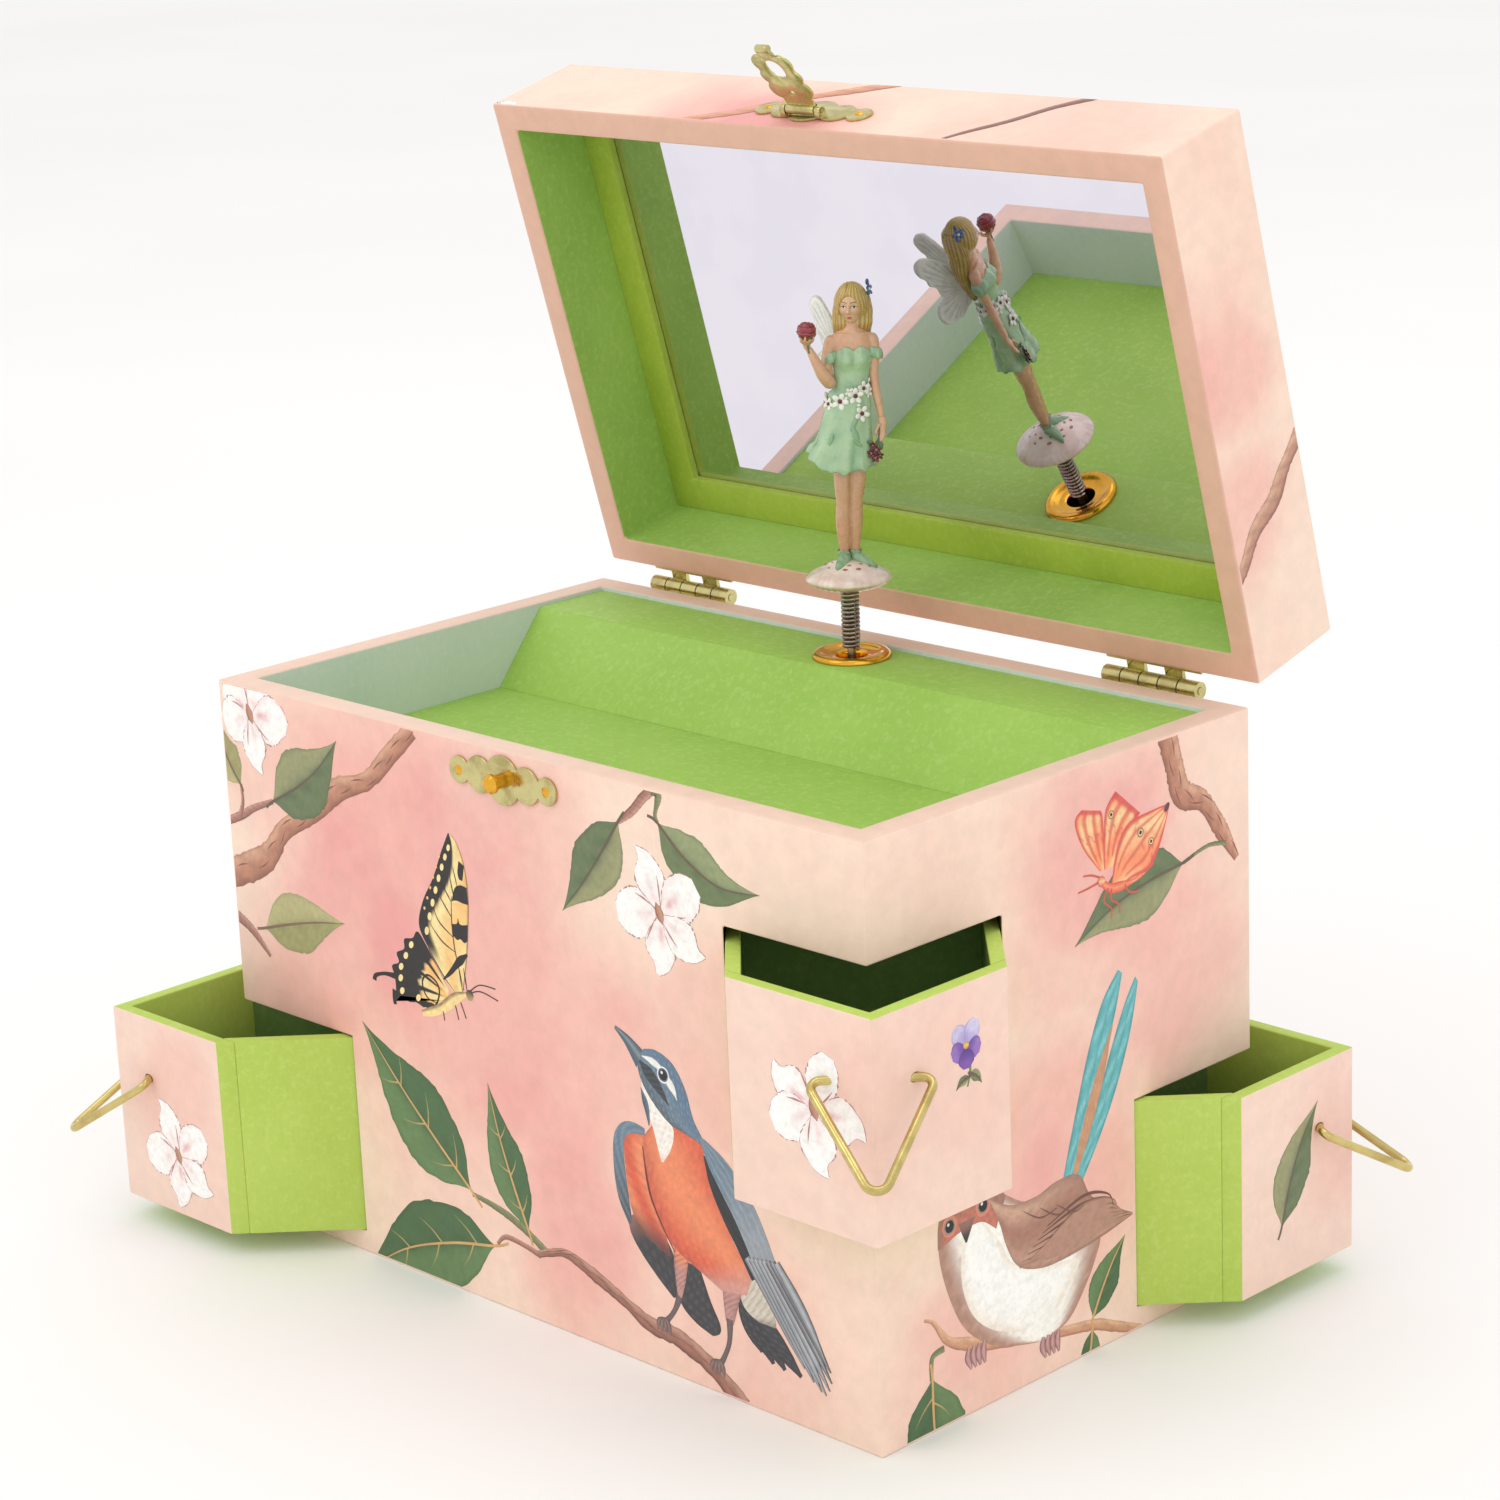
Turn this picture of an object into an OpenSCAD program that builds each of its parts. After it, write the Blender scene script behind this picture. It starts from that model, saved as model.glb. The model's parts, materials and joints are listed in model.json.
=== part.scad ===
// Musical jewellery box with a mirrored lid, four corner drawers and a turning figure.
// Millimetres. Origin at the centre of the underside; +X right, -Y front, +Z up.
// Drawers, handles, hasp and lid are drawn where they rest, which is joint value 0.

/* [Case] */
// Length of the case along X
case_l = 190; // [186:1:196]
// Depth of the case along Y
case_w = 113; // [111:1:116]
// Height of the case to its rim
case_h = 122.5; // [122.5:0.5:125]
// Thickness of the fibreboard walls
wall = 6; // [5.5:0.25:6.5]
// Thickness of the base board
base_t = 4.8; // [4:0.1:4.8]
// Depth of the open tray below the rim
tray_depth = 17.1; // [16.5:0.1:17.5]
// Front edge of the raised shelf along the back, measured from the centre
shelf_y = 31; // [30:0.5:32]
// How far the shelf lies below the rim
shelf_drop = 1; // [0.5:0.1:1.2]

/* [Lid] */
// Outer height of the closed lid
lid_h = 25; // [25:0.5:28]
// Angle the lid stands open from closed, where its hinges stop it
lid_open = 75; // [70:1:80]
// Gap between the closed lid's rim and the case's rim
rim_gap = 0.3; // [0.2:0.1:0.5]
// Width of the frame strips that hold the mirror
mirror_frame_w = 8; // [6:0.5:10]

/* [Hinges and clasp] */
// Distance of the hinge axis behind the case's back face
hinge_back = 4; // [3.8:0.1:4.3]
// Radius of a hinge knuckle
knuckle_r = 1.9; // [1.8:0.1:2]
// Length of a hinge along X
hinge_l = 25; // [22:1:26]
// X of the middle of the clasp
clasp_x = -3; // [-5:0.5:3]
// How far the hasp leaf is raised from hanging flush, in degrees
hasp_raise = 63; // [55:1:90]

/* [Drawers] */
// Length of each of the two printed faces of a corner drawer
face_l = 36.8; // [36:0.1:37]
// Height of a drawer
drawer_h = 44.2; // [43:0.1:44.2]
// Length of a drawer along the diagonal it slides on
drawer_l = 61; // [58:0.5:61]
// Thickness of the drawer walls
drawer_t = 3; // [2.5:0.1:3]
// How far the front left drawer stands out
out_front_left = 29; // [0:1:32]
// How far the front right drawer stands out
out_front_right = 20; // [0:1:32]
// How far the back right drawer stands out
out_back_right = 21; // [0:1:32]
// Radius of the brass wire of the handles
wire_r = 0.9; // [0.8:0.05:0.95]

/* [Figure] */
// Y of the figure's turning axis, from the centre
figure_y = 41; // [40.5:0.1:41.5]
// Radius of the toadstool base
toadstool_r = 9.3; // [8.5:0.1:9.4]
// Direction that the figure faces, in degrees from the front towards the right
figure_turn = 52; // [0:1:359]

/* [Movement] */
// Radius of the pin cylinder
cylinder_r = 5.8; // [5.5:0.1:5.8]
// Notes on the comb
comb_teeth = 18; // [12:1:18]
// Teeth of the wheel on top of the pin cylinder
top_wheel_teeth = 40; // [40]
// Teeth of the governor pinion
pinion_teeth = 8; // [8]
// Teeth of the governor wheel
governor_teeth = 24; // [24]
// Teeth of the crown wheel under the pin cylinder
crown_teeth = 16; // [16]
// Teeth of the great wheel on the winding arbor
great_teeth = 44; // [44]

/* [Hidden] */
$fn = 48;

// Case
inner_l = case_l - 2 * wall;
inner_w = case_w - 2 * wall;
shelf_z = case_h - shelf_drop;
board_t = 2.4;
tray_z = case_h - tray_depth;
ramp_y = shelf_y - 13.6;
ramp_run = shelf_y - ramp_y;
ramp_rise = shelf_z - tray_z;

// Drawers: the home-plate plan lies on the corner's diagonal, +X outward
half_w = face_l / sqrt(2);
slide_gap = 0.28;
half_open = half_w + slide_gap;
mid_t = 1.6;
mid_z = base_t + 44.8;
low_z = base_t + 0.2;
high_z = mid_z + mid_t + 0.3;
high_top = mid_z + mid_t + 47.4;
cell_t = 1.5;
mitre = drawer_t * sqrt(2);
handle_z = 30;
handle_in = 8;
pin_y = 3.4;
bend_y = 9.2;
bend_r = 1.8;
tip_x = 21;
tip_r = 2.4;

// A corner: side along X, side along Y, underside of its drawer, drawer out, handle drop
FRONT_LEFT = [-1, -1, low_z, out_front_left, 36];
FRONT_RIGHT = [1, -1, high_z, out_front_right, 37];
BACK_RIGHT = [1, 1, low_z, out_back_right, 33];
BACK_LEFT = [-1, 1, high_z, 0, 64];

// Lid, drawn closed and then swung open about the hinge axis
rim_z = case_h + rim_gap;
hinge_y = case_w / 2 + hinge_back;
hinge_z = case_h - 0.1;
lid_top_t = 3;
mirror_depth = 20.2;
mirror_t = 1.6;
hinge_x = [-68.8, 67.1];
leaf_t = 0.8;
leaf_h = 11;
hinge_pin_r = 0.8;
knuckles = 5;

// Clasp
plate_t = 0.7;
catch_z = case_h - 6;
hasp_z = rim_z + 8;
hasp_pin_z = rim_z + 5;
hasp_pin_y = -case_w / 2 - 2;
hasp_pin_r = 0.5;

// Figure
ring_z = shelf_z + 1.4;
spring_z0 = ring_z + 0.1;
spring_z1 = shelf_z + 14.8;
spring_r = 1.65;
spring_wire_r = 0.4;
spring_pitch = 0.94;
spindle_r = 0.9;
toadstool_top = spring_z1 + 6.7;

// Movement
plate_y = case_w / 2 - wall - 2.1;
cyl_z0 = 85.8;
cyl_z1 = 105;
crown_r = 5;
great_r = crown_r * great_teeth / crown_teeth;
great_z = 84.3 - great_r;
great_y = figure_y - crown_r;
gear_module = 0.32;
governor_x = gear_module * (top_wheel_teeth + pinion_teeth) / 2;
governor_r = 4.8;
governor_z = 108.6;
worm_r = 1.45;
worm_x = governor_x + governor_r + worm_r + 0.25;

// Shared shapes

module at_corner(c, out = 0) {
    translate([c[0] * case_l / 2, c[1] * case_w / 2, 0])
        rotate([0, 0, atan2(c[1], c[0])]) translate([out, 0, 0]) children();
}

// The slot that a drawer slides through, as high as its opening
module corner_slot(c) {
    bottom = c[2] == low_z ? base_t : mid_z + mid_t;
    top = c[2] == low_z ? mid_z : high_top;
    at_corner(c) translate([-70, -half_open, bottom]) cube([80, 2 * half_open, top - bottom]);
}

module corner_slots() {
    for (c = [FRONT_LEFT, FRONT_RIGHT, BACK_RIGHT, BACK_LEFT]) corner_slot(c);
}

module swing_lid() {
    translate([0, hinge_y, hinge_z]) rotate([-lid_open, 0, 0])
        translate([0, -hinge_y, -hinge_z]) children();
}

function arc(centre, r, from, to, steps) = [for (i = [0 : steps])
    let (a = from + (to - from) * i / steps) centre + r * [cos(a), sin(a)]];

// A round wire swept along a path in the XY plane
module planar_wire(path, r, sides = 12) {
    last = len(path) - 1;
    rings = [for (i = [0 : last])
        let (d = path[min(i + 1, last)] - path[max(i - 1, 0)], t = d / norm(d))
        [for (k = [0 : sides - 1]) let (a = 360 * (k + 0.5) / sides)
            [path[i][0] - t[1] * r * cos(a), path[i][1] + t[0] * r * cos(a), r * sin(a)]]];
    walls = [for (i = [0 : last - 1], k = [0 : sides - 1]) let (n = (k + 1) % sides)
        [i * sides + k, i * sides + n, (i + 1) * sides + n, (i + 1) * sides + k]];
    polyhedron([for (ring = rings, p = ring) p], concat(
        [[for (k = [sides - 1 : -1 : 0]) k]], walls, [[for (k = [0 : sides - 1]) last * sides + k]]
    ));
}

// A nail with a domed head on a face that looks along -Y; its tip points along +Y
module nail(head_r, length) {
    intersection() {
        translate([0, 1.4 * head_r, 0]) sphere(1.72 * head_r);
        rotate([90, 0, 0]) cylinder(r = head_r, h = 2);
    }
    rotate([-90, 0, 0]) cylinder(r = 0.45, h = length);
}

// A spur gear blank with straight-sided teeth, about Z
module spur(teeth, pitch_r, depth, tooth_w, thick) {
    cylinder(r = pitch_r - depth / 2, h = thick);
    for (i = [0 : teeth - 1]) rotate([0, 0, 360 * i / teeth])
        translate([pitch_r - depth, -tooth_w / 2, 0]) cube([1.5 * depth, tooth_w, thick]);
}

// Case boards

module front_panel() {
    color("#f0bfae") difference() {
        translate([-case_l / 2, -case_w / 2, 0]) cube([case_l, wall, case_h]);
        corner_slots();
        catch_nail_places(0.5);
        translate([clasp_x, -case_w / 2 - 1, catch_z]) rotate([-90, 0, 0])
            cylinder(r = 1.1, h = 5);
    }
}

module back_panel() {
    color("#f0bfae") difference() {
        translate([-case_l / 2, case_w / 2 - wall, 0]) cube([case_l, wall, case_h]);
        corner_slots();
        translate([0, case_w / 2 - wall - 1, great_z]) rotate([-90, 0, 0])
            cylinder(r = 4, h = wall + 2);
        case_hinge_nail_places(0.5);
    }
}

module side_panel(side) {
    difference() {
        translate([side > 0 ? case_l / 2 - wall : -case_l / 2, -inner_w / 2, 0])
            cube([wall, inner_w, case_h]);
        corner_slots();
    }
}

module left_panel() { color("#f0bfae") side_panel(-1); }
module right_panel() { color("#f0bfae") side_panel(1); }

module base_board() {
    color("#b89a78") translate([-inner_l / 2, -inner_w / 2, 0]) cube([inner_l, inner_w, base_t]);
}

module mid_board() {
    color("#b89a78") translate([-inner_l / 2, -inner_w / 2, mid_z])
        cube([inner_l, inner_w, mid_t]);
}

module tray_floor() {
    color("#a9cf5f") translate([-inner_l / 2, -inner_w / 2, tray_z - board_t])
        cube([inner_l, ramp_y + 3 + inner_w / 2, board_t]);
}

module ramp_board() {
    run = board_t * norm([ramp_run, ramp_rise]) / ramp_rise;
    color("#a9cf5f") rotate([90, 0, 90]) translate([0, 0, -inner_l / 2])
        linear_extrude(inner_l) polygon([
            [ramp_y, tray_z], [ramp_y + run, tray_z],
            [shelf_y, shelf_z - run * ramp_rise / ramp_run], [shelf_y, shelf_z]
        ]);
}

module shelf_board() {
    color("#a9cf5f") difference() {
        translate([-inner_l / 2, shelf_y, shelf_z - board_t])
            cube([inner_l, inner_w / 2 - shelf_y, board_t]);
        translate([0, figure_y, shelf_z - board_t - 1]) cylinder(r = 5, h = board_t + 2);
    }
}

// The stiff card channel that guides a drawer
module cell(c) {
    low = c[2] == low_z;
    bottom = low ? base_t : mid_z + mid_t;
    top = low ? mid_z : tray_z - board_t;
    color("#a9cf5f") intersection() {
        at_corner(c) translate([0, 0, bottom]) difference() {
            translate([-drawer_l - 2, -half_open - cell_t, 0])
                cube([drawer_l, 2 * (half_open + cell_t), top - bottom]);
            translate([-drawer_l - 0.5, -half_open, -1])
                cube([drawer_l + 10, 2 * half_open, top - bottom + 2]);
        }
        translate([-inner_l / 2, -inner_w / 2, 0]) cube([inner_l, inner_w, case_h]);
    }
}

// Drawers

module drawer_face(c) {
    color("#f2c4b4") at_corner(c, c[3]) translate([0, 0, c[2]]) difference() {
        linear_extrude(drawer_h) polygon([
            [0, 0], [-half_w, half_w], [-half_w - mitre, half_w],
            [-mitre, 0], [-half_w - mitre, -half_w], [-half_w, -half_w]
        ]);
        translate([-handle_in, -half_w, handle_z]) rotate([-90, 0, 0])
            cylinder(r = wire_r + 0.08, h = 2 * half_w);
    }
}

module drawer_tray(c) {
    side_in = half_w + mitre - drawer_t;
    color("#bcd968") at_corner(c, c[3]) translate([0, 0, c[2]]) {
        linear_extrude(drawer_h) for (s = [-1, 1]) polygon([
            [-half_w - mitre, s * half_w], [-drawer_l, s * half_w],
            [-drawer_l, s * (half_w - drawer_t)], [-side_in, s * (half_w - drawer_t)]
        ]);
        translate([-drawer_l, -half_w + drawer_t, 0])
            cube([drawer_t, 2 * (half_w - drawer_t), drawer_h]);
        linear_extrude(2) polygon([
            [-mitre, 0], [-side_in, half_w - drawer_t], [-drawer_l + 1, half_w - drawer_t],
            [-drawer_l + 1, drawer_t - half_w], [-side_in, drawer_t - half_w]
        ]);
    }
}

// Half of a handle's wire, from its end in the drawer to the middle of its tip
function half_wire() =
    let (d = [tip_x - bend_r, -bend_y], lean = atan2(bend_y, d[0]) + asin((bend_r - tip_r) / norm(d)))
    concat([[0, pin_y]], arc([bend_r, bend_y], bend_r, 180, 90 - lean, 7),
        arc([tip_x, 0], tip_r, 90 - lean, 0, 5));

// A bail of bent wire whose ends turn in the two faces; its plane drops by c[4] degrees
module handle(c) {
    half = half_wire();
    back = [for (i = [len(half) - 2 : -1 : 0]) [half[i][0], -half[i][1]]];
    color("#d8c068") at_corner(c, c[3]) translate([-handle_in, 0, c[2] + handle_z])
        rotate([0, c[4], 0]) planar_wire(concat(half, back), wire_r);
}

// Lid

module lid_top() {
    color("#f0bfae") swing_lid()
        translate([-case_l / 2, -case_w / 2, rim_z + lid_h - lid_top_t])
        cube([case_l, case_w, lid_top_t]);
}

module lid_front_rail() {
    color("#f0bfae") swing_lid() difference() {
        translate([-case_l / 2, -case_w / 2, rim_z]) cube([case_l, wall, lid_h - lid_top_t]);
        hasp_nail_places(0.5);
    }
}

module lid_back_rail() {
    color("#f0bfae") swing_lid() difference() {
        translate([-case_l / 2, case_w / 2 - wall, rim_z])
            cube([case_l, wall, lid_h - lid_top_t]);
        lid_hinge_nail_places(0.5);
    }
}

module lid_side_rail(side) {
    color("#f0bfae") swing_lid()
        translate([side > 0 ? case_l / 2 - wall : -case_l / 2, -inner_w / 2, rim_z])
        cube([wall, inner_w, lid_h - lid_top_t]);
}

module mirror_glass() {
    color("#cfd6e0") swing_lid()
        translate([-inner_l / 2 + 1, -inner_w / 2 + 1, rim_z + mirror_depth])
        cube([inner_l - 2, inner_w - 2, mirror_t]);
}

module mirror_frame() {
    color("#9bb923") swing_lid() difference() {
        translate([-inner_l / 2, -inner_w / 2, rim_z + mirror_depth - 2])
            cube([inner_l, inner_w, 2]);
        translate([-inner_l / 2 + mirror_frame_w, -inner_w / 2 + mirror_frame_w,
                rim_z + mirror_depth - 3])
            cube([inner_l - 2 * mirror_frame_w, inner_w - 2 * mirror_frame_w, 4]);
    }
}

// Hinges: knuckles alternate between the two leaves along the pin

module hinge_knuckles(x, first) {
    step = hinge_l / knuckles;
    for (i = [first : 2 : knuckles - 1])
        translate([x - hinge_l / 2 + i * step + 0.15, hinge_y, hinge_z]) rotate([0, 90, 0])
            cylinder(r = knuckle_r, h = step - 0.3);
}

module pin_bore(x) {
    translate([x - hinge_l, hinge_y, hinge_z]) rotate([0, 90, 0])
        cylinder(r = hinge_pin_r + 0.05, h = 2 * hinge_l);
}

// The bent strip that joins each knuckle to the plate on the back face
module knuckle_arms(x, first, drop) {
    step = hinge_l / knuckles;
    for (i = [first : 2 : knuckles - 1])
        translate([x - hinge_l / 2 + i * step + 0.15, case_w / 2, hinge_z + drop])
            cube([step - 0.3, hinge_back, leaf_t]);
}

module case_leaf(x) {
    arm_z = -knuckle_r;
    color("#c9bf84") difference() {
        union() {
            hinge_knuckles(x, 0);
            knuckle_arms(x, 0, arm_z);
            translate([x - hinge_l / 2, case_w / 2, hinge_z + arm_z - leaf_h])
                cube([hinge_l, leaf_t, leaf_h + leaf_t]);
        }
        pin_bore(x);
        case_hinge_nail_places(0.5);
    }
}

module lid_leaf(x) {
    arm_z = knuckle_r - leaf_t;
    color("#c9bf84") swing_lid() difference() {
        union() {
            hinge_knuckles(x, 1);
            knuckle_arms(x, 1, arm_z);
            translate([x - hinge_l / 2, case_w / 2, hinge_z + arm_z])
                cube([hinge_l, leaf_t, leaf_h + leaf_t]);
        }
        pin_bore(x);
        lid_hinge_nail_places(0.5);
    }
}

module hinge_pins() {
    color("#b8ad78") for (x = hinge_x) translate([x - hinge_l / 2, hinge_y, hinge_z])
        rotate([0, 90, 0]) cylinder(r = hinge_pin_r, h = hinge_l);
}

// Nails, and the holes of the same places

module nail_hole(r) { rotate([-90, 0, 0]) translate([0, 0, -1.5]) cylinder(r = r, h = 6.5); }

module catch_nail_places(r) {
    for (s = [-1, 1]) translate([clasp_x + s * 13, -case_w / 2, catch_z]) nail_hole(r);
}

module hasp_nail_places(r) {
    for (s = [-1, 1]) translate([clasp_x + s * 13, -case_w / 2, hasp_z]) nail_hole(r);
}

module hinge_nail_holes(r, z) {
    for (x = hinge_x, s = [-1, 1]) translate([x + s * 8, case_w / 2, z])
        rotate([0, 0, 180]) nail_hole(r);
}

module case_hinge_nail_places(r) { hinge_nail_holes(r, hinge_z - knuckle_r - 0.6 * leaf_h); }
module lid_hinge_nail_places(r) { hinge_nail_holes(r, hinge_z + knuckle_r + 0.6 * leaf_h); }

module case_nails() {
    color("#d8cf9a") {
        for (s = [-1, 1]) translate([clasp_x + s * 13, -case_w / 2 - plate_t, catch_z])
            nail(1.1, 4.5);
        for (x = hinge_x, s = [-1, 1])
            translate([x + s * 8, case_w / 2 + leaf_t, hinge_z - knuckle_r - 0.6 * leaf_h])
            rotate([0, 0, 180]) nail(1.3, 4.5);
    }
}

module lid_nails() {
    color("#d8cf9a") swing_lid() {
        for (s = [-1, 1]) translate([clasp_x + s * 13, -case_w / 2 - plate_t, hasp_z])
            nail(1.1, 4.5);
        for (x = hinge_x, s = [-1, 1])
            translate([x + s * 8, case_w / 2 + leaf_t, hinge_z + knuckle_r + 0.6 * leaf_h])
            rotate([0, 0, 180]) nail(1.3, 4.5);
    }
}

// Clasp: scalloped plates, and a leaf whose slot drops over the knob

// Outline of a scalloped plate: a round body, two shoulders and two nail lobes
module plate_outline() {
    circle(5.2);
    square([26, 3.4], center = true);
    for (s = [-1, 1]) {
        translate([7 * s, 0]) circle(3.9);
        translate([13 * s, 0]) circle(2.9);
    }
}

module catch_plate() {
    color("#c9bf84") difference() {
        translate([clasp_x, -case_w / 2, catch_z]) rotate([90, 0, 0])
            linear_extrude(plate_t) plate_outline();
        catch_nail_places(0.5);
        translate([clasp_x, -case_w / 2 - 2, catch_z]) rotate([-90, 0, 0])
            cylinder(r = 1.1, h = 5);
    }
}

module catch_knob() {
    color("#d8cf9a") translate([clasp_x, -case_w / 2, catch_z]) rotate([90, 0, 0])
        rotate_extrude() polygon([
            [0, -3], [1, -3], [1, plate_t], [1.5, plate_t], [1.5, 2.6], [2, 3.1],
            [2, 3.8], [1.5, 4.4], [0.7, 4.7], [0, 4.8]
        ]);
}

module hasp_ears(gap) {
    for (x = [clasp_x - gap / 2 - 1.5, clasp_x + gap / 2])
        translate([x, -case_w / 2 - plate_t, hasp_pin_z]) {
            translate([0, hasp_pin_y + case_w / 2 + plate_t, 0]) rotate([0, 90, 0])
                cylinder(r = 1.1, h = 1.5);
            translate([0, -1.4, -1.1]) cube([1.5, 1.5, 2.2]);
        }
}

module hasp_plate() {
    color("#c9bf84") swing_lid() difference() {
        union() {
            translate([clasp_x, -case_w / 2, hasp_z]) rotate([90, 0, 0])
                linear_extrude(plate_t) plate_outline();
            hasp_ears(8.4);
        }
        hasp_nail_places(0.5);
        translate([clasp_x - 8, hasp_pin_y, hasp_pin_z]) rotate([0, 90, 0])
            cylinder(r = hasp_pin_r, h = 16);
    }
}

module hasp_pin() {
    color("#b8ad78") swing_lid() translate([clasp_x - 5.7, hasp_pin_y, hasp_pin_z])
        rotate([0, 90, 0]) cylinder(r = hasp_pin_r - 0.02, h = 11.4);
}

// The leaf's outline hangs from the pin towards -Y of the drawing
module leaf_outline() {
    translate([-3.9, -4]) square([7.8, 4]);
    translate([-4.9, -12.6]) square([9.8, 7.6]);
    for (s = [-1, 1]) {
        translate([3.2 * s, -5.2]) circle(2.6);
        translate([3.4 * s, -9.1]) circle(2.2);
        translate([2.9 * s, -13]) circle(2.5);
    }
    translate([0, -15.6]) circle(2.2);
}

module hasp_leaf() {
    color("#d2c77e") swing_lid()
        translate([clasp_x, hasp_pin_y, hasp_pin_z]) rotate([-hasp_raise, 0, 0]) {
            difference() {
                union() {
                    translate([0, -0.35, 0]) rotate([90, 0, 0])
                        linear_extrude(plate_t) leaf_outline();
                    translate([-4, 0, 0]) rotate([0, 90, 0]) cylinder(r = 1.1, h = 8);
                }
                translate([-5, 0, 0]) rotate([0, 90, 0]) cylinder(r = hasp_pin_r + 0.05, h = 10);
                for (z = [-11.9, -11.1]) translate([0, 1, z]) rotate([90, 0, 0])
                    cylinder(r = 2.25, h = 4);
                translate([-2.25, -3, -11.9]) cube([4.5, 4, 0.8]);
            }
            translate([-1.6, -0.9, -17.2]) rotate([0, 90, 0]) cylinder(r = 0.9, h = 3.2);
        }
}

// Figure on its spring

module ferrule() {
    color("#e0a52e") translate([0, figure_y, 0]) rotate_extrude() polygon([
        [3.3, shelf_z - board_t - 0.6], [4.9, shelf_z - board_t - 0.6], [4.9, shelf_z],
        [8.6, shelf_z], [8.6, shelf_z + 0.7], [7.9, ring_z], [6.7, ring_z],
        [5.6, shelf_z + 0.8], [3.9, shelf_z + 0.6], [3.3, shelf_z + 0.2]
    ]);
}

module spindle() {
    color("#b9bdc2") translate([0, figure_y, cyl_z1 + 1.3])
        cylinder(r = spindle_r, h = ring_z + 0.9 - cyl_z1 - 1.3);
}

function coil_point(turn) = [
    spring_r * cos(360 * turn), spring_r * sin(360 * turn),
    spring_z0 + spring_wire_r + spring_pitch * turn
];
function coil_side(turn, a) = coil_point(turn) + spring_wire_r * [
    cos(a) * cos(360 * turn), cos(a) * sin(360 * turn), sin(a)
];

module spring() {
    turns = (spring_z1 - spring_z0 - 2 * spring_wire_r - 0.1) / spring_pitch;
    sides = 6;
    rings = floor(turns * 14);
    points = [for (i = [0 : rings], k = [0 : sides - 1]) coil_side(turns * i / rings, 360 * k / sides)];
    walls = [for (i = [0 : rings - 1], k = [0 : sides - 1]) let (n = (k + 1) % sides)
        [i * sides + k, (i + 1) * sides + k, (i + 1) * sides + n, i * sides + n]];
    color("#9c9690") translate([0, figure_y, 0]) polyhedron(points, concat(
        [[for (k = [0 : sides - 1]) k]], walls,
        [[for (k = [sides - 1 : -1 : 0]) rings * sides + k]]
    ));
}

module toadstool() {
    r = toadstool_r;
    color("#e3c3bb") translate([0, figure_y, spring_z1]) rotate_extrude() polygon([
        [0, -3.6], [0.9, -3.6], [0.9, 0], [2.6, 0], [0.55 * r, 0.8], [0.9 * r, 1.8],
        [r, 2.6], [0.97 * r, 3.2], [0.82 * r, 4.2], [0.6 * r, 5.3], [0.36 * r, 6.2],
        [0.15 * r, 6.6], [0, 6.7]
    ]);
}

// The figure is drawn facing -Y about its turning axis, from the toadstool's top at z = 0
module at_figure() {
    translate([0, figure_y, toadstool_top]) rotate([0, 0, figure_turn]) children();
}

// A limb through points, its radius changing evenly from r0 to r1
module figure_limb(points, r0, r1) {
    n = len(points) - 1;
    for (i = [0 : n - 1]) hull() {
        translate(points[i]) sphere(r0 + (r1 - r0) * i / n);
        translate(points[i + 1]) sphere(r0 + (r1 - r0) * (i + 1) / n);
    }
}

module figurine() {
    $fn = 16;
    color("#9fc9a4") at_figure() {
        // shoes
        hull() { translate([-1, 0.3, 0.5]) sphere(1.3); translate([-2, -3.2, -0.6]) sphere(0.9); }
        hull() { translate([2, 0.3, 0.5]) sphere(1.3); translate([4, -2.4, -0.6]) sphere(0.9); }
        // legs
        figure_limb([[-0.6, 0.2, 1], [-0.9, 0.1, 12], [-0.8, 0, 22]], 1.1, 1.9);
        figure_limb([[2, 0.2, 1], [2.7, 0.1, 12], [2.8, 0, 22]], 1.1, 1.9);
        // skirt
        hull() {
            translate([0.1, 0.2, 19.8]) scale([1.1, 0.85, 1]) cylinder(r = 6, h = 0.6, $fn = 32);
            translate([1.3, 0.1, 33]) scale([1.1, 0.8, 1]) cylinder(r = 4.6, h = 1);
            translate([1.6, 0, 37]) scale([1.1, 0.8, 1]) cylinder(r = 3.3, h = 0.6);
        }
        // bodice and shoulders
        hull() {
            translate([1.6, 0, 37.3]) scale([1.1, 0.8, 1]) cylinder(r = 3.2, h = 0.5);
            translate([1.9, -0.2, 43.5]) scale([1.25, 0.9, 1]) cylinder(r = 3.2, h = 1);
            for (x = [-2, 6]) translate([x, 0, 46.2]) sphere(1.4);
        }
        // neck and head
        figure_limb([[2.3, 0, 47], [2.7, -0.1, 51]], 1.2, 1.2);
        translate([2.9, -0.5, 54.4]) sphere(2.9);
        // hair down to the shoulders
        hull() {
            translate([2.9, 0.7, 56.6]) sphere(3.4);
            translate([2.9, 1.3, 48.5]) scale([1.5, 0.7, 1]) sphere(2.6);
        }
        // right arm, raised with a rose
        figure_limb([[-2.4, 0, 46.2], [-2.8, -0.8, 38.6], [-7.2, -3, 47.2]], 1.3, 0.9);
        translate([-7.2, -3.2, 49.2]) sphere(2);
        // left arm, lowered with a few blossoms
        figure_limb([[6.4, 0, 46], [6.6, 0.2, 36], [7.4, -1.2, 26]], 1.25, 0.9);
        translate([6.6, -1.6, 22.6]) sphere(1.5);
    }
}

// Two pairs of flat lobes that fan out behind the shoulders
module wings() {
    color("#f4f2ee") at_figure() translate([1.6, 2.4, 42]) for (s = [-1, 1])
        rotate([0, 0, s * 48]) mirror([s < 0 ? 0 : 1, 0, 0]) rotate([90, 0, 0])
            translate([0, 0, -0.35]) linear_extrude(0.7) {
                hull() { circle(1.2); translate([-8.6, 8]) circle(2.4); translate([-5, 8.5]) circle(2); }
                hull() { circle(1.2); translate([-8.2, -3.6]) circle(2.3); translate([-5, -4]) circle(1.6); }
            }
}

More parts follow.
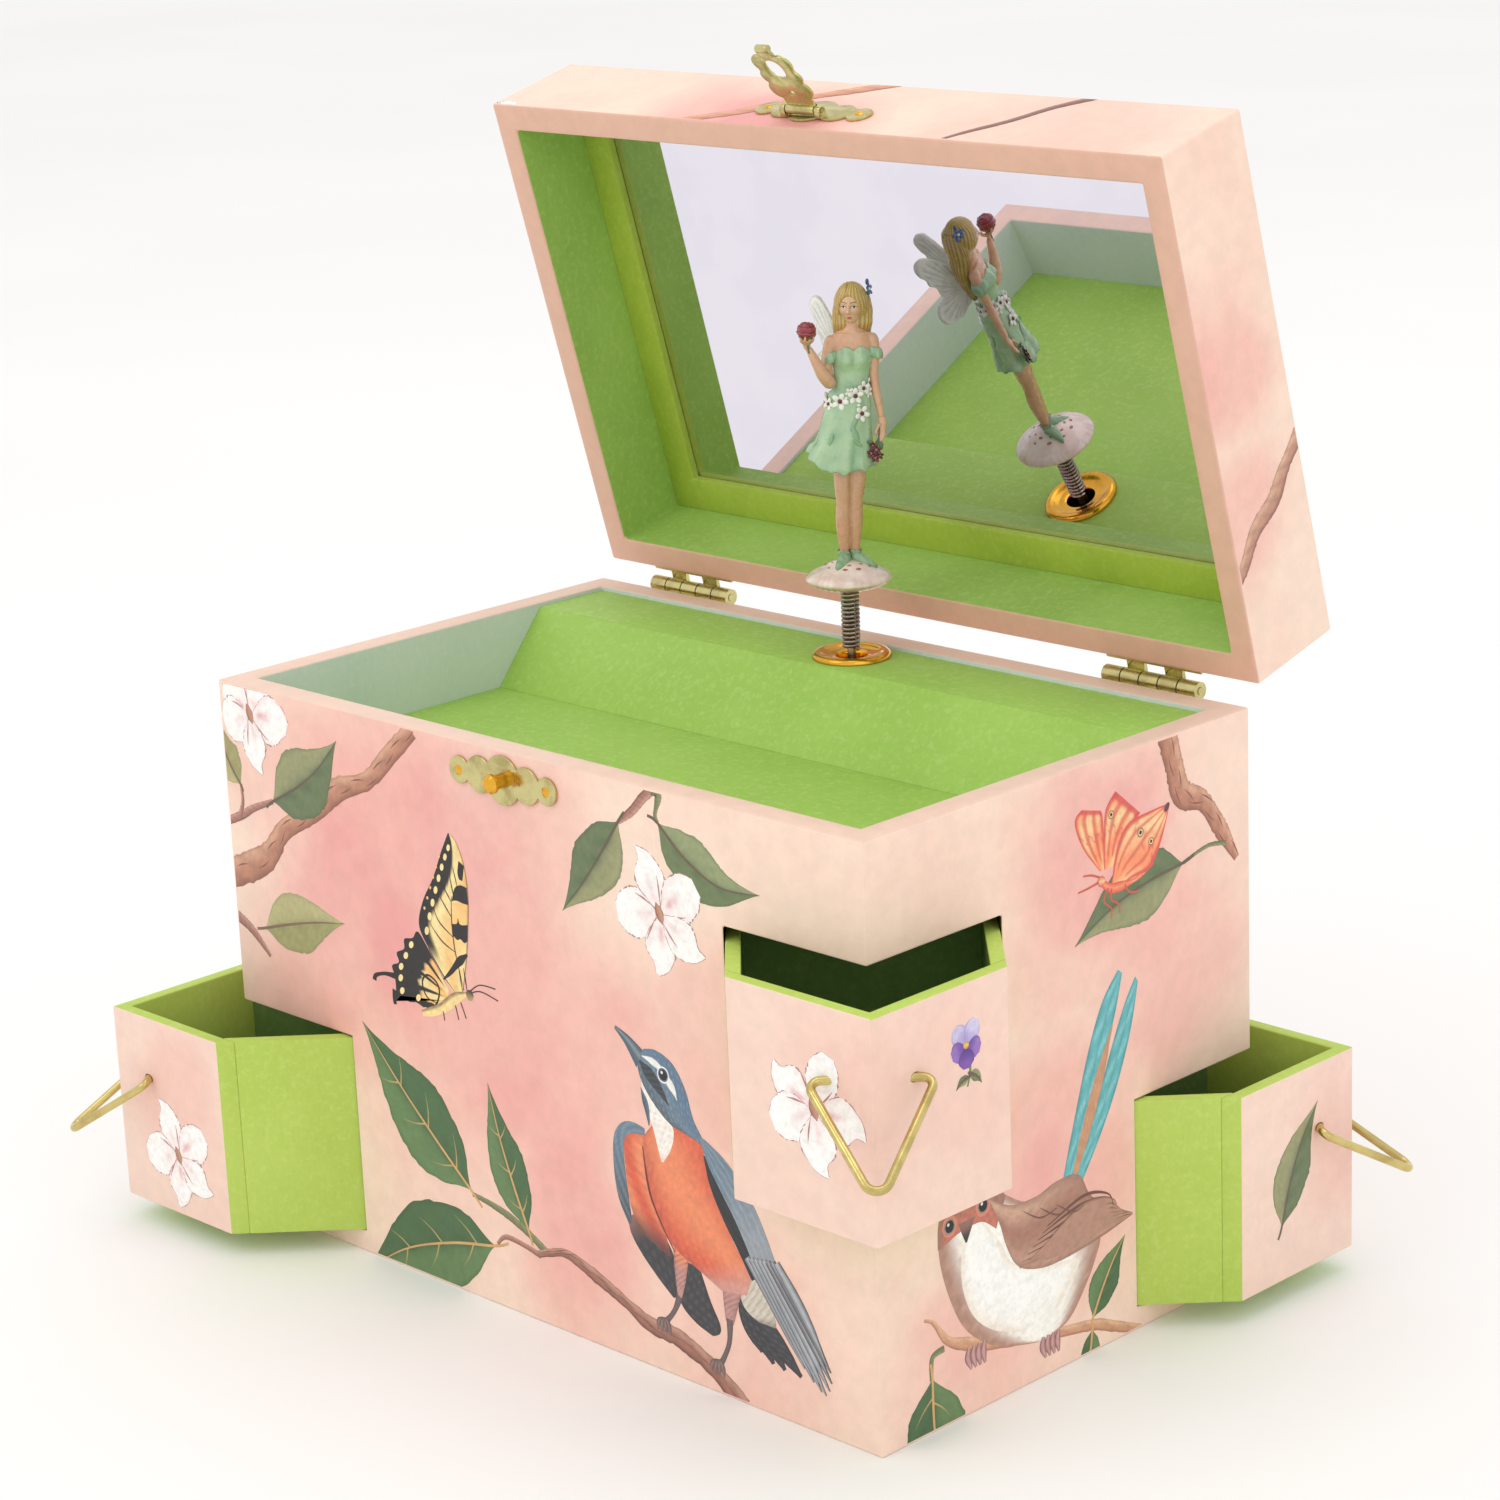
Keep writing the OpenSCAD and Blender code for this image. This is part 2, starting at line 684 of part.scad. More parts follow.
// Clockwork movement on a bedplate that is screwed to the back panel

module bedplate() {
    color("#c7b06a") difference() {
        union() {
            translate([-27, plate_y, 57]) cube([47.5, 2, 58]);
            translate([-27, figure_y + 0.6, 86]) cube([8, plate_y - figure_y - 0.6, 18.4]);
            translate([-3, figure_y - 2, 82.8]) cube([6, plate_y - figure_y + 2, 0.9]);
            translate([governor_x - 0.9, figure_y - 1.5, 102.4])
                cube([3, plate_y - figure_y + 1.5, 0.9]);
        }
        translate([0, figure_y, 80]) cylinder(r = 1.05, h = 5);
        translate([governor_x, figure_y, 100]) cylinder(r = 0.65, h = 5);
        translate([0, plate_y - 1, great_z]) rotate([-90, 0, 0]) cylinder(r = 1.9, h = 4);
        translate([worm_x, plate_y - 1, governor_z]) rotate([-90, 0, 0]) cylinder(r = 0.6, h = 4);
        comb_screw_holes();
    }
}

module comb_screw_holes() {
    for (z = [90, 100]) translate([-23, figure_y - 2, z]) rotate([-90, 0, 0])
        cylinder(r = 1.2, h = 8);
}

module comb() {
    pitch = 17 / comb_teeth;
    color("#aab0b5") difference() {
        translate([-27, figure_y - 0.5, 86.5]) cube([20.3, 1, 17.4]);
        for (i = [0 : comb_teeth - 1])
            translate([-18 - 3 * i / comb_teeth, figure_y - 1, 86.5 + (i + 0.82) * pitch])
                cube([12 + 3 * i / comb_teeth, 2, 0.18 * pitch]);
        comb_screw_holes();
    }
}

module comb_screws() {
    color("#b9bdc2") for (z = [90, 100]) translate([-23, figure_y - 0.5, z]) rotate([-90, 0, 0]) {
        difference() {
            translate([0, 0, -1.2]) cylinder(r = 2.1, h = 1.2);
            translate([-3, -0.25, -1.5]) cube([6, 0.5, 0.8]);
        }
        cylinder(r = 1.15, h = 6.4);
    }
}

// A drum with pins set by a simple repeating tune, a crown wheel below and a wheel on top
module pin_cylinder() {
    pitch = 17 / comb_teeth;
    color("#d9b548") translate([0, figure_y, 0]) {
        translate([0, 0, cyl_z0]) cylinder(r = cylinder_r, h = cyl_z1 - cyl_z0);
        translate([0, 0, 82.8]) cylinder(r = 1, h = cyl_z1 + 1.3 - 82.8);
        for (i = [0 : comb_teeth - 1], k = [0 : 1])
            translate([0, 0, 86.5 + (i + 0.4) * pitch])
                rotate([0, 90, 137.5 * i + 170 * k + 11])
                cylinder(r = 0.2, h = cylinder_r + 0.5, $fn = 16);
        translate([0, 0, cyl_z1]) rotate([0, 0, 180 / top_wheel_teeth])
            spur(top_wheel_teeth, gear_module * top_wheel_teeth / 2, 0.5, 0.42, 1.2);
        translate([0, 0, cyl_z0 - 0.8]) cylinder(r = crown_r + 0.8, h = 0.8);
        for (i = [0 : crown_teeth - 1]) rotate([0, 0, 360 * (i + 0.5) / crown_teeth])
            translate([crown_r - 0.7, -0.25, cyl_z0 - 1.75]) cube([1.4, 0.5, 1]);
    }
}

module along_arbor(y) { translate([0, y, great_z]) rotate([-90, 0, 0]) children(); }

module spring_barrel() {
    color("#c9c2a0") along_arbor(great_y + 1.3) difference() {
        cylinder(r = 11.9, h = plate_y - great_y - 1.3);
        translate([0, 0, 0.8]) cylinder(r = 11.1, h = plate_y - great_y - 2.9);
        translate([0, 0, -1]) cylinder(r = 1.9, h = 20);
    }
}

module great_wheel() {
    color("#d9b548") along_arbor(great_y - 0.6) {
        difference() {
            rotate([0, 0, 90]) spur(great_teeth, great_r, 0.8, 0.8, 1.2);
            translate([0, 0, -1]) cylinder(r = 1.5, h = 4);
            for (a = [0 : 60 : 300]) rotate([0, 0, a]) translate([8, 0, -1])
                cylinder(r = 2.4, h = 4);
        }
        cylinder(r = 1.8, h = case_w / 2 + 3 - great_y + 0.6);
    }
}

// A flat wing key on the end of the winding arbor, behind the back panel
module winding_key() {
    color("#c9bf84") translate([0, case_w / 2 + 3.05, great_z]) {
        rotate([-90, 0, 0]) cylinder(r = 3, h = 5);
        translate([0, 4.6, 0]) difference() {
            union() {
                translate([-5, 0, -1]) cube([10, 9, 2]);
                for (s = [-1, 1]) translate([7 * s, 5.5, -1]) cylinder(r = 5.5, h = 2);
            }
            for (s = [-1, 1]) translate([7 * s, 5.5, -2]) cylinder(r = 2.6, h = 4);
        }
    }
}

module governor_bracket() {
    color("#aab0b5") difference() {
        union() {
            translate([-4, 37, 112]) cube([worm_x + 7, plate_y - 37, 1.2]);
            translate([worm_x - 3, 31.4, 112]) cube([6, plate_y - 31.4, 1.2]);
            translate([worm_x - 3, 31.4, governor_z - 2]) cube([6, 1, 113.2 - governor_z + 2]);
        }
        translate([0, figure_y, 110]) cylinder(r = spindle_r + 0.08, h = 5);
        translate([governor_x, figure_y, 110]) cylinder(r = 0.65, h = 5);
        translate([worm_x, 30, governor_z]) rotate([-90, 0, 0]) cylinder(r = 0.6, h = 4);
    }
}

module governor_wheel() {
    color("#d9b548") translate([governor_x, figure_y, 0]) {
        translate([0, 0, 102.4]) cylinder(r = 0.6, h = 10.8);
        translate([0, 0, cyl_z1 - 0.2])
            spur(pinion_teeth, gear_module * pinion_teeth / 2, 0.5, 0.36, 1.6);
        translate([0, 0, governor_z - 0.6]) spur(governor_teeth, governor_r, 0.7, 0.5, 1.2);
    }
}

// Two-start worm with a flat air brake, on a shaft along Y
module governor_fan() {
    color("#d9b548") translate([worm_x, 31.5, governor_z]) rotate([-90, 0, 0]) {
        cylinder(r = 0.55, h = plate_y + 1.4 - 31.5);
        translate([0, 0, figure_y - 31.5 - 3.2]) cylinder(r = worm_r - 0.65, h = 6.4);
        translate([0, 0, figure_y - 31.5 - 3.2])
            linear_extrude(6.4, twist = -360 * 6.4 / 2.52, $fn = 16, slices = 36)
            for (s = [-1, 1]) translate([0.55 * s, 0]) circle(0.8);
        translate([-2.8, -0.2, 1.6]) cube([5.6, 0.4, 2.6]);
    }
}

front_panel();
back_panel();
left_panel();
right_panel();
base_board();
mid_board();
tray_floor();
ramp_board();
shelf_board();
cell(FRONT_LEFT);  // cell_front_left
cell(FRONT_RIGHT);  // cell_front_right
cell(BACK_RIGHT);  // cell_back_right
cell(BACK_LEFT);  // cell_back_left
drawer_face(FRONT_LEFT);  // face_front_left
drawer_face(FRONT_RIGHT);  // face_front_right
drawer_face(BACK_RIGHT);  // face_back_right
drawer_face(BACK_LEFT);  // face_back_left
drawer_tray(FRONT_LEFT);  // tray_front_left
drawer_tray(FRONT_RIGHT);  // tray_front_right
drawer_tray(BACK_RIGHT);  // tray_back_right
drawer_tray(BACK_LEFT);  // tray_back_left
handle(FRONT_LEFT);  // handle_front_left
handle(FRONT_RIGHT);  // handle_front_right
handle(BACK_RIGHT);  // handle_back_right
handle(BACK_LEFT);  // handle_back_left
lid_top();
lid_front_rail();
lid_back_rail();
lid_side_rail(-1);  // lid_left_rail
lid_side_rail(1);  // lid_right_rail
mirror_glass();  // mirror
mirror_frame();
case_leaf(hinge_x[0]);  // case_leaf_left
case_leaf(hinge_x[1]);  // case_leaf_right
lid_leaf(hinge_x[0]);  // lid_leaf_left
lid_leaf(hinge_x[1]);  // lid_leaf_right
hinge_pins();
catch_plate();
catch_knob();
hasp_plate();
hasp_pin();
hasp_leaf();
case_nails();
lid_nails();
ferrule();
spindle();
spring();
toadstool();
figurine();
wings();
bedplate();
comb();
comb_screws();
pin_cylinder();
spring_barrel();
great_wheel();
winding_key();
governor_bracket();
governor_wheel();
governor_fan();
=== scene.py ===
import json
import math
import random

import bmesh
import bpy
from mathutils import Matrix, Vector, noise

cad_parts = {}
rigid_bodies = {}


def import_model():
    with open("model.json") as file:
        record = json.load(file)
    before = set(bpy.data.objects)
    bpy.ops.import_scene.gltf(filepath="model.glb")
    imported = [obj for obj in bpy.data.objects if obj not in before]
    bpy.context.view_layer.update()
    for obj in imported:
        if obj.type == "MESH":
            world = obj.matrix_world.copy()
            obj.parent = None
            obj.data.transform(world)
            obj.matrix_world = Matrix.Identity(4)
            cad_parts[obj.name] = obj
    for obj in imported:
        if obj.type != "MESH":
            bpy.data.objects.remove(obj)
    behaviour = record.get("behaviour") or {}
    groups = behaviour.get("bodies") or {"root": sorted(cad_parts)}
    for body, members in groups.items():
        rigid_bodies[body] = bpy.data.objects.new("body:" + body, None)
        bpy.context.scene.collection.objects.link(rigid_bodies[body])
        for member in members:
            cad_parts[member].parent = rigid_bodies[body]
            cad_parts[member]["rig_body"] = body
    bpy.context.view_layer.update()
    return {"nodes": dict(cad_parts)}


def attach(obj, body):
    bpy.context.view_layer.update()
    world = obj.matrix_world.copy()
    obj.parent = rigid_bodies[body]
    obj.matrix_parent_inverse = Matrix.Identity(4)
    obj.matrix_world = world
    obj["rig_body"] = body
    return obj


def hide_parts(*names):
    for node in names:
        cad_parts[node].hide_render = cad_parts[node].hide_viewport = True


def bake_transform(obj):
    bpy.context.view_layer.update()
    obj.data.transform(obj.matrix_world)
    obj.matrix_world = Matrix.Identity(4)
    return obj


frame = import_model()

MM = 0.001
NODES = frame["nodes"]

# Sizes shared with the CAD model, in millimetres
CASE_L, CASE_W, CASE_H, WALL = 190.0, 113.0, 122.5, 6.0
RIM_Z, LID_H, LID_OPEN = 122.8, 25.0, 75.0
HINGE_Y, HINGE_Z = 60.5, 122.4
CORNERS = {  # side along X, side along Y, underside, drawer out, handle drop
    "front_left": (-1, -1, 5.0, 29.0, 36.0),
    "front_right": (1, -1, 51.5, 20.0, 37.0),
    "back_right": (1, 1, 5.0, 21.0, 33.0),
    "back_left": (-1, 1, 51.5, 0.0, 64.0),
}
INNER_X, INNER_Y = CASE_L / 2 - WALL, CASE_W / 2 - WALL  # half the room between the walls
HALF_OPEN = 26.3  # half the width of a drawer's opening
OPENING_LOW, OPENING_HIGH = (4.8, 49.6), (51.2, 98.6)  # bottom and top of the openings
WIRE_R = 0.88  # half the handle wire's thickness
# A handle's swing axis, in from the drawer's corner and up from its underside
HANDLE_IN, HANDLE_UP = 8.0, 30.0
FIGURE_Y, FIGURE_Z = 41.0, 143.0  # the figure's middle line, and where its feet stand
SPRING_Z, CAP_Z = 123.4, 136.3  # where the spring starts, and where the toadstool is measured from


def lin(r, g, b):
    """An sRGB colour of 0 to 255 a channel as linear values."""
    def one(c):
        c /= 255.0
        return c / 12.92 if c <= 0.04045 else ((c + 0.055) / 1.055) ** 2.4
    return (one(r), one(g), one(b))


def mix(a, b, t):
    t = max(0.0, min(1.0, t))
    return tuple(x + (y - x) * t for x, y in zip(a, b))


def smooth(a, b, x):
    t = max(0.0, min(1.0, (x - a) / (b - a)))
    return t * t * (3 - 2 * t)


# ---------------------------------------------------------------- materials

def shader(name, rough=0.5, metallic=0.0, coat=0.0, coat_rough=0.1):
    m = bpy.data.materials.new(name)
    m.use_nodes = True
    bsdf = m.node_tree.nodes["Principled BSDF"]
    bsdf.inputs["Roughness"].default_value = rough
    bsdf.inputs["Metallic"].default_value = metallic
    bsdf.inputs["Coat Weight"].default_value = coat
    bsdf.inputs["Coat Roughness"].default_value = coat_rough
    return m, m.node_tree, bsdf


def coords(nt, scale=(1, 1, 1)):
    tc = nt.nodes.new("ShaderNodeTexCoord")
    mp = nt.nodes.new("ShaderNodeMapping")
    mp.inputs["Scale"].default_value = scale
    nt.links.new(tc.outputs["Object"], mp.inputs["Vector"])
    return mp.outputs["Vector"]


def noise_tex(nt, scale, detail=4.0, rough=0.55, distort=0.0, vec=None):
    n = nt.nodes.new("ShaderNodeTexNoise")
    n.inputs["Scale"].default_value = scale
    n.inputs["Detail"].default_value = detail
    n.inputs["Roughness"].default_value = rough
    n.inputs["Distortion"].default_value = distort
    nt.links.new(vec if vec else coords(nt), n.inputs["Vector"])
    return n.outputs["Fac"]


def remap(nt, value, a, b, lo=0.0, hi=1.0):
    n = nt.nodes.new("ShaderNodeMapRange")
    n.interpolation_type = "SMOOTHSTEP"
    nt.links.new(value, n.inputs["Value"])
    for k, v in (("From Min", a), ("From Max", b), ("To Min", lo), ("To Max", hi)):
        n.inputs[k].default_value = v
    return n.outputs["Result"]


def blend_rgb(nt, fac, a, b, mode="MIX"):
    n = nt.nodes.new("ShaderNodeMix")
    n.data_type = "RGBA"
    n.blend_type = mode
    for socket, v in ((n.inputs[0], fac), (n.inputs[6], a), (n.inputs[7], b)):
        if isinstance(v, (int, float)):
            socket.default_value = v
        elif isinstance(v, tuple):
            socket.default_value = (*v[:3], 1.0)
        else:
            nt.links.new(v, socket)
    return n.outputs[2]


def math_node(nt, op, a, b=0.0):
    n = nt.nodes.new("ShaderNodeMath")
    n.operation = op
    for socket, v in ((n.inputs[0], a), (n.inputs[1], b)):
        if isinstance(v, (int, float)):
            socket.default_value = v
        else:
            nt.links.new(v, socket)
    return n.outputs[0]


def bump(nt, bsdf, height, strength=0.2, distance=0.0002):
    n = nt.nodes.new("ShaderNodeBump")
    n.inputs["Strength"].default_value = strength
    n.inputs["Distance"].default_value = distance
    nt.links.new(height, n.inputs["Height"])
    nt.links.new(n.outputs["Normal"], bsdf.inputs["Normal"])


def toned(nt, colour, tone):
    """The colour times a grey tone."""
    shade = nt.nodes.new("ShaderNodeCombineColor")
    for i in range(3):
        nt.links.new(tone, shade.inputs[i])
    return blend_rgb(nt, 1.0, colour, shade.outputs[0], "MULTIPLY")


SPOT_CORE = 0.35  # the part of a patch's radius that has its full colour


def spot(nt, warped, centre, radius):
    """A soft round patch about a point, 1 at its middle."""
    d = nt.nodes.new("ShaderNodeVectorMath")
    d.operation = "DISTANCE"
    nt.links.new(warped, d.inputs[0])
    d.inputs[1].default_value = tuple(c * MM for c in centre)
    return remap(nt, d.outputs["Value"], radius * MM * SPOT_CORE, radius * MM, 1.0, 0.0)


WARP = 0.035  # how far noise moves a wash, in metres; the patches allow for its mean, half of that


def printed_paper(name, base, wash, deep, washes, deeps):
    """Watercolour washes printed on satin paper: soft patches, mottling and a fine paper grain."""
    m, nt, bsdf = shader(name, 0.46)
    vec = coords(nt)
    n1 = nt.nodes.new("ShaderNodeTexNoise")
    n1.inputs["Scale"].default_value = 22.0
    n1.inputs["Detail"].default_value = 5.0
    nt.links.new(vec, n1.inputs["Vector"])
    shift = nt.nodes.new("ShaderNodeVectorMath")
    shift.operation = "MULTIPLY_ADD"
    nt.links.new(n1.outputs["Color"], shift.inputs[0])
    shift.inputs[1].default_value = (WARP, WARP, WARP)
    nt.links.new(vec, shift.inputs[2])
    warped = shift.outputs["Vector"]
    off = WARP / 2 / MM

    def patches(places):
        total = None
        for x, y, z, r, strength in places:
            s = math_node(nt, "MULTIPLY", spot(nt, warped, (x + off, y + off, z + off), r), strength)
            total = s if total is None else math_node(nt, "MAXIMUM", total, s)
        return total

    cloud = remap(nt, noise_tex(nt, 34.0, 6.0, 0.6, 0.4, vec), 0.35, 0.7)
    fine = noise_tex(nt, 260.0, 5.0, 0.65, 0.0, vec)
    colour = blend_rgb(nt, math_node(nt, "MULTIPLY", cloud, 0.22), base, wash)
    for places, ink, least in ((washes, wash, 0.8), (deeps, deep, 0.6)):
        if places:
            amount = math_node(nt, "MULTIPLY", patches(places), remap(nt, cloud, 0.0, 1.0, least, 1.0))
            colour = blend_rgb(nt, amount, colour, ink)
    colour = toned(nt, colour, remap(nt, fine, 0.3, 0.7, 0.955, 1.03))
    nt.links.new(colour, bsdf.inputs["Base Color"])
    nt.links.new(remap(nt, fine, 0.25, 0.75, 0.40, 0.54), bsdf.inputs["Roughness"])
    bump(nt, bsdf, noise_tex(nt, 1400.0, 3.0, 0.6, 0.0, vec), 0.10, 0.00008)
    return m


def plain_paper(name, base, dark, light, rough=0.62, speck=0.5):
    """Coloured lining paper: a slight mottle, fibres and a fine speckle."""
    m, nt, bsdf = shader(name, rough)
    vec = coords(nt)
    big = remap(nt, noise_tex(nt, 28.0, 4.0, 0.5, 0.2, vec), 0.35, 0.68)
    fine = remap(nt, noise_tex(nt, 620.0, 4.0, 0.7, 0.0, vec), 0.45, 0.72)
    fibre = remap(nt, noise_tex(nt, 240.0, 2.0, 0.5, 1.2, coords(nt, (1, 4, 1))), 0.5, 0.75)
    colour = blend_rgb(nt, math_node(nt, "MULTIPLY", big, 0.5), base, dark)
    colour = blend_rgb(nt, math_node(nt, "MULTIPLY", fine, speck), colour, light)
    colour = blend_rgb(nt, math_node(nt, "MULTIPLY", fibre, 0.22), colour, dark)
    nt.links.new(colour, bsdf.inputs["Base Color"])
    nt.links.new(remap(nt, fine, 0.0, 1.0, rough + 0.05, rough - 0.06), bsdf.inputs["Roughness"])
    bump(nt, bsdf, fibre, 0.12, 0.0001)
    return m


def metal(name, base, dark, rough=0.28, wear=0.5, scale=90.0, brushed=(1, 1, 1)):
    """Plated or polished metal with tarnish in soft patches, fine scratches and small dings."""
    m, nt, bsdf = shader(name, rough, 1.0)
    vec = coords(nt, brushed)
    patch = remap(nt, noise_tex(nt, scale, 5.0, 0.6, 0.4), 0.38, 0.68)
    scratch = noise_tex(nt, scale * 9, 3.0, 0.7, 0.0, vec)
    colour = blend_rgb(nt, math_node(nt, "MULTIPLY", patch, wear), base, dark)
    nt.links.new(colour, bsdf.inputs["Base Color"])
    total = math_node(nt, "ADD", remap(nt, patch, 0.0, 1.0, rough - 0.05, rough + 0.14),
                      remap(nt, scratch, 0.3, 0.7, -0.05, 0.06))
    nt.links.new(total, bsdf.inputs["Roughness"])
    bump(nt, bsdf, scratch, 0.14, 0.00006)
    return m


def painted(name, rough=0.3, coat=0.5, speckle=0.10, scale=500.0):
    """Colours painted on the mesh, varied by brush texture, under a glaze."""
    m, nt, bsdf = shader(name, rough, 0.0, coat, 0.12)
    a = nt.nodes.new("ShaderNodeVertexColor")
    a.layer_name = "Paint"
    n = noise_tex(nt, scale, 4.0, 0.6, 0.3)
    tone = remap(nt, n, 0.3, 0.7, 1.0 - speckle, 1.0 + speckle * 0.6)
    colour = toned(nt, a.outputs["Color"], tone)
    nt.links.new(colour, bsdf.inputs["Base Color"])
    nt.links.new(remap(nt, n, 0.3, 0.7, rough - 0.05, rough + 0.07), bsdf.inputs["Roughness"])
    bump(nt, bsdf, n, 0.08, 0.0001)
    return m


PEACH = lin(247, 220, 200)
PINK = lin(240, 178, 166)
ROSE = lin(229, 143, 147)
CASE_PRINT = printed_paper(
    "case_print", PEACH, PINK, ROSE,
    [(-40, -57, 92, 56, 1.0), (-18, -57, 70, 58, 1.0), (-62, -57, 62, 40, 1.0), (10, -57, 60, 44, 0.9),
     (-24, -57, 30, 32, 0.4), (10, -57, 24, 36, 0.8), (60, -57, 18, 32, 0.5), (-82, -57, 104, 24, 0.4),
     (-2, -57, 106, 34, 0.7), (54, -57, 66, 34, 0.6), (95, -8, 40, 42, 0.85), (95, 28, 74, 38, 0.8),
     (95, -30, 18, 30, 0.65), (95, 10, 100, 36, 0.8), (95, -6, 84, 26, 0.5), (-95, 0, 60, 44, 0.9),
     (-95, 30, 96, 30, 0.6), (-95, -30, 24, 30, 0.6), (40, 57, 80, 48, 0.9), (-30, 57, 44, 50, 0.9),
     (-70, 57, 96, 30, 0.5)],
    [(-60, -57, 82, 22, 0.5), (-16, -57, 104, 28, 0.5), (-8, -57, 66, 26, 0.3), (-40, -57, 70, 22, 0.5),
     (0, -57, 92, 24, 0.35),
     (14, -57, 28, 24, 0.4), (95, -16, 34, 22, 0.4), (95, 8, 104, 24, 0.4), (-95, 4, 62, 24, 0.5),
     (44, 57, 84, 24, 0.5),
     (-34, 57, 40, 26, 0.45)])
RIM_PAPER = printed_paper("rim_paper", lin(238, 205, 186), lin(232, 190, 172), PINK, [], [])
LID_RIM = printed_paper("lid_rim_paper", lin(226, 180, 158), lin(219, 168, 146), PINK, [], [])
LINING_TEAL = plain_paper("lining_teal", lin(204, 214, 206), lin(184, 202, 192),
                          lin(216, 224, 214), 0.6, 0.35)
LINING_LIME = plain_paper("lining_lime", lin(166, 205, 92), lin(148, 190, 74), lin(190, 216, 122), 0.6, 0.5)
LINING_LID = plain_paper("lining_lid", lin(160, 196, 92), lin(132, 168, 66), lin(186, 212, 118), 0.6, 0.4)
FRAME_PAPER = plain_paper("mirror_frame_paper", lin(174, 194, 70), lin(148, 170, 54),
                          lin(190, 208, 96), 0.5, 0.4)
DRAWER_LIME = plain_paper("drawer_lime", lin(186, 212, 96), lin(170, 198, 76), lin(204, 224, 124), 0.6, 0.4)
# a darker copy of the drawer lime for the trays' inner faces: painted shade inside the drawers
DRAWER_SHADED_INSIDE = plain_paper("drawer_inside_shade", lin(96, 128, 58), lin(66, 98, 44), lin(120, 150, 74), 0.7, 0.4)
# a dark lime for the card cells behind the drawers, darker than the lining: painted shade deep in the cells
CARD_LIME_SHADED = plain_paper("card_lime_shaded", lin(104, 138, 60), lin(74, 106, 46), lin(130, 160, 80), 0.65, 0.4)
BOARD = plain_paper("hardboard", lin(168, 138, 106), lin(132, 102, 74), lin(196, 170, 138), 0.75, 0.5)
PLATED = metal("plated_brass", lin(206, 196, 138), lin(150, 136, 84), 0.27, 0.55, 160.0)
WIRE_BRASS = metal("wire_brass", lin(214, 196, 128), lin(140, 116, 62), 0.2, 0.45, 120.0, (1, 1, 6))
GOLD = metal("polished_gold", lin(232, 176, 62), lin(176, 112, 30), 0.14, 0.4, 140.0)
MOVEMENT = metal("movement_brass", lin(206, 172, 98), lin(150, 116, 58), 0.32, 0.5, 100.0, (1, 1, 5))
STEEL = metal("steel", lin(176, 178, 180), lin(120, 120, 122), 0.3, 0.5, 120.0, (1, 5, 1))
SPRING_STEEL = metal("spring_steel", lin(180, 166, 162), lin(96, 80, 76), 0.24, 0.6, 220.0)
ART = painted("printed_art", 0.44, 0.0, 0.09, 700.0)
GLAZE = painted("figure_glaze", 0.26, 0.55, 0.05, 420.0)


def mirror_material():
    m, nt, bsdf = shader("mirror_glass", 0.0, 1.0)
    n = noise_tex(nt, 60.0, 3.0, 0.5, 0.0)
    nt.links.new(blend_rgb(nt, remap(nt, n, 0.4, 0.6), lin(228, 224, 234), lin(224, 221, 232)),
                 bsdf.inputs["Base Color"])
    nt.links.new(remap(nt, n, 0.3, 0.7, 0.0, 0.012), bsdf.inputs["Roughness"])
    return m


MIRROR = mirror_material()


# ---------------------------------------------------------------- mesh helpers

def add_object(name, verts, faces, material, smooth_faces=True, colours=None):
    """A mesh object from points in millimetres; colours are linear, one for each point."""
    me = bpy.data.meshes.new(name)
    me.from_pydata([Vector(v) * MM for v in verts], [], faces)
    if colours:
        attr = me.color_attributes.new("Paint", "FLOAT_COLOR", "POINT")
        for i, c in enumerate(colours):
            attr.data[i].color = (c[0], c[1], c[2], 1.0)
    for p in me.polygons:
        p.use_smooth = smooth_faces
    me.validate()
    me.materials.append(material)
    ob = bpy.data.objects.new(name, me)
    bpy.context.scene.collection.objects.link(ob)
    return ob


def object_of(name, bm, materials):
    me = bpy.data.meshes.new(name)
    bm.normal_update()
    bm.to_mesh(me)
    bm.free()
    for m in materials:
        me.materials.append(m)
    ob = bpy.data.objects.new(name, me)
    bpy.context.scene.collection.objects.link(ob)
    return ob


def tidy_faces(bm):
    bmesh.ops.remove_doubles(bm, verts=bm.verts, dist=1e-6)
    bmesh.ops.dissolve_limit(bm, angle_limit=0.005, verts=bm.verts, edges=bm.edges)


def split_ngons(bm):
    bmesh.ops.triangulate(bm, faces=[f for f in bm.faces if len(f.verts) > 4])


def bevel_edges(bm, width, segments=2, min_len=1.2, angle=24.0):
    """Rounds the sharp edges that are longer than min_len; the short edges of bores stay as they are."""
    edges = [e for e in bm.edges if e.is_manifold and e.calc_length() > min_len * MM
             and e.calc_face_angle(0.0) > math.radians(angle)]
    bmesh.ops.bevel(bm, geom=edges, offset=width * MM, segments=segments, profile=0.5, affect="EDGES",
                    clamp_overlap=False)


def shade_by_angle(ob, angle=32.0):
    """Smooth shading, with the edges sharper than this angle kept sharp."""
    me = ob.data
    bm = bmesh.new()
    bm.from_mesh(me)
    for f in bm.faces:
        f.smooth = True
    for e in bm.edges:
        e.smooth = not (e.is_manifold and e.calc_face_angle(0.0) > math.radians(angle))
    bm.to_mesh(me)
    bm.free()


def soften(node, material, width=0.25, segments=2, min_len=1.2, angle=24.0, name=None):
    """A copy of a CAD part with its long edges rounded, which stands for it."""
    bm = bmesh.new()
    bm.from_mesh(NODES[node].data)
    tidy_faces(bm)
    bevel_edges(bm, width, segments, min_len, angle)
    split_ngons(bm)
    mats = material if isinstance(material, list) else [material]
    ob = object_of(name or node + "_skin", bm, mats)
    shade_by_angle(ob)
    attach(ob, NODES[node]["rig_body"])
    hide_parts(node)
    return ob


def box_mesh(lo, hi):
    bm = bmesh.new()
    bmesh.ops.create_cube(bm, size=1.0)
    for v in bm.verts:
        v.co = Vector([(lo[i] + (hi[i] - lo[i]) * (v.co[i] + 0.5)) * MM for i in range(3)])
    return bm


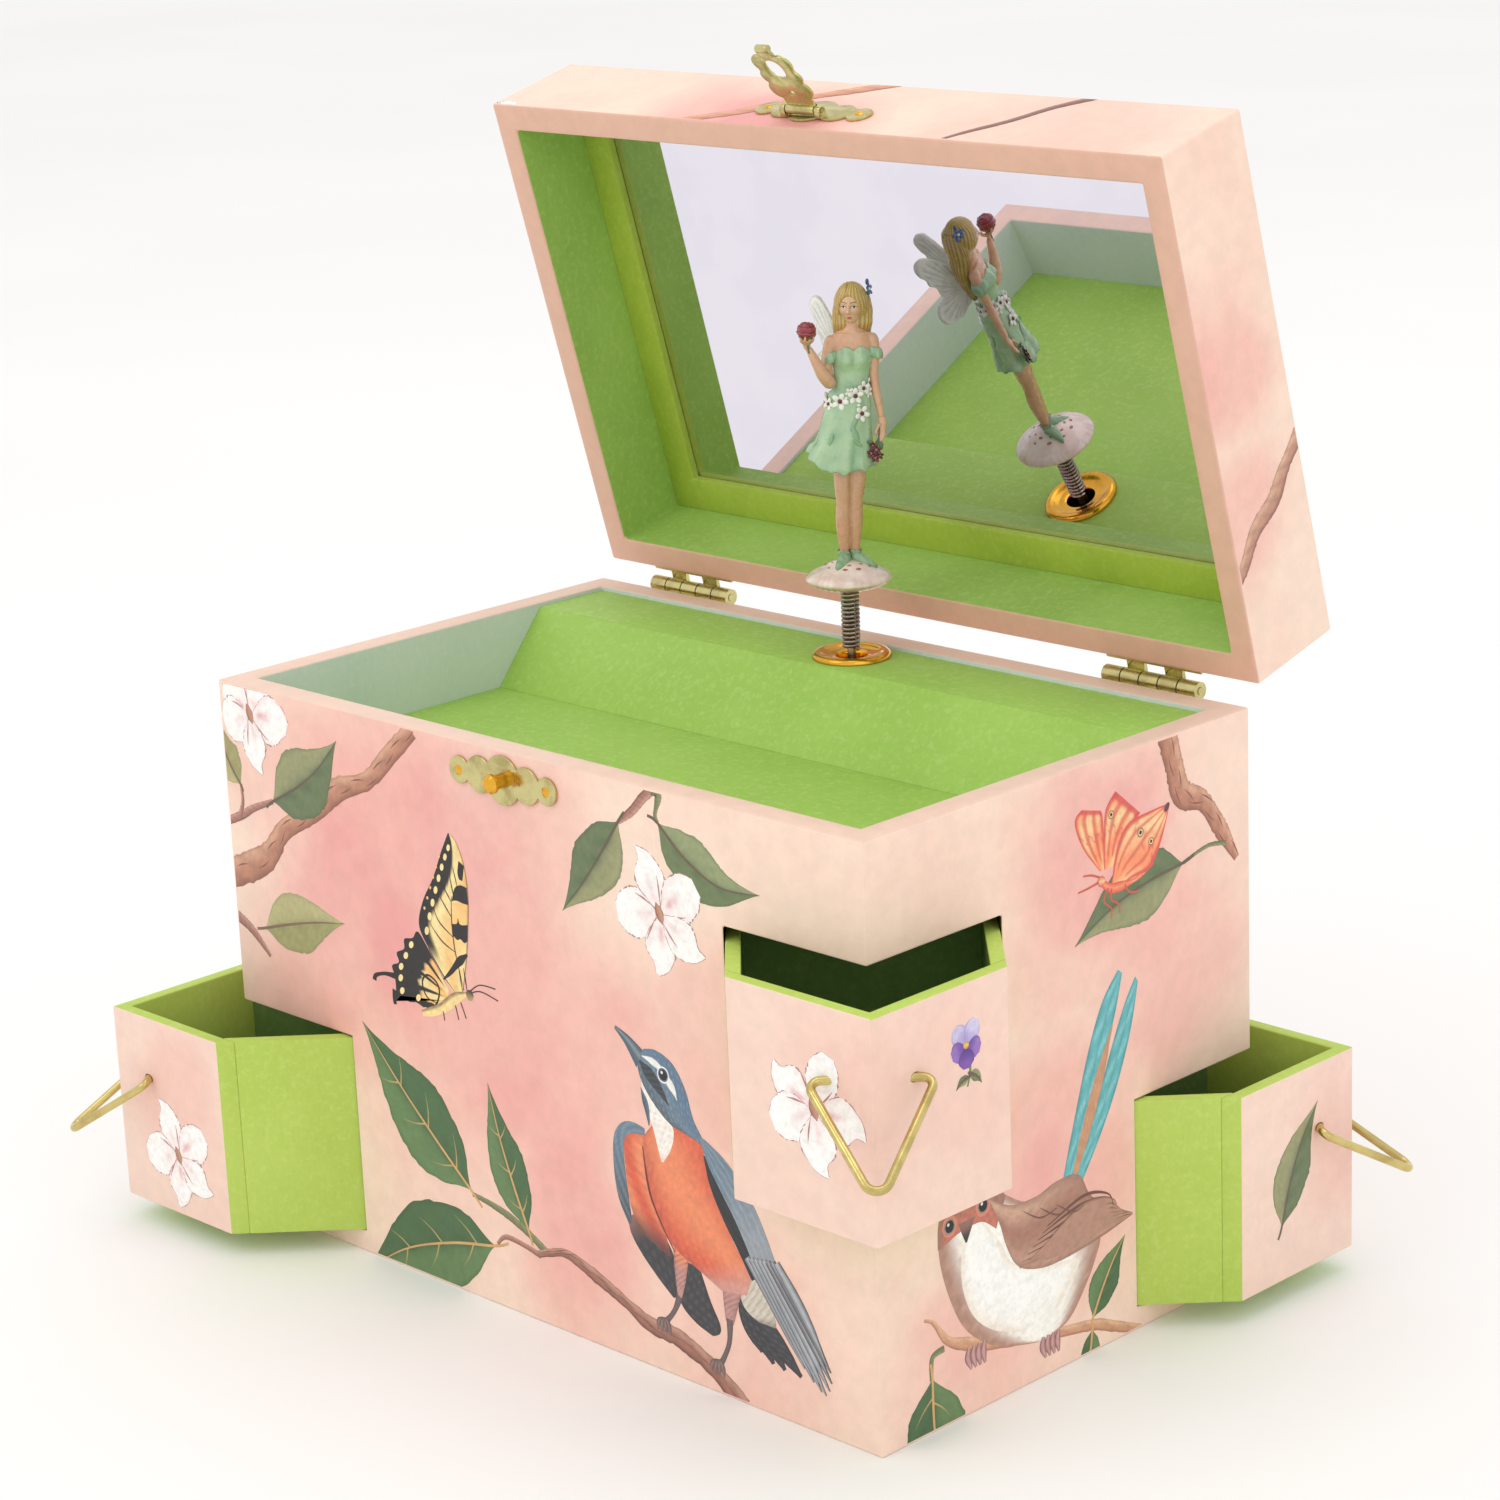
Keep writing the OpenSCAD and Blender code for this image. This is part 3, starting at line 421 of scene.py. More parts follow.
def carve(name, solid, cutters):
    """The solid less the cutters, as one clean bmesh."""
    base = object_of(name + "_base", solid, [])
    tools = [object_of(f"{name}_cut{i}", c, []) for i, c in enumerate(cutters)]
    for t in tools:
        mod = base.modifiers.new("cut", "BOOLEAN")
        mod.operation, mod.solver, mod.object = "DIFFERENCE", "EXACT", t
    dg = bpy.context.evaluated_depsgraph_get()
    bm = bmesh.new()
    bm.from_mesh(base.evaluated_get(dg).to_mesh())
    base.evaluated_get(dg).to_mesh_clear()
    for ob in (base, *tools):
        me = ob.data
        bpy.data.objects.remove(ob)
        bpy.data.meshes.remove(me)
    tidy_faces(bm)
    return bm


def turned_box(corner, lo, hi):
    """A box drawn in a corner's own axes, +X outward along its diagonal."""
    sx, sy = CORNERS[corner][:2]
    bm = box_mesh(lo, hi)
    place = Matrix.Translation((sx * CASE_L / 2 * MM, sy * CASE_W / 2 * MM, 0))
    m = place @ Matrix.Rotation(math.atan2(sy, sx), 4, "Z")
    bmesh.ops.transform(bm, matrix=m, verts=bm.verts)
    return bm


def bore_mesh(centre, radius, length):
    """A cylinder along Y."""
    bm = bmesh.new()
    bmesh.ops.create_cone(bm, cap_ends=True, segments=48, radius1=radius * MM, radius2=radius * MM,
                          depth=length * MM)
    turn = Matrix.Rotation(math.pi / 2, 4, "X")
    bmesh.ops.transform(bm, matrix=Matrix.Translation(Vector(centre) * MM) @ turn, verts=bm.verts)
    return bm


# Turns what is drawn with the lid shut to where the open lid holds it
LID_SWING = (Matrix.Translation((0, HINGE_Y * MM, HINGE_Z * MM))
             @ Matrix.Rotation(-math.radians(LID_OPEN), 4, "X")
             @ Matrix.Translation((0, -HINGE_Y * MM, -HINGE_Z * MM)))


def catmull(points, steps, closed=False):
    """A smooth curve through the points, steps pieces to each span."""
    p = [Vector(q) for q in points]
    n = len(p)
    out = []
    for i in range(n if closed else n - 1):
        if closed:
            a, b, c, d = p[(i - 1) % n], p[i], p[(i + 1) % n], p[(i + 2) % n]
        else:
            a, b, c, d = p[max(i - 1, 0)], p[i], p[i + 1], p[min(i + 2, n - 1)]
        for k in range(steps):
            t = k / steps
            out.append(0.5 * (2 * b + (c - a) * t + (2 * a - 5 * b + 4 * c - d) * t * t
                              + (3 * b - a - 3 * c + d) * t ** 3))
    if not closed:
        out.append(p[-1])
    return out


def tube_data(path, radii, sides=12, flat=1.0, up=None):
    """Points and faces of a closed tube round a path; flat squashes the section along its second axis."""
    path = [Vector(p) for p in path]
    n = len(path)
    radii = [radii] * n if isinstance(radii, (int, float)) else radii
    tangents = [(path[min(i + 1, n - 1)] - path[max(i - 1, 0)]).normalized() for i in range(n)]
    ref = Vector(up) if up else (Vector((0, 0, 1)) if abs(tangents[0].z) < 0.9 else Vector((1, 0, 0)))
    u = (ref - tangents[0] * ref.dot(tangents[0])).normalized()
    angles = [2 * math.pi * k / sides for k in range(sides)]
    rings = []
    for i in range(n):
        t = tangents[i]
        u = (u - t * u.dot(t)).normalized()
        w = t.cross(u)
        rings.append([path[i] + radii[i] * (math.cos(a) * u * flat + math.sin(a) * w) for a in angles])
    return loft_data(rings)


def ring_faces(rows, m):
    """The faces between rows of m points, where each row closes on itself."""
    return [(i * m + k, i * m + (k + 1) % m, (i + 1) * m + (k + 1) % m, (i + 1) * m + k)
            for i in range(rows - 1) for k in range(m)]


def loft_data(rings):
    """Points and faces of a closed skin over rings of equal length, capped at both ends."""
    n, m = len(rings), len(rings[0])
    verts = [v for r in rings for v in r]
    faces = ring_faces(n, m)
    faces.append(tuple(range(m - 1, -1, -1)))
    faces.append(tuple((n - 1) * m + k for k in range(m)))
    return verts, faces


def lathe_data(profile, n):
    """Points and faces of a turned ring; profile goes once round its section."""
    verts, faces = [], []
    count = len(profile)
    for r, z in profile:
        for k in range(n):
            a = 2 * math.pi * k / n
            verts.append(Vector((r * math.cos(a), r * math.sin(a), z)))
    for i in range(count):
        j = (i + 1) % count
        for k in range(n):
            q = (k + 1) % n
            faces.append((i * n + k, i * n + q, j * n + q, j * n + k))
    return verts, faces


def merge_close(ob, dist=2e-6):
    bm = bmesh.new()
    bm.from_mesh(ob.data)
    bmesh.ops.remove_doubles(bm, verts=bm.verts, dist=dist)
    bmesh.ops.dissolve_degenerate(bm, edges=bm.edges, dist=1e-7)
    bmesh.ops.recalc_face_normals(bm, faces=bm.faces)
    bm.to_mesh(ob.data)
    bm.free()


# ---------------------------------------------------------------- camera, light, floor

CAMERA_ANGLES = (45.607, 16.046, -2.424)  # degrees round the object, above it, and rolled
CAMERA_AT = (0.55443, -0.53359, 0.33112)
CAMERA_LENS = 92.22


def make_camera():
    a, e, r = (math.radians(angle) for angle in CAMERA_ANGLES)
    b = Vector((math.sin(a) * math.cos(e), -math.cos(a) * math.cos(e), math.sin(e)))
    x = Vector((0, 0, 1)).cross(b).normalized()
    y = b.cross(x)
    x2 = math.cos(r) * x + math.sin(r) * y
    y2 = -math.sin(r) * x + math.cos(r) * y
    cam = bpy.data.objects.new("Camera", bpy.data.cameras.new("Camera"))
    rows = [(x2[i], y2[i], b[i], CAMERA_AT[i]) for i in range(3)]
    cam.matrix_world = Matrix((*rows, (0, 0, 0, 1)))
    cam.data.sensor_width = 36.0
    cam.data.lens = CAMERA_LENS
    cam.data.clip_start, cam.data.clip_end = 0.01, 100.0
    bpy.context.scene.collection.objects.link(cam)
    bpy.context.scene.camera = cam


def area_light(name, place, target, size, power, colour=(1, 1, 1)):
    light = bpy.data.lights.new(name, "AREA")
    light.shape, light.size, light.energy, light.color = "DISK", size, power, colour
    ob = bpy.data.objects.new(name, light)
    ob.location = place
    ob.rotation_euler = (Vector(target) - Vector(place)).to_track_quat("-Z", "Y").to_euler()
    bpy.context.scene.collection.objects.link(ob)


def make_studio():
    sc = bpy.context.scene
    sc.view_settings.view_transform = "Standard"
    sc.view_settings.look = "None"
    world = bpy.data.worlds.new("Studio")
    world.use_nodes = True
    world.node_tree.nodes["Background"].inputs["Color"].default_value = (1.0, 0.99, 0.98, 1)
    world.node_tree.nodes["Background"].inputs["Strength"].default_value = 1.0
    sc.world = world
    area_light("Key", (-0.35, -1.15, 1.35), (0, 0, 0.1), 0.9, 2.4, (1.0, 0.97, 0.94))
    area_light("Fill", (1.5, -0.5, 0.9), (0, 0, 0.1), 1.2, 1.2, (1.0, 0.98, 0.97))
    area_light("Top", (0.1, 0.3, 1.7), (0, 0, 0.1), 1.2, 3.4)
    m, nt, bsdf = shader("studio_floor", 0.9)
    n = noise_tex(nt, 3.0, 2.0, 0.5)
    nt.links.new(blend_rgb(nt, remap(nt, n, 0.3, 0.7), (0.90, 0.90, 0.90), (0.92, 0.92, 0.915)),
                 bsdf.inputs["Base Color"])
    bm = bmesh.new()
    bmesh.ops.create_circle(bm, cap_ends=True, segments=96, radius=14.0)
    floor = object_of("studio_floor", bm, [m])


make_camera()
make_studio()


# ---------------------------------------------------------------- case and lid skins

def within_walls(c):
    """Whether a point lies nearer the room than the outside; the inner faces of the walls do."""
    return abs(c.x) < INNER_X + 1.0 and abs(c.y) < INNER_Y + 1.1


def make_case():
    cutters = [box_mesh((-INNER_X, -INNER_Y, -1), (INNER_X, INNER_Y, CASE_H + 17.5))]
    for c, (_, _, z, _, _) in CORNERS.items():
        lo, hi = OPENING_LOW if z < OPENING_HIGH[0] / 2 else OPENING_HIGH
        cutters.append(turned_box(c, (-70, -HALF_OPEN, lo), (10, HALF_OPEN, hi)))
    cutters.append(bore_mesh((0, 54, 70.55), 4.0, 12))  # the winding key's hole in the back
    bm = carve("case", box_mesh((-CASE_L / 2, -CASE_W / 2, 0), (CASE_L / 2, CASE_W / 2, CASE_H)), cutters)
    bevel_edges(bm, 0.45, 3, 1.2)
    split_ngons(bm)
    for f in bm.faces:
        c, n = f.calc_center_median() / MM, f.normal
        if c.z > CASE_H - 0.6 and n.z > 0.3:
            f.material_index = 1
        elif within_walls(c) and abs(n.z) < 0.8 and c.z > 60:
            f.material_index = 2
        elif abs(c.x) > CASE_L / 2 - 0.7 or abs(c.y) > CASE_W / 2 - 0.7:
            f.material_index = 0
        else:
            f.material_index = 3
    ob = object_of("case_paper", bm, [CASE_PRINT, RIM_PAPER, LINING_TEAL, BOARD])
    shade_by_angle(ob)
    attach(ob, "case")
    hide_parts("front_panel", "back_panel", "left_panel", "right_panel")
    return ob


def make_lid():
    z0, z1 = RIM_Z, RIM_Z + LID_H
    room = box_mesh((-INNER_X, -INNER_Y, z0 - 1), (INNER_X, INNER_Y, z1 - 3))
    bm = carve("lid", box_mesh((-CASE_L / 2, -CASE_W / 2, z0), (CASE_L / 2, CASE_W / 2, z1)), [room])
    bevel_edges(bm, 0.6, 3, 1.2)
    split_ngons(bm)
    for f in bm.faces:
        c, n = f.calc_center_median() / MM, f.normal
        if c.z < z0 + 0.7 and n.z < -0.3:
            f.material_index = 1
        elif within_walls(c) and c.z < z1 - 2:
            f.material_index = 2
        else:
            f.material_index = 0
    bmesh.ops.transform(bm, matrix=LID_SWING, verts=bm.verts)
    ob = object_of("lid_paper", bm, [LID_PRINT, LID_RIM, LINING_LID])
    shade_by_angle(ob)
    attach(ob, "lid")
    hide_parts("lid_top", "lid_front_rail", "lid_back_rail", "lid_left_rail", "lid_right_rail")
    return ob


LID_PRINT = printed_paper(
    "lid_print", PEACH, PINK, ROSE,
    [(-28, 32, 232, 30, 0.9), (-4, 32, 232, 32, 1.0), (62, 32, 232, 44, 0.4), (95, 45, 195, 26, 0.9),
     (95, 52, 160, 22, 0.7),
     (-50, 60, 190, 46, 0.9), (30, 66, 170, 50, 0.8), (60, 60, 214, 30, 0.5), (-95, 52, 170, 34, 0.8)],
    [(-14, 32, 232, 26, 0.8), (-46, 60, 186, 26, 0.5), (36, 66, 166, 24, 0.4)])


def paint_by(ob, rule):
    """Gives each face of a softened part the material index that the rule picks."""
    me = ob.data
    for p in me.polygons:
        p.material_index = rule(Vector(p.center) / MM, Vector(p.normal))


def make_boards():
    soften("tray_floor", LINING_LIME, 0.2, name="tray_floor_paper")
    soften("ramp_board", LINING_LIME, 0.2, name="ramp_paper")
    soften("shelf_board", LINING_LIME, 0.2, name="shelf_paper")
    soften("base_board", BOARD, 0.3, name="base_board_edged")
    soften("mid_board", BOARD, 0.2, name="mid_board_edged")
    soften("mirror_frame", FRAME_PAPER, 0.35, name="mirror_frame_paper")
    for c in CORNERS:
        soften("cell_" + c, CARD_LIME_SHADED, 0.2, name="card_cell_" + c)


def make_drawers():
    for c, (sx, sy, _, out, _) in CORNERS.items():
        d = Vector((sx, sy, 0)).normalized()
        tip = Vector((sx * CASE_L / 2, sy * CASE_W / 2, 0)) + d * out
        face = soften("face_" + c, [DRAWER_PRINT, DRAWER_LIME], 0.35, 3, name="drawer_front_" + c)

        def rule(p, n):
            outside = ((abs(p.x - tip.x) < 0.12 and n.x * sx > 0.6)
                       or (abs(p.y - tip.y) < 0.12 and n.y * sy > 0.6))
            near = min(abs(p.x - tip.x), abs(p.y - tip.y)) < 0.3 and abs(n.z) < 0.5 and n.dot(d) > 0.2
            return 0 if outside or near else 1
        paint_by(face, rule)
        tray = soften("tray_" + c, [DRAWER_LIME, DRAWER_SHADED_INSIDE], 0.3, 2, name="drawer_body_" + c)
        mid = sum((Vector(v.co) for v in tray.data.vertices), Vector()) / len(tray.data.vertices) / MM
        top = max(v.co.z for v in tray.data.vertices) / MM

        # the inner faces below the top take the darker lime: painted shade inside the tray
        def inner(p, n):
            return 1 if p.z < top - 0.5 and (n.z > 0.5 or (abs(n.z) < 0.5 and (p - mid).dot(n) < 0)) else 0
        paint_by(tray, inner)


DRAWER_PRINT = printed_paper("drawer_print", lin(244, 214, 197), lin(240, 190, 176), PINK,
                             [(-95, -76, 30, 26, 0.7), (109, -70, 76, 22, 0.45), (110, -44, 80, 20, 0.4),
                              (110, 70, 30, 22, 0.6), (-95, 50, 74, 22, 0.7)], [])


def corner_matrix(c):
    sx, sy, z, out, _ = CORNERS[c]
    return (Matrix.Translation(Vector((sx * CASE_L / 2, sy * CASE_W / 2, 0)))
            @ Matrix.Rotation(math.atan2(sy, sx), 4, "Z") @ Matrix.Translation(Vector((out, 0, z))))


def make_handles():
    """Triangular bails, drawn from the swing axis: a foot, a bend, a straight side and the rounded tip."""
    bend_r, bend_y = 1.8, 9.2
    tip_r, tip_x = 2.4, 21.0
    run = tip_x - bend_r
    lean = math.atan2(bend_y, run) + math.asin((bend_r - tip_r) / math.hypot(run, bend_y))
    end = math.pi / 2 - lean
    for c in CORNERS:
        drop = CORNERS[c][4]
        half = [Vector((0, 3.4, 0)), Vector((0, 5.5, 0)), Vector((0, 8, 0))]
        for i in range(11):
            a = math.pi + (end - math.pi) * i / 10
            half.append(Vector((bend_r + bend_r * math.cos(a), bend_y + bend_r * math.sin(a), 0)))
        tip = [Vector((tip_x + tip_r * math.cos(a), tip_r * math.sin(a), 0))
               for a in [end * (1 - i / 8) for i in range(9)]]
        a0, a1 = half[-1], tip[0]
        half += [a0.lerp(a1, k / 6) for k in range(1, 6)] + tip
        path = half + [Vector((p.x, -p.y, 0)) for p in reversed(half[:-1])]
        axis = corner_matrix(c) @ Matrix.Translation((-HANDLE_IN, 0, HANDLE_UP))
        m = axis @ Matrix.Rotation(math.radians(drop), 4, "Y")
        verts, faces = tube_data([m @ p for p in path], WIRE_R, 20)
        ob = add_object("bail_wire_" + c, verts, faces, WIRE_BRASS)
        shade_by_angle(ob, 50)
        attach(ob, "bail_" + c)
        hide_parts("handle_" + c)


make_case()
make_lid()
make_boards()
make_drawers()
make_handles()

# ---------------------------------------------------------------- hardware

for n in ("case_leaf_left", "case_leaf_right", "lid_leaf_left", "lid_leaf_right"):
    soften(n, PLATED, 0.18, 2, 0.9, name=n + "_worn")
for n, m, w in (("catch_plate", PLATED, 0.22), ("hasp_plate", PLATED, 0.22), ("hasp_leaf", PLATED, 0.2)):
    soften(n, m, w, 2, 0.02, 50.0, name=n + "_worn")
for n, m in (("hinge_pins", PLATED), ("hasp_pin", PLATED), ("catch_knob", GOLD), ("case_nails", GOLD),
             ("lid_nails", GOLD), ("ferrule", GOLD), ("spindle", STEEL),
             ("bedplate", MOVEMENT), ("comb", STEEL),
             ("comb_screws", STEEL), ("pin_cylinder", MOVEMENT), ("spring_barrel", MOVEMENT),
             ("great_wheel", MOVEMENT), ("winding_key", PLATED), ("governor_bracket", STEEL),
             ("governor_wheel", MOVEMENT), ("governor_fan", MOVEMENT), ("mirror", MIRROR),
             ("spring", SPRING_STEEL), ("toadstool", GLAZE), ("figurine", GLAZE), ("wings", GLAZE)):
    me = NODES[n].data
    me.materials.clear()
    me.materials.append(m)


# ---------------------------------------------------------------- printed pictures

def wobble(x, y, scale, seed=0.0):
    return noise.noise(Vector((x * scale, y * scale, seed)))


def spread(points, n):
    """The smooth curve through the points as n + 1 evenly spaced points."""
    p = catmull([(q[0], q[1], 0) for q in points], SPAN)
    reach = [0.0]
    for a, b in zip(p, p[1:]):
        reach.append(reach[-1] + (b - a).length)
    out, j = [], 0
    for i in range(n + 1):
        d = reach[-1] * i / n
        while j < len(p) - 2 and reach[j + 1] < d:
            j += 1
        span = reach[j + 1] - reach[j]
        out.append(p[j].lerp(p[j + 1], min(1.0, (d - reach[j]) / span) if span > 0 else 0.0))
    return out


INK_H, INK_STEP = 0.03, 0.004  # how far ink reaches over and under its face, and what each layer adds
NO_LIMIT = 1e3
SPAN = 12  # points to each span of a drawn curve


class Picture:
    """Painted shapes on one flat face. Each is a thin closed solid that lies on the ones it overlaps."""

    def __init__(self, name, origin, right, up, low=(-NO_LIMIT, -NO_LIMIT), high=(NO_LIMIT, NO_LIMIT)):
        self.name, self.o = name, Vector(origin)
        self.u, self.v = Vector(right).normalized(), Vector(up).normalized()
        self.n = self.u.cross(self.v)
        self.low, self.high = low, high
        self.verts, self.faces, self.cols, self.boxes = [], [], [], []
        self.count = 0

    def add_grid(self, grid, colour):
        """grid is rows of points along s, each with points across from t = -1 to t = 1."""
        n, m = len(grid) - 1, len(grid[0]) - 1
        flat = [p for row in grid for p in row]
        box = (min(p.x for p in flat), min(p.y for p in flat), max(p.x for p in flat), max(p.y for p in flat))
        covered = [b[4] for b in self.boxes
                   if b[0] < box[2] and box[0] < b[2] and b[1] < box[3] and box[1] < b[3]]
        layer = 1 + max(covered, default=0)
        self.boxes.append(box + (layer,))
        self.count += 1
        h, seed, base = INK_H + INK_STEP * layer, self.count * 1.7, len(self.verts)
        for z in (h, -INK_H):
            for i in range(n + 1):
                for k in range(m + 1):
                    p, c = grid[i][k], colour(i / n, -1 + 2 * k / m)
                    g = 1 + 0.10 * wobble(p.x, p.y, 0.9, seed) + 0.06 * wobble(p.x, p.y, 2.6, seed)
                    self.cols.append(tuple(min(1, q * g) for q in c))
                    self.verts.append(self.o + self.u * p.x + self.v * p.y + self.n * z)
        row, under, f = m + 1, (n + 1) * (m + 1), []
        for i in range(n):
            for k in range(m):
                a = i * row + k
                f.append((a, a + row, a + row + 1, a + 1))
                f.append((under + a, under + a + 1, under + a + row + 1, under + a + row))
            edges = ((i + 1) * row, i * row), (i * row + m, (i + 1) * row + m)
            f += [(b, a, under + a, under + b) for a, b in edges]
        for k in range(m):
            f += [(b, a, under + a, under + b) for a, b in ((k, k + 1), (n * row + k + 1, n * row + k))]
        self.faces += [tuple(base + i for i in q) for q in f]

    def stroke(self, points, widths, colour, n=20, m=6, ragged=0.0):
        """A shape along a smooth line. widths are half-widths, or (left, right) pairs, from end to end.
        colour takes s from 0 to 1 along and t from -1 to 1 across."""
        pts = spread(points, n)
        w = [(q, q, 0) if isinstance(q, (int, float)) else (q[0], q[1], 0) for q in widths]
        wide = catmull(w, SPAN) if len(w) > 1 else [Vector(w[0])] * 2
        grid = []
        for i, p in enumerate(pts):
            d = (pts[min(i + 1, n)] - pts[max(i - 1, 0)]).normalized()
            side = Vector((-d.y, d.x, 0))
            q = wide[min(int(round(i / n * (len(wide) - 1))), len(wide) - 1)]
            left, right = max(q.x, 0.03), max(q.y, 0.03)
            if ragged:
                left *= 1 + ragged * noise.noise(Vector((i * 0.9, self.count * 1.7, 0)))
                right *= 1 + ragged * noise.noise(Vector((i * 0.9, self.count * 1.7 + 9, 0)))
            grid.append([p + side * t * (left if t > 0 else right)
                         for t in [-1 + 2 * k / m for k in range(m + 1)]])
        self.add_grid(grid, colour)

    def patch(self, left, right, colour, n=24, m=8):
        """A shape between two smooth edges that run the same way; t is 1 on the left one, -1 on the right."""
        a, b = spread(right, n), spread(left, n)
        self.add_grid([[p.lerp(q, k / m) for k in range(m + 1)] for p, q in zip(a, b)], colour)

    def finish(self, body, matrix=None):
        """Clips the picture to its face, and hangs it on the body."""
        ob = add_object(self.name, self.verts, self.faces, ART, False, self.cols)
        bm = bmesh.new()
        bm.from_mesh(ob.data)
        for axis, lo, hi in ((self.u, self.low[0], self.high[0]), (self.v, self.low[1], self.high[1])):
            for limit, sign in ((lo, -1), (hi, 1)):
                if abs(limit) >= NO_LIMIT:
                    continue
                geom = bm.verts[:] + bm.edges[:] + bm.faces[:]
                bmesh.ops.bisect_plane(bm, geom=geom, dist=1e-8, plane_co=(self.o + axis * limit) * MM,
                                       plane_no=axis * sign, clear_outer=True)
                open_edges = [e for e in bm.edges if e.is_boundary]
                if open_edges:
                    bmesh.ops.holes_fill(bm, edges=open_edges, sides=0)
        bmesh.ops.recalc_face_normals(bm, faces=bm.faces)
        if matrix is not None:
            bmesh.ops.transform(bm, matrix=matrix, verts=bm.verts)
        bm.to_mesh(ob.data)
        bm.free()
        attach(ob, body)
        return ob


def darker(c, k):
    return tuple(x * k for x in c)


LEAF = [(lin(92, 112, 72), lin(150, 160, 116), lin(112, 92, 74)),
        (lin(62, 96, 62), lin(104, 134, 86), lin(216, 172, 112)),
        (lin(150, 146, 92), lin(186, 180, 128), lin(132, 104, 82)),
        (lin(80, 104, 70), lin(156, 156, 112), lin(104, 92, 72))]


def leaf(pic, base, tip, width, bend=0.12, kind=0, veins=None):
    """One half dark and one half light; the big green kind also has pale side veins."""
    dark, light, vein = LEAF[kind]
    b, t = Vector((*base, 0)), Vector((*tip, 0))
    d = t - b
    side = Vector((-d.y, d.x, 0))
    mid = [b, b + d * 0.3 + side * bend * 0.8, b + d * 0.65 + side * bend, t]
    veins = (3 if kind == 1 else 0) if veins is None else veins

    def tone(s, q):
        c = mix(dark, light, 0.75 + 0.25 * q if q > 0.02 else 0.10 - 0.15 * q)
        c = mix(c, darker(dark, 0.8), 0.35 * smooth(0.35, 0.02, abs(q)) + 0.45 * smooth(0.86, 1.0, abs(q)))
        return mix(c, light, 0.25 * math.sin(s * 15 + q * 3) ** 2 * (1 - abs(q)))
    pic.stroke(mid, [0.05, width * 0.70, (width * 1.04, width * 0.94), (width * 0.96, width),
                     width * 0.66, width * 0.28, 0.04],
               tone, 36, 12, 0.07)
    curve = spread(mid, 40)
    for i in range(veins):
        s = 0.14 + 0.50 * i / max(1, veins - 1)
        k = int(s * 40)
        p, ahead = curve[k], (curve[k + 1] - curve[k]).normalized()
        across = Vector((-ahead.y, ahead.x, 0))
        for q in (-1, 1):
            reach = width * (0.62 if s < 0.5 else 0.5) * (0.9 if q > 0 else 1.0)
            r = p + ahead * reach * 0.22 * (q > 0)
            pic.stroke([r, r + across * q * reach * 0.55 + ahead * reach * 0.42,
                        r + across * q * reach + ahead * reach * 0.95],
                       [0.20, 0.15, 0.05], lambda s_, t_: mix(vein, light, 0.25 + 0.5 * s_), 8, 2)
    pic.stroke([b - d * 0.10] + [Vector(p) for p in mid], [0.30, 0.32, 0.26, 0.18, 0.05],
               lambda s, t: mix(vein, darker(vein, 0.7), abs(t) * 0.6), 24, 2)


PETAL = lin(253, 250, 246)
BLUSH = lin(243, 206, 204)
OUTLINE = lin(176, 134, 132)
BLOOM_A = [(-6, 12.5, 3.8, 1), (10.5, 7.3, 4.6, 0), (-12, -2, 4.9, 0), (-1.2, -12.6, 4.0, 0.7),
           (12.2, -6.4, 3.9, 1)]
BLOOM_B = [(6, 6.8, 4.6, 0), (-7.5, 6.2, 4.6, 0.4), (-9, -3.5, 4.9, 0),
           (12.5, -1.5, 5.2, 0.3), (3, -13, 3.6, 1)]
BLOOM_C = [(4.1, 11.2, 3.8, 0), (-9.9, 7.4, 4.0, 1), (-10.8, -5.0, 4.5, 0), (12.9, -3.2, 4.4, 1),
           (3.2, -12.6, 4.3, 1)]
CORE = lin(164, 112, 92)


def flower(pic, centre, petals=BLOOM_A, size=1.0):
    """White petals with fine outlines and a blush at the heart. A petal is its tip, half-width and
    pointedness."""
    c = Vector((*centre, 0))
    for i, (x, y, w, point) in enumerate(petals):
        tip = Vector((x, y, 0)) * size
        d = tip.normalized()
        side = Vector((-d.y, d.x, 0))
        lean = w * size * 0.30 * (1 if i % 2 else -1) * point
        start = c + d * 1.1 * size
        mid = [start, c + tip * 0.45 + side * lean * 0.6, c + tip * 0.8 + side * lean, c + tip]
        w *= size
        ends = [w * 0.16, w * 0.62, w * 0.95, w * 1.05, w * (0.98 - 0.16 * point), w * (0.82 - 0.42 * point),
                w * (0.42 - 0.38 * point)]
        pic.stroke(mid, [q + 0.13 for q in ends], lambda s, t: OUTLINE, 26, 4, 0.10)

        def tone(s, t):
            base = mix(PETAL, BLUSH, 0.35 * smooth(0.55, 0.0, s) + 0.30 * smooth(0.6, 1.0, abs(t)) * (i % 2))
            return mix(base, lin(226, 150, 156), 0.75 * smooth(0.62, 0.2, s)
                       * smooth(0.34, 0.0, abs(t - 0.1)) * smooth(0.06, 0.2, s) * (0.4 + 0.6 * (i % 2)))
        pic.stroke(mid, ends, tone, 26, 12, 0.10)
        pic.stroke([c + d * 1.6 * size - side * w * 0.3, c + tip * 0.34 - side * w * 0.62,
                    c + tip * 0.5 - side * w * 0.80],
                   [0.05, 0.22, 0.05], lambda s, t: lin(188, 128, 126), 8, 2)
    d = Vector((-0.42, 1, 0)).normalized() * 2.3 * size
    pic.stroke([c - d, c, c + d], [0.1, 0.85 * size, 1.0 * size, 0.8 * size, 0.1],
               lambda s, t: mix(mix(CORE, lin(212, 160, 132), 0.5 - 0.5 * t), darker(CORE, 0.6),
                                0.7 * smooth(0.6, 1.0, abs(t)) + 0.3 * smooth(0.7, 1, s)), 12, 6)


BARK = (lin(190, 132, 106), lin(222, 172, 142), lin(142, 90, 72))
PALE_BARK = (lin(222, 150, 118), lin(236, 180, 146), lin(150, 88, 76))


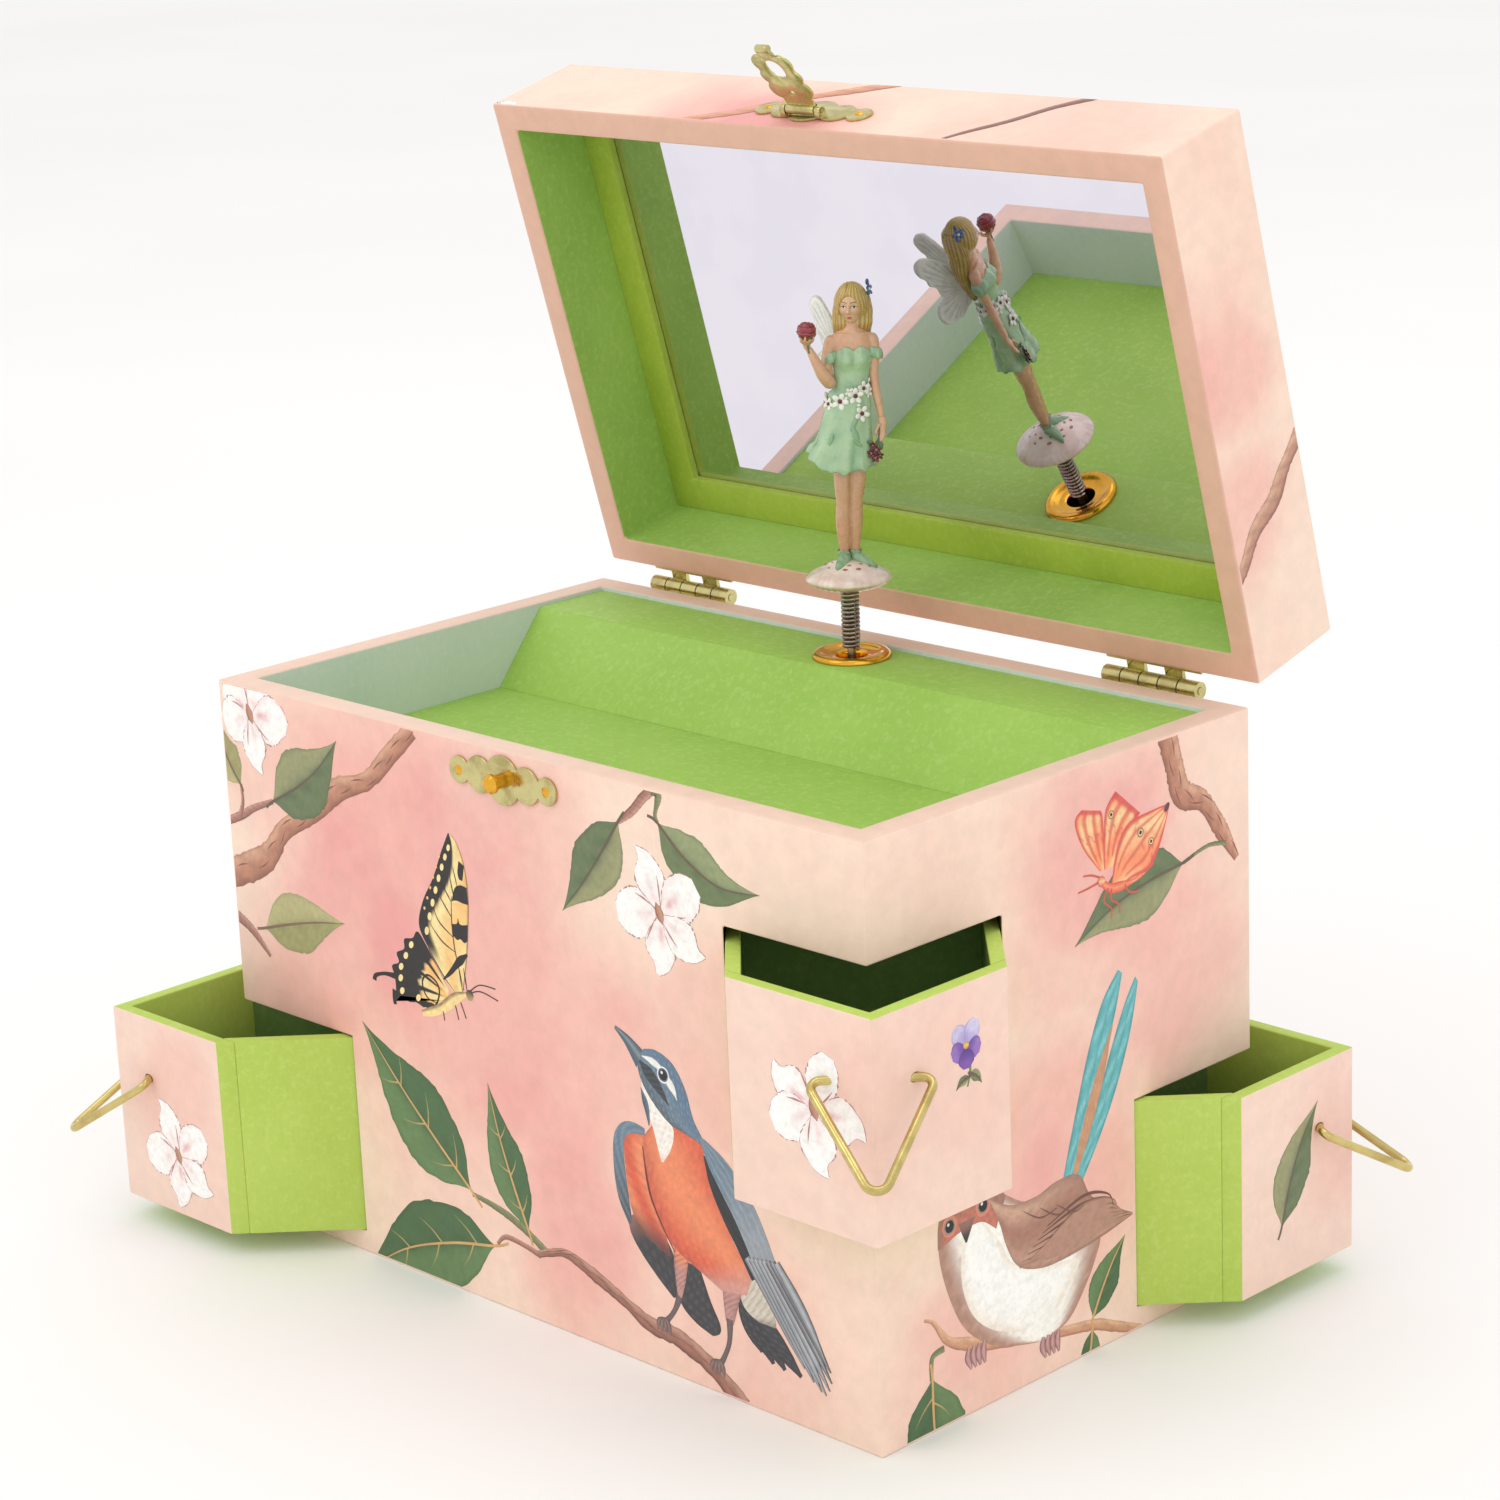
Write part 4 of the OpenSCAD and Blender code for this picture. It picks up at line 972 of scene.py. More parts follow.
def branch(pic, points, widths, tones=BARK, marks=True):
    mid, light, dark = tones

    def tone(s, t):
        c = mix(mid, light, smooth(-0.1, 0.75, t) * 0.8)
        c = mix(c, dark, smooth(-0.35, -1.0, t) * 0.8)
        return mix(c, darker(dark, 0.85), 0.30 * (0.5 + 0.5 * math.sin(s * 61 + t * 3)) ** 4
                   + 0.35 * smooth(0.85, 1.0, abs(t)))
    pic.stroke(points, widths, tone, 60, 8, 0.16)
    if marks:
        line = catmull([(x, y, 0) for x, y in points], SPAN)
        for i in range(4, len(line) - 4, 5):
            p, d = line[i], (line[i + 1] - line[i]).normalized()
            w = widths[0] if isinstance(widths[0], (int, float)) else 1.5
            side = Vector((-d.y, d.x, 0)) * w * 0.35 * math.sin(i * 1.9)
            pic.stroke([p + side, p + side + d * 2.4, p + side * 0.6 + d * 4.6],
                       [0.03, w * 0.055 + 0.03, 0.03],
                       lambda s, t: dark, 6, 2)


def dot(pic, centre, r, colour, stretch=1.0, turn=0.0):
    c = Vector((*centre, 0))
    d = Vector((math.cos(turn), math.sin(turn), 0)) * r * stretch
    widths = [r * math.sqrt(max(0.0, 1 - (2 * k / 10 - 1) ** 2)) for k in range(11)]
    pic.stroke([c - d, c, c + d], widths, colour if callable(colour) else (lambda s, t: colour), 12, 6)


def sketch(pic, at=(0, 0), k=1.0, flip=1):
    """Three ways to draw from a point, at scale k, mirrored where flip is -1: points, an area, a line."""
    ox, oy = at

    def q(*pts):
        return [(ox + x * flip * k, oy + y * k) for x, y in pts]

    def area(left, right, colour, n=26, m=8):
        pic.patch(q(*left), q(*right), colour, n, m)

    def line(pts, widths, colour, n=16, m=4):
        pic.stroke(q(*pts), [w * k for w in widths], colour, n, m)
    return q, area, line


def songbird(pic):
    """A perched bird that looks up: slate back and wings, rust breast, pale throat, long tail."""
    q, area, line = sketch(pic)
    slate, deep, pale = lin(104, 128, 146), lin(58, 60, 64), lin(176, 184, 190)
    rust, rust_dark, rust_light = lin(222, 98, 70), lin(176, 74, 66), lin(240, 146, 104)
    leg, mauve = lin(120, 106, 106), lin(196, 148, 142)

    def fur(s, t, n=70, m=23):
        return (0.5 + 0.5 * math.sin(s * n + t * m)) ** 4
    # tail seen between the legs, rump, and the tail's far feathers
    area([(43, 26), (41.6, 20.5), (41.2, 16.4), (45, 13.5), (49.6, 12)],
         [(47, 25.5), (49.5, 19.5), (52, 15), (51.8, 13), (50, 12)],
         lambda s, t: mix(mix(deep, lin(96, 96, 98), 0.6 * fur(s, t, 30, 9)), darker(deep, 0.6),
                          0.5 * smooth(0.7, 1, abs(t))))
    for i, tip in enumerate(((63.5, 12.6), (66.5, 11), (69.6, 10.6), (74, 10.5))):
        line([(58.5 + i, 22.5), (60.5 + i * 1.8, 17.5), tip], [1.2, 2.1, 2.2, 1.6, 0.5],
             lambda s, t: mix(mix(deep, lin(100, 100, 104), 0.5 * fur(s, t, 40, 9)), darker(deep, 0.5),
                              0.6 * smooth(0.6, 1, abs(t))), 20, 6)
    area([(58.4, 25), (58.4, 22), (60, 20), (63, 18.8)], [(63, 28), (66, 23.5), (67.5, 20.5), (67.5, 18.8)],
         lambda s, t: mix(mix(lin(216, 206, 190), lin(150, 144, 136), 0.6 * fur(s, t, 40, 17)), deep,
                          0.5 * smooth(0.75, 1, s)))
    # far wing: slate shoulder, rust front, dark feathers
    area([(27, 31), (27.4, 28), (30, 24.5), (34.5, 20.4), (39, 17)],
         [(34, 36), (36.5, 31), (39.5, 26.5), (41, 22), (40.6, 17.6)],
         lambda s, t: mix(mix(lin(150, 104, 96), deep, smooth(0.0, 0.35, s)), lin(104, 102, 104),
                          0.4 * fur(s, t, 24, 11)))
    area([(33, 51.4), (30, 52), (26.6, 51.2), (24, 48), (23.4, 42), (24.2, 35), (27, 29.5)],
         [(33, 49), (30, 49.6), (27.8, 48.6), (26.6, 45), (26.8, 40), (27.4, 35), (28, 30)],
         lambda s, t: mix(mix(slate, deep, 0.75 * smooth(0.3, 1, s)), pale, 0.35 * fur(s, t, 30, 5)))
    area([(33, 50), (29, 49.4), (26.9, 47.5), (26.8, 42), (27.4, 36), (28.5, 32), (31, 28.5)],
         [(37, 47), (35.5, 42), (35.4, 37), (37.4, 31), (38, 29), (38.6, 27), (39, 25.5)],
         lambda s, t: mix(mix(mix(rust, rust_light, 0.5 + 0.5 * math.sin(s * 7 + t * 3)), deep,
                              0.85 * smooth(0.66, 1.0, s)), rust_dark, 0.3 * fur(s, t)))
    # thighs and legs
    for a, b, foot_line, end in ((((39.6, 28), (39.8, 22), (40.3, 17.4)),
                                  ((44, 27), (42.6, 21), (41.3, 17.2)),
                                  ((40.8, 17.8), (39.4, 14.8), (37.8, 12.6), (36.2, 11)), (36, 11)),
                                 (((53, 27), (53.3, 20.5), (53.7, 16.4)),
                                  ((59.5, 26.5), (57.2, 20), (55.8, 16)),
                                  ((54.8, 17), (54.4, 12), (52.6, 8), (51.2, 6)), (51, 6.4))):
        area(a, b, lambda s, t: mix(mix(rust_light, mauve, smooth(0, 0.5, s)), lin(130, 84, 82),
                                    0.5 * fur(s, t, 50, 17) + 0.4 * smooth(0.6, 1, abs(t))))
        line(foot_line, [0.9, 0.62, 0.55, 0.7], lambda s,
             t: mix(leg, darker(leg, 0.5), 0.2 + 0.7 * smooth(0.2, 1, abs(t))), 14, 4)
        for j in range(4):
            x, y = end
            line([(x + 0.6, y + 0.6), (x - 1.6 + j * 0.9, y - 0.2),
                  (x - 2.0 + j * 1.2, y - 2.2 - 0.4 * (j % 2))], [0.45, 0.62, 0.15],
                 lambda s, t: mix(lin(150, 124, 116), darker(leg, 0.6), abs(t)), 8, 4)
    # breast
    area([(35.5, 53), (32.4, 49), (32.6, 44), (34, 36.8), (37.6, 30), (42, 27), (47, 25), (53, 22.5)],
         [(41, 54.5), (45.5, 54), (48.9, 53), (50.6, 45), (53.6, 39.4), (57, 33.5), (61, 28), (60, 23.5)],
         lambda s, t: mix(mix(mix(mix(rust, rust_light, 0.45 + 0.45 * math.sin(s * 4 + t * 2.4)), rust_dark,
                                  0.5 * smooth(0.5, 1.0, t) + 0.25 * smooth(0.7, 1.0, -t)),
                              lin(206, 160, 152), smooth(0.78, 1.0, s) * 0.9), rust_light, 0.35 * fur(s, t)),
                              44, 16)
    line([(32.2, 47.5), (34, 37), (40, 27)], [0.14, 0.30, 0.22, 0.08], lambda s, t: lin(108, 52, 50), 20, 2)
    # throat, head, beak and eye
    area([(33, 62), (32.8, 59), (34, 56), (35.6, 52), (37.4, 45.6)],
         [(36, 61), (39.4, 56), (41.4, 53), (40.4, 49), (38, 45.6)],
         lambda s, t: mix(lin(252, 246, 238), lin(222, 190, 176),
                          0.5 * fur(s, t, 44, 13) + 0.4 * smooth(0.8, 1, s)))
    line([(32.6, 60), (34, 56), (34.4, 52.4)], [0.1, 0.75, 0.6, 0.1], lambda s,
         t: mix(slate, deep, 0.4 - 0.4 * t), 12, 4)
    area([(32.4, 67), (32, 64), (33.4, 60.6), (36.6, 57), (40.6, 54.2), (44, 53.4), (48.6, 52.4)],
         [(34, 68.4), (37.5, 68.8), (42, 67), (45.2, 62.5), (47, 57), (49, 54), (51, 51)],
         lambda s, t: mix(mix(mix(slate, lin(74, 108, 142), 0.6 * smooth(0.4, -0.6, t)), deep,
                              0.6 * smooth(0.2, 1.0, t)), pale, 0.35 * fur(s, t, 60, 19)), 34, 14)
    line([(32.6, 65.6), (35.5, 63.2), (38.4, 60.4), (40.4, 58)], [0.3, 1.35, 1.3, 0.8, 0.1], lambda s,
         t: mix(deep, slate, 0.3 * fur(s, t)), 18, 6)
    line([(33.4, 66.8), (36, 66.4), (38.6, 65.2), (41.6, 62), (42.8, 59.8)], [0.15, 0.8, 0.55, 0.95, 0.1],
         lambda s, t: mix(lin(240, 238, 234), pale, 0.4 * smooth(0.5, 1, abs(t))), 20, 4)
    x, y = q((39.2, 64.2))[0]
    for r, c in ((1.75, lin(236, 234, 230)), (1.42, lin(96, 104, 116)), (1.12, lin(28, 30, 36))):
        dot(pic, (x, y), r, c)
    dot(pic, (x - 0.35, y + 0.45), 0.34, lin(232, 236, 242))
    area([(25.8, 70.8), (28.6, 68.2), (31.6, 64)], [(26, 71.4), (29.6, 70.2), (33.6, 68)],
         lambda s, t: mix(mix(deep, slate, 0.5), pale, 0.5 * smooth(0.5, 0.0, abs(t + 0.25))), 16, 8)
    # near wing: dark lining, slate shoulder, long grey feathers
    area([(49.5, 50), (51, 44), (54.2, 38), (58, 32.5), (61.5, 27)],
         [(51, 50), (55, 43), (58.6, 37), (61.4, 32.5), (63, 28)],
         lambda s, t: mix(deep, darker(deep, 0.5), 0.5 + 0.5 * fur(s, t, 14, 5)))
    area([(48.6, 53.6), (50.6, 48.6), (54, 43.6), (58, 38), (61.4, 32), (62.6, 29)],
         [(50, 53.4), (54.4, 51.2), (58, 48.4), (62.8, 43), (66.2, 37), (69, 30.5)],
         lambda s, t: mix(mix(slate, lin(150, 156, 166), smooth(0.2, 0.9, s)), pale,
                          0.4 * (0.5 + 0.5 * math.sin(t * 12 + s * 3)) ** 4 + 0.2 * fur(s, t, 50, 9)), 30, 14)
    for i in range(8):
        tip = [(75, 12.6), (77.4, 10.4), (79.4, 9), (80.6, 8.6), (81.6, 9.8), (82.2, 11.6),
               (82, 13.8), (80.4, 16.4)][i]
        root = (60.4 + i * 1.15, 31.6 + i * 0.15)
        midp = (root[0] * 0.5 + tip[0] * 0.5 + 0.3, root[1] * 0.5 + tip[1] * 0.5 + 0.4)
        tone = lin(120, 120, 124) if i in (5, 6) else lin(156, 160, 166)
        line([root, midp, tip], [0.9, 1.15, 1.2, 0.9, 0.15],
             lambda s, t, tone=tone: mix(mix(tone, lin(206, 208, 212), 0.6 * smooth(0.35, 0.05, abs(t))),
                                         deep, 0.75 * smooth(0.45, 1, abs(t)) + 0.2 * smooth(0.8, 1, s)),
                                         26, 8)


def wren(pic):
    """A round little bird that faces out: brown back and wing, cream breast, long turquoise tail."""
    q, area, line = sketch(pic)
    brown, brown_d, brown_l = lin(170, 122, 104), lin(118, 80, 70), lin(208, 166, 144)
    cream, cream_s = lin(252, 250, 242), lin(232, 208, 178)
    teal, teal_l, teal_d = lin(96, 178, 182), lin(160, 216, 216), lin(52, 128, 142)

    def fur(s, t, n=50, m=21):
        return (0.5 + 0.5 * math.sin(s * n + t * m)) ** 4
    for a, b in ((((-3.6, 38), (0.6, 51), (5.2, 64), (9.6, 73), (14.6, 78.4)),
                  ((-0.6, 38), (5.6, 50), (10, 61), (13.6, 70), (15.8, 77.5))),
                 (((0, 38), (6.4, 50), (11.4, 61), (16, 70), (19.8, 75.6)),
                  ((3, 38), (9, 46.4), (14, 55), (18.2, 65), (20.6, 74.4)))):
        area(a, b, lambda s, t: mix(mix(teal, teal_l, 0.6 * fur(s, t, 34, 5)), teal_d,
                                    0.65 * smooth(0.55, 1, abs(t)) + 0.4 * smooth(0.10, 0.0, abs(t))), 34, 10)
    line([(0.6, 40), (5, 50), (9.4, 60), (12.6, 67.5)], [0.8, 1.5, 1.3, 0.2], lambda s,
         t: mix(lin(186, 120, 92), lin(206, 160, 124), 0.5 + 0.5 * fur(s, t, 30, 9)), 24, 6)
    # body
    area([(-34, 46), (-38.6, 42), (-39.4, 36.5), (-37.4, 28), (-32.6, 18.4), (-24.5, 12),
          (-17, 9.4), (-11, 8)],
         [(-24, 45), (-15, 39), (-2, 34), (7.4, 26), (6, 19.4), (-0.4, 11), (-5, 8.6), (-10, 7.8)],
         lambda s, t: mix(mix(cream, brown, smooth(0.52, 0.92, abs(t)) * 0.95 + 0.5 * smooth(0.9, 1.0, s)),
                          brown_l, 0.5 * fur(s, t, 60, 25) * smooth(0.3, 0.7, abs(t))), 46, 22)
    area([(-31, 38), (-33, 34), (-33, 27), (-30, 20), (-24, 15), (-16, 12)],
         [(-27, 39), (-22, 33), (-18, 27), (-6, 23), (1.5, 21), (-6, 13)],
         lambda s, t: mix(mix(cream, (1, 1, 1), 0.5), cream_s,
                          0.45 * smooth(0.6, 1, abs(t)) + 0.3 * fur(s, t, 40, 13) * smooth(0.6, 1, s)),
                          34, 14)
    # crown and face
    area([(-39.6, 37), (-39, 43), (-35, 47.4), (-30, 48.6), (-24, 46), (-20, 42)],
         [(-37.6, 37.4), (-34.5, 38.4), (-32.2, 38.8), (-30, 39), (-26.6, 38.6), (-23, 36)],
         lambda s, t: mix(mix(brown, lin(214, 122, 104), 0.75 * smooth(0.35, -0.5, t)), brown_d,
                          0.4 * fur(s, t, 40, 9)), 30, 10)
    for x, y in ((-36.2, 40.8), (-26.6, 42)):
        a, b = q((x, y))[0]
        for r, c in ((2.2, lin(222, 134, 110)), (1.6, lin(150, 140, 134)), (1.25, lin(26, 22, 24))):
            dot(pic, (a, b), r, c)
        dot(pic, (a - 0.35, b + 0.45), 0.34, lin(236, 234, 230))
    area([(-33.6, 40.4), (-33, 38.6), (-31.8, 36)], [(-28.8, 40.6), (-30, 38.6), (-31.4, 36)], lambda s,
         t: mix(lin(150, 110, 100), lin(58, 50, 52), smooth(0.1, 0.8, s)), 10, 6)
    # back and folded wing
    area([(-25, 43), (-18.5, 39.4), (-11, 38.8), (-5, 40), (1.6, 39.4), (5, 34), (11, 29.6), (18, 26)],
         [(-22, 37), (-20, 31), (-16.8, 26), (-11, 23.6), (-5, 23), (3, 23.4), (10, 24.2), (18, 25.6)],
         lambda s, t: mix(mix(brown_l, brown, 0.5 + 0.5 * math.sin(s * 5 - t * 3)), brown_d,
                          0.5 * smooth(0.75, 1, abs(t)) + 0.18 * fur(s, t)), 40, 16)
    for i in range(6):
        line([(-16.5 + i * 1.4, 25.6 + i * 0.4), (-3 + i, 25.2 + i * 1.3), (8 + i * 0.6, 26 + i * 1.0),
              (17.6 - i * 0.9, 25.8 + i * 0.55)], [0.12, 0.9, 1.1, 0.15],
             lambda s, t: mix(mix(brown, brown_l, 0.4), brown_d, 0.85 * smooth(0.3, 1, t) + 0.1), 24, 6)
        line([(-15.5 + i * 1.5, 26.6 + i * 1.0), (-2 + i, 26.4 + i * 1.6), (8.4 + i * 0.4, 27 + i * 1.1),
              (17.4 - i * 1.1, 25.9 + i * 0.7)], [0.06, 0.30, 0.30, 0.06],
             lambda s, t: darker(brown_d, 0.85), 24, 2)
    for i in range(3):
        line([(-15 + i * 5, 37 - i), (-10 + i * 5, 34 - i), (-5 + i * 4, 34.5 - i)], [0.06, 0.18, 0.06],
             lambda s, t: brown_d, 10, 2)
    # claws
    for x, y in ((-29.4, 12), (-7.6, 6.6)):
        for j in range(4):
            line([(x - 2.2 + j * 1.5, y + 2.0), (x - 2.6 + j * 1.5, y), (x - 1.6 + j * 1.3, y - 2.6)],
                 [0.5, 0.85, 0.3],
                 lambda s, t: mix(lin(206, 158, 154), lin(128, 84, 92), smooth(0.2, 1, abs(t))), 10, 4)


def swallowtail(pic, at, k=1.0, flip=1):
    """A yellow and black butterfly with its wings closed above it."""
    q, _, line = sketch(pic, at, k, flip)
    light, ground, warm = lin(248, 224, 158), lin(36, 32, 32), lin(250, 190, 112)

    def black(s, t):
        return ground

    def hind(s, t):
        c = mix(light, warm, 0.5 + 0.5 * math.sin(s * 9 + t * 4))
        c = mix(c, ground, smooth(0.86, 0.97, abs(math.cos(s * math.pi * 5))) * smooth(0.9, 0.5, t))
        return mix(c, ground, smooth(0.02, -0.10, t))
    pic.patch(q((-2, -2.5), (-2.3, -1.5), (-2.6, -0.5), (-2.4, 0.6)),
              q((-11, -5.2), (-13.4, -4.6), (-15.6, -5), (-18, -4.2), (-20.2, -6), (-19.6, -3), (-19.8, 0),
                (-20.4, 2), (-18, 3.2), (-18.6, 5.2), (-16, 6.6),
                (-15.8, 8.8), (-13, 9.6), (-11.2, 11.4), (-8, 8)), hind, 60, 16)
    for x, y in ((-17.6, -3), (-17.8, -0.2), (-17.4, 2.4), (-15.6, 5.2), (-13.6, 8.0), (-12.4, -3.4)):
        dot(pic, q((x, y))[0], 0.62 * k, light, 1.5, 0.9)
    line([(-19.4, -0.2), (-23, -0.4), (-26, -1.4), (-26.6, -2.6)], [0.7, 0.45, 0.4, 0.6], black, 16, 4)
    line([(-20, -3.4), (-20.4, -5.2), (-20.2, -6.6)], [0.8, 0.55, 0.5], black, 8, 4)
    line([(-13.6, -4.4), (-8, -4.6), (-5.6, -1.4), (-6, 1.2), (-9, 2.4), (-10.8, 0.4), (-9.6, -2.6),
          (-6.4, -3.2)], [0.16, 0.24, 0.24, 0.24, 0.24, 0.24, 0.2, 0.1], black, 30, 2)

    def fore(s, t):
        c = mix(light, warm, 0.35 + 0.35 * math.sin(s * 8 + t * 4) + 0.3 * smooth(-0.5, -1.0, t))
        edge = 0.62 - 0.85 * smooth(0.30, 0.92, s)
        c = mix(c, ground, smooth(edge - 0.06, edge + 0.06, t) * smooth(0.16, 0.30, s))
        return mix(c, ground, 0.8 * smooth(0.955, 1.0, -t))
    pic.patch(q((-0.6, 0), (-4, 3.4), (-8, 8.4), (-10.6, 13), (-8.8, 18.6), (-5, 24.4),
                (-2.2, 30), (0.6, 35)),
              q((2, 1), (3.4, 6), (4.6, 12), (5.6, 20), (5.6, 25), (4.8, 29.6), (3, 33.4), (1, 35)),
              fore, 60, 22)
    for i in range(8):
        s = i / 7
        dot(pic, q((-8.2 + 8.6 * s, 12.2 + 19.6 * s + 1.2 * s * (1 - s) * 4))[0], (0.62 - 0.12 * s) * k,
            light, 1.6, 1.2 * flip)
        if 0 < i < 7:
            dot(pic, q((-9.6 + 8.0 * s, 14.6 + 17.2 * s))[0], 0.30 * k, warm, 1.3, 1.0)
    # the black bars, and the veins between them
    for a, b in ((((0.6, 21), (1.6, 23.4), (3.4, 24.4), (5.4, 24.2)),
                  ((0.4, 20.4), (2, 20.8), (3.8, 20.6), (5.6, 20.6))),
                 (((-0.2, 15.4), (1.6, 15.8), (2, 17.2), (2.6, 15.8), (5, 16.2)),
                  ((0, 13), (1.4, 12.2), (2.4, 12.6), (3.6, 12), (4.6, 12.6))),
                 (((3.4, 29.6), (2.8, 27), (3.2, 25.6)), ((5, 28.8), (4.6, 27), (4.2, 25.4)))):
        pic.patch(q(*a), q(*b), black, 14, 4)
    line([(4.2, 9.6), (1.4, 7.4), (-1.4, 4.6), (-3.8, 2.6)], [0.3, 0.95, 0.7, 0.5, 0.2], black, 18, 4)
    for pts in (((0.4, 21.4), (0, 16), (0.4, 10), (1.6, 5), (2.4, 1.6)), ((0.4, 20), (-2.4, 23.6)),
                ((0.2, 16.6), (-3.8, 21.2)), ((0, 12.6), (-4, 15), (-5.6, 17.8)),
                ((0.4, 9.4), (-3.6, 11), (-7, 14)), ((1.2, 21.2), (0.2, 26)), ((2.4, 24), (1.4, 28)),
                ((2.8, 6.4), (3.4, 1.6)), ((1.2, 6.8), (2.0, 1.2)), ((-8, 8.4), (-4.2, 3.8), (-0.4, 0.4))):
        line(pts, [0.08, 0.16, 0.14, 0.06], black, 12, 2)
    # body, head, feelers and legs
    line([(-11.4, -6.6), (-8, -5.4), (-4.6, -3.8), (0, -0.6), (3.2, 0.8)], [0.7, 1.05, 1.1, 1.35, 1.2, 0.5],
         lambda s, t: mix(mix(light, ground, 0.75 * smooth(0.1, 0.7, t)), warm,
                          0.3 * (0.5 + 0.5 * math.sin(s * 40))), 26, 8)
    dot(pic, q((4.2, 0.8))[0], 1.15 * k, lambda s, t: mix(ground, light, 0.25 - 0.25 * t))
    for pts in (((4.4, 1.8), (7.6, 3.8), (12.4, 4)), ((4.6, 1.4), (7.8, 2.4), (13, 1.6)),
                ((-4.6, -4.6), (-4.4, -6.6)), ((-0.6, -2.4), (0.2, -5.4)), ((1.2, -1.4), (2.6, -4.6))):
        line(pts, [0.14, 0.12, 0.12], lambda s, t: lin(70, 50, 46), 12, 2)


def brushwing(pic, at, k=1.0):
    """A small butterfly with three raised wings, dark eyespots and outlined cells."""
    q, _, line = sketch(pic, at, k)
    edge, cell, light, leg = lin(214, 84, 76), lin(250, 150, 104), lin(252, 206, 150), lin(206, 90, 74)

    def wing(cells, a, b, n=30, m=14):
        def tone(s, t):
            c = mix(light, cell, 0.5 + 0.5 * math.sin(s * 6 + t * 2))
            c = mix(c, edge, 0.8 * smooth(0.80, 0.94, abs(math.cos((t + 1) * cells * math.pi / 2)))
                    * smooth(0.1, 0.2, s))
            c = mix(c, edge, 0.7 * smooth(0.03, 0.0, abs(s - 0.55 - 0.05 * math.sin(t * 9))))
            return mix(c, edge, smooth(0.80, 0.88, abs(t)) * 0.9 + smooth(0.88, 0.93, s) * 0.9)
        pic.patch(q(*a), q(*b), tone, n, m)
    wing(3, ((-1, 3), (-6, 9), (-8.2, 14.6), (-6.2, 16.6)), ((0.4, 3), (0.4, 9), (0, 14), (-0.6, 15.2)))
    wing(3, ((0.2, 3), (0.4, 9), (1, 14.8), (4, 18)), ((3.2, 3), (5.4, 7.6), (9.6, 10.6), (11.4, 11.8)))
    wing(2, ((7, -1.4), (10, 0), (14, 1.6)), ((7, -2), (11, -1.6), (15.4, 0.4)), 16, 6)
    wing(4, ((2.4, -0.6), (4.4, 6.6), (7.8, 10.6), (14.4, 11.4), (20.2, 11.6)),
         ((4, -1.8), (9, -0.8), (14, -0.4), (16.6, 2.6), (18.6, 6.4), (20.4, 11.2)), 36, 16)
    dot(pic, q((19.6, 11))[0], 0.6 * k, lin(92, 60, 78), 1.8, 0.8)
    for x, y, r in ((2.6, 13.6, 0.9), (11.4, 7.8, 1.0), (14.6, 5.2, 0.85)):
        for f, c in ((1.0, lin(150, 120, 84)), (0.7, light), (0.42, lin(44, 40, 44))):
            dot(pic, q((x, y))[0], r * f * k, c)
    line([(-1.6, 1.4), (1.6, -1), (4, -1.6), (8.6, -1.6)], [0.5, 0.9, 1.1, 0.5], lambda s,
         t: mix(cell, edge, abs(t)), 16, 4)
    dot(pic, q((-0.6, 0.8))[0], 1.1 * k, lambda s, t: mix(light, edge, abs(t)))
    for pts in (((-1.2, 1.8), (-3.6, 2.8), (-6, 3.2)), ((-1.4, 0.8), (-4.6, 0.4), (-7.6, 0.2)),
                ((1.4, -1), (0, -3.4), (2.4, -5.6), (2, -7.6)),
                ((2.4, -1.4), (2.2, -3.6), (4.6, -5.2), (4.6, -7)), ((6.4, -1.6), (8, -3.6), (11, -4))):
        line(pts, [0.22, 0.2, 0.16], lambda s, t: leg, 12, 2)


def violet(pic, at, scale):
    """A pansy with two lilac upper petals, purple lower ones and a green stem."""
    o = Vector((*at, 0))

    def q(x, y):
        return (o.x + x * scale, o.y + y * scale)
    pic.stroke([q(0.6, -3), q(1.6, -8), q(0.2, -13)], [0.35, 0.3, 0.2], lambda s, t: lin(112, 140, 74), 10, 2)
    leaf(pic, q(1.2, -9), q(6.5, -13.5), 1.8 * scale, 0.1, 3, 3)
    leaf(pic, q(1.0, -10), q(-4.8, -12.8), 1.5 * scale, -0.1, 3, 3)
    for a, size, c0, c1 in ((2.2, 8.2, lin(206, 196, 228), lin(168, 154, 210)),
                            (1.0, 8.6, lin(212, 204, 232), lin(176, 160, 214)),
                            (3.45, 6.6, lin(150, 112, 190), lin(112, 76, 160)),
                            (-0.35, 6.6, lin(156, 118, 194), lin(116, 80, 164)),
                            (-1.57, 7.2, lin(128, 86, 172), lin(92, 58, 142))):
        d = Vector((math.cos(a), math.sin(a), 0))
        pic.stroke([q(*(d * 0.6).xy), q(*(d * size * 0.55).xy), q(*(d * size).xy)],
                   [0.8 * scale, 2.6 * scale, 3.4 * scale, 3.1 * scale, 1.4 * scale],
                   lambda s, t, c0=c0, c1=c1: mix(mix(c1, c0, smooth(0.1, 0.8, s)), darker(c1, 0.7),
                                                  0.5 * smooth(0.75, 1, abs(t))
                                                 + 0.35 * (0.5 + 0.5 * math.sin(t * 14)) ** 4 * (1 - s)),
                                                 16, 8, 0.08)
    dot(pic, q(0, 0.2), 1.2 * scale, lambda s, t: mix(lin(240, 206, 90), lin(206, 140, 50), abs(t)))


TWIG = (lin(170, 120, 106), lin(206, 158, 140), lin(120, 78, 68))
STEM = (lin(124, 128, 88), lin(152, 154, 112), lin(92, 96, 66))


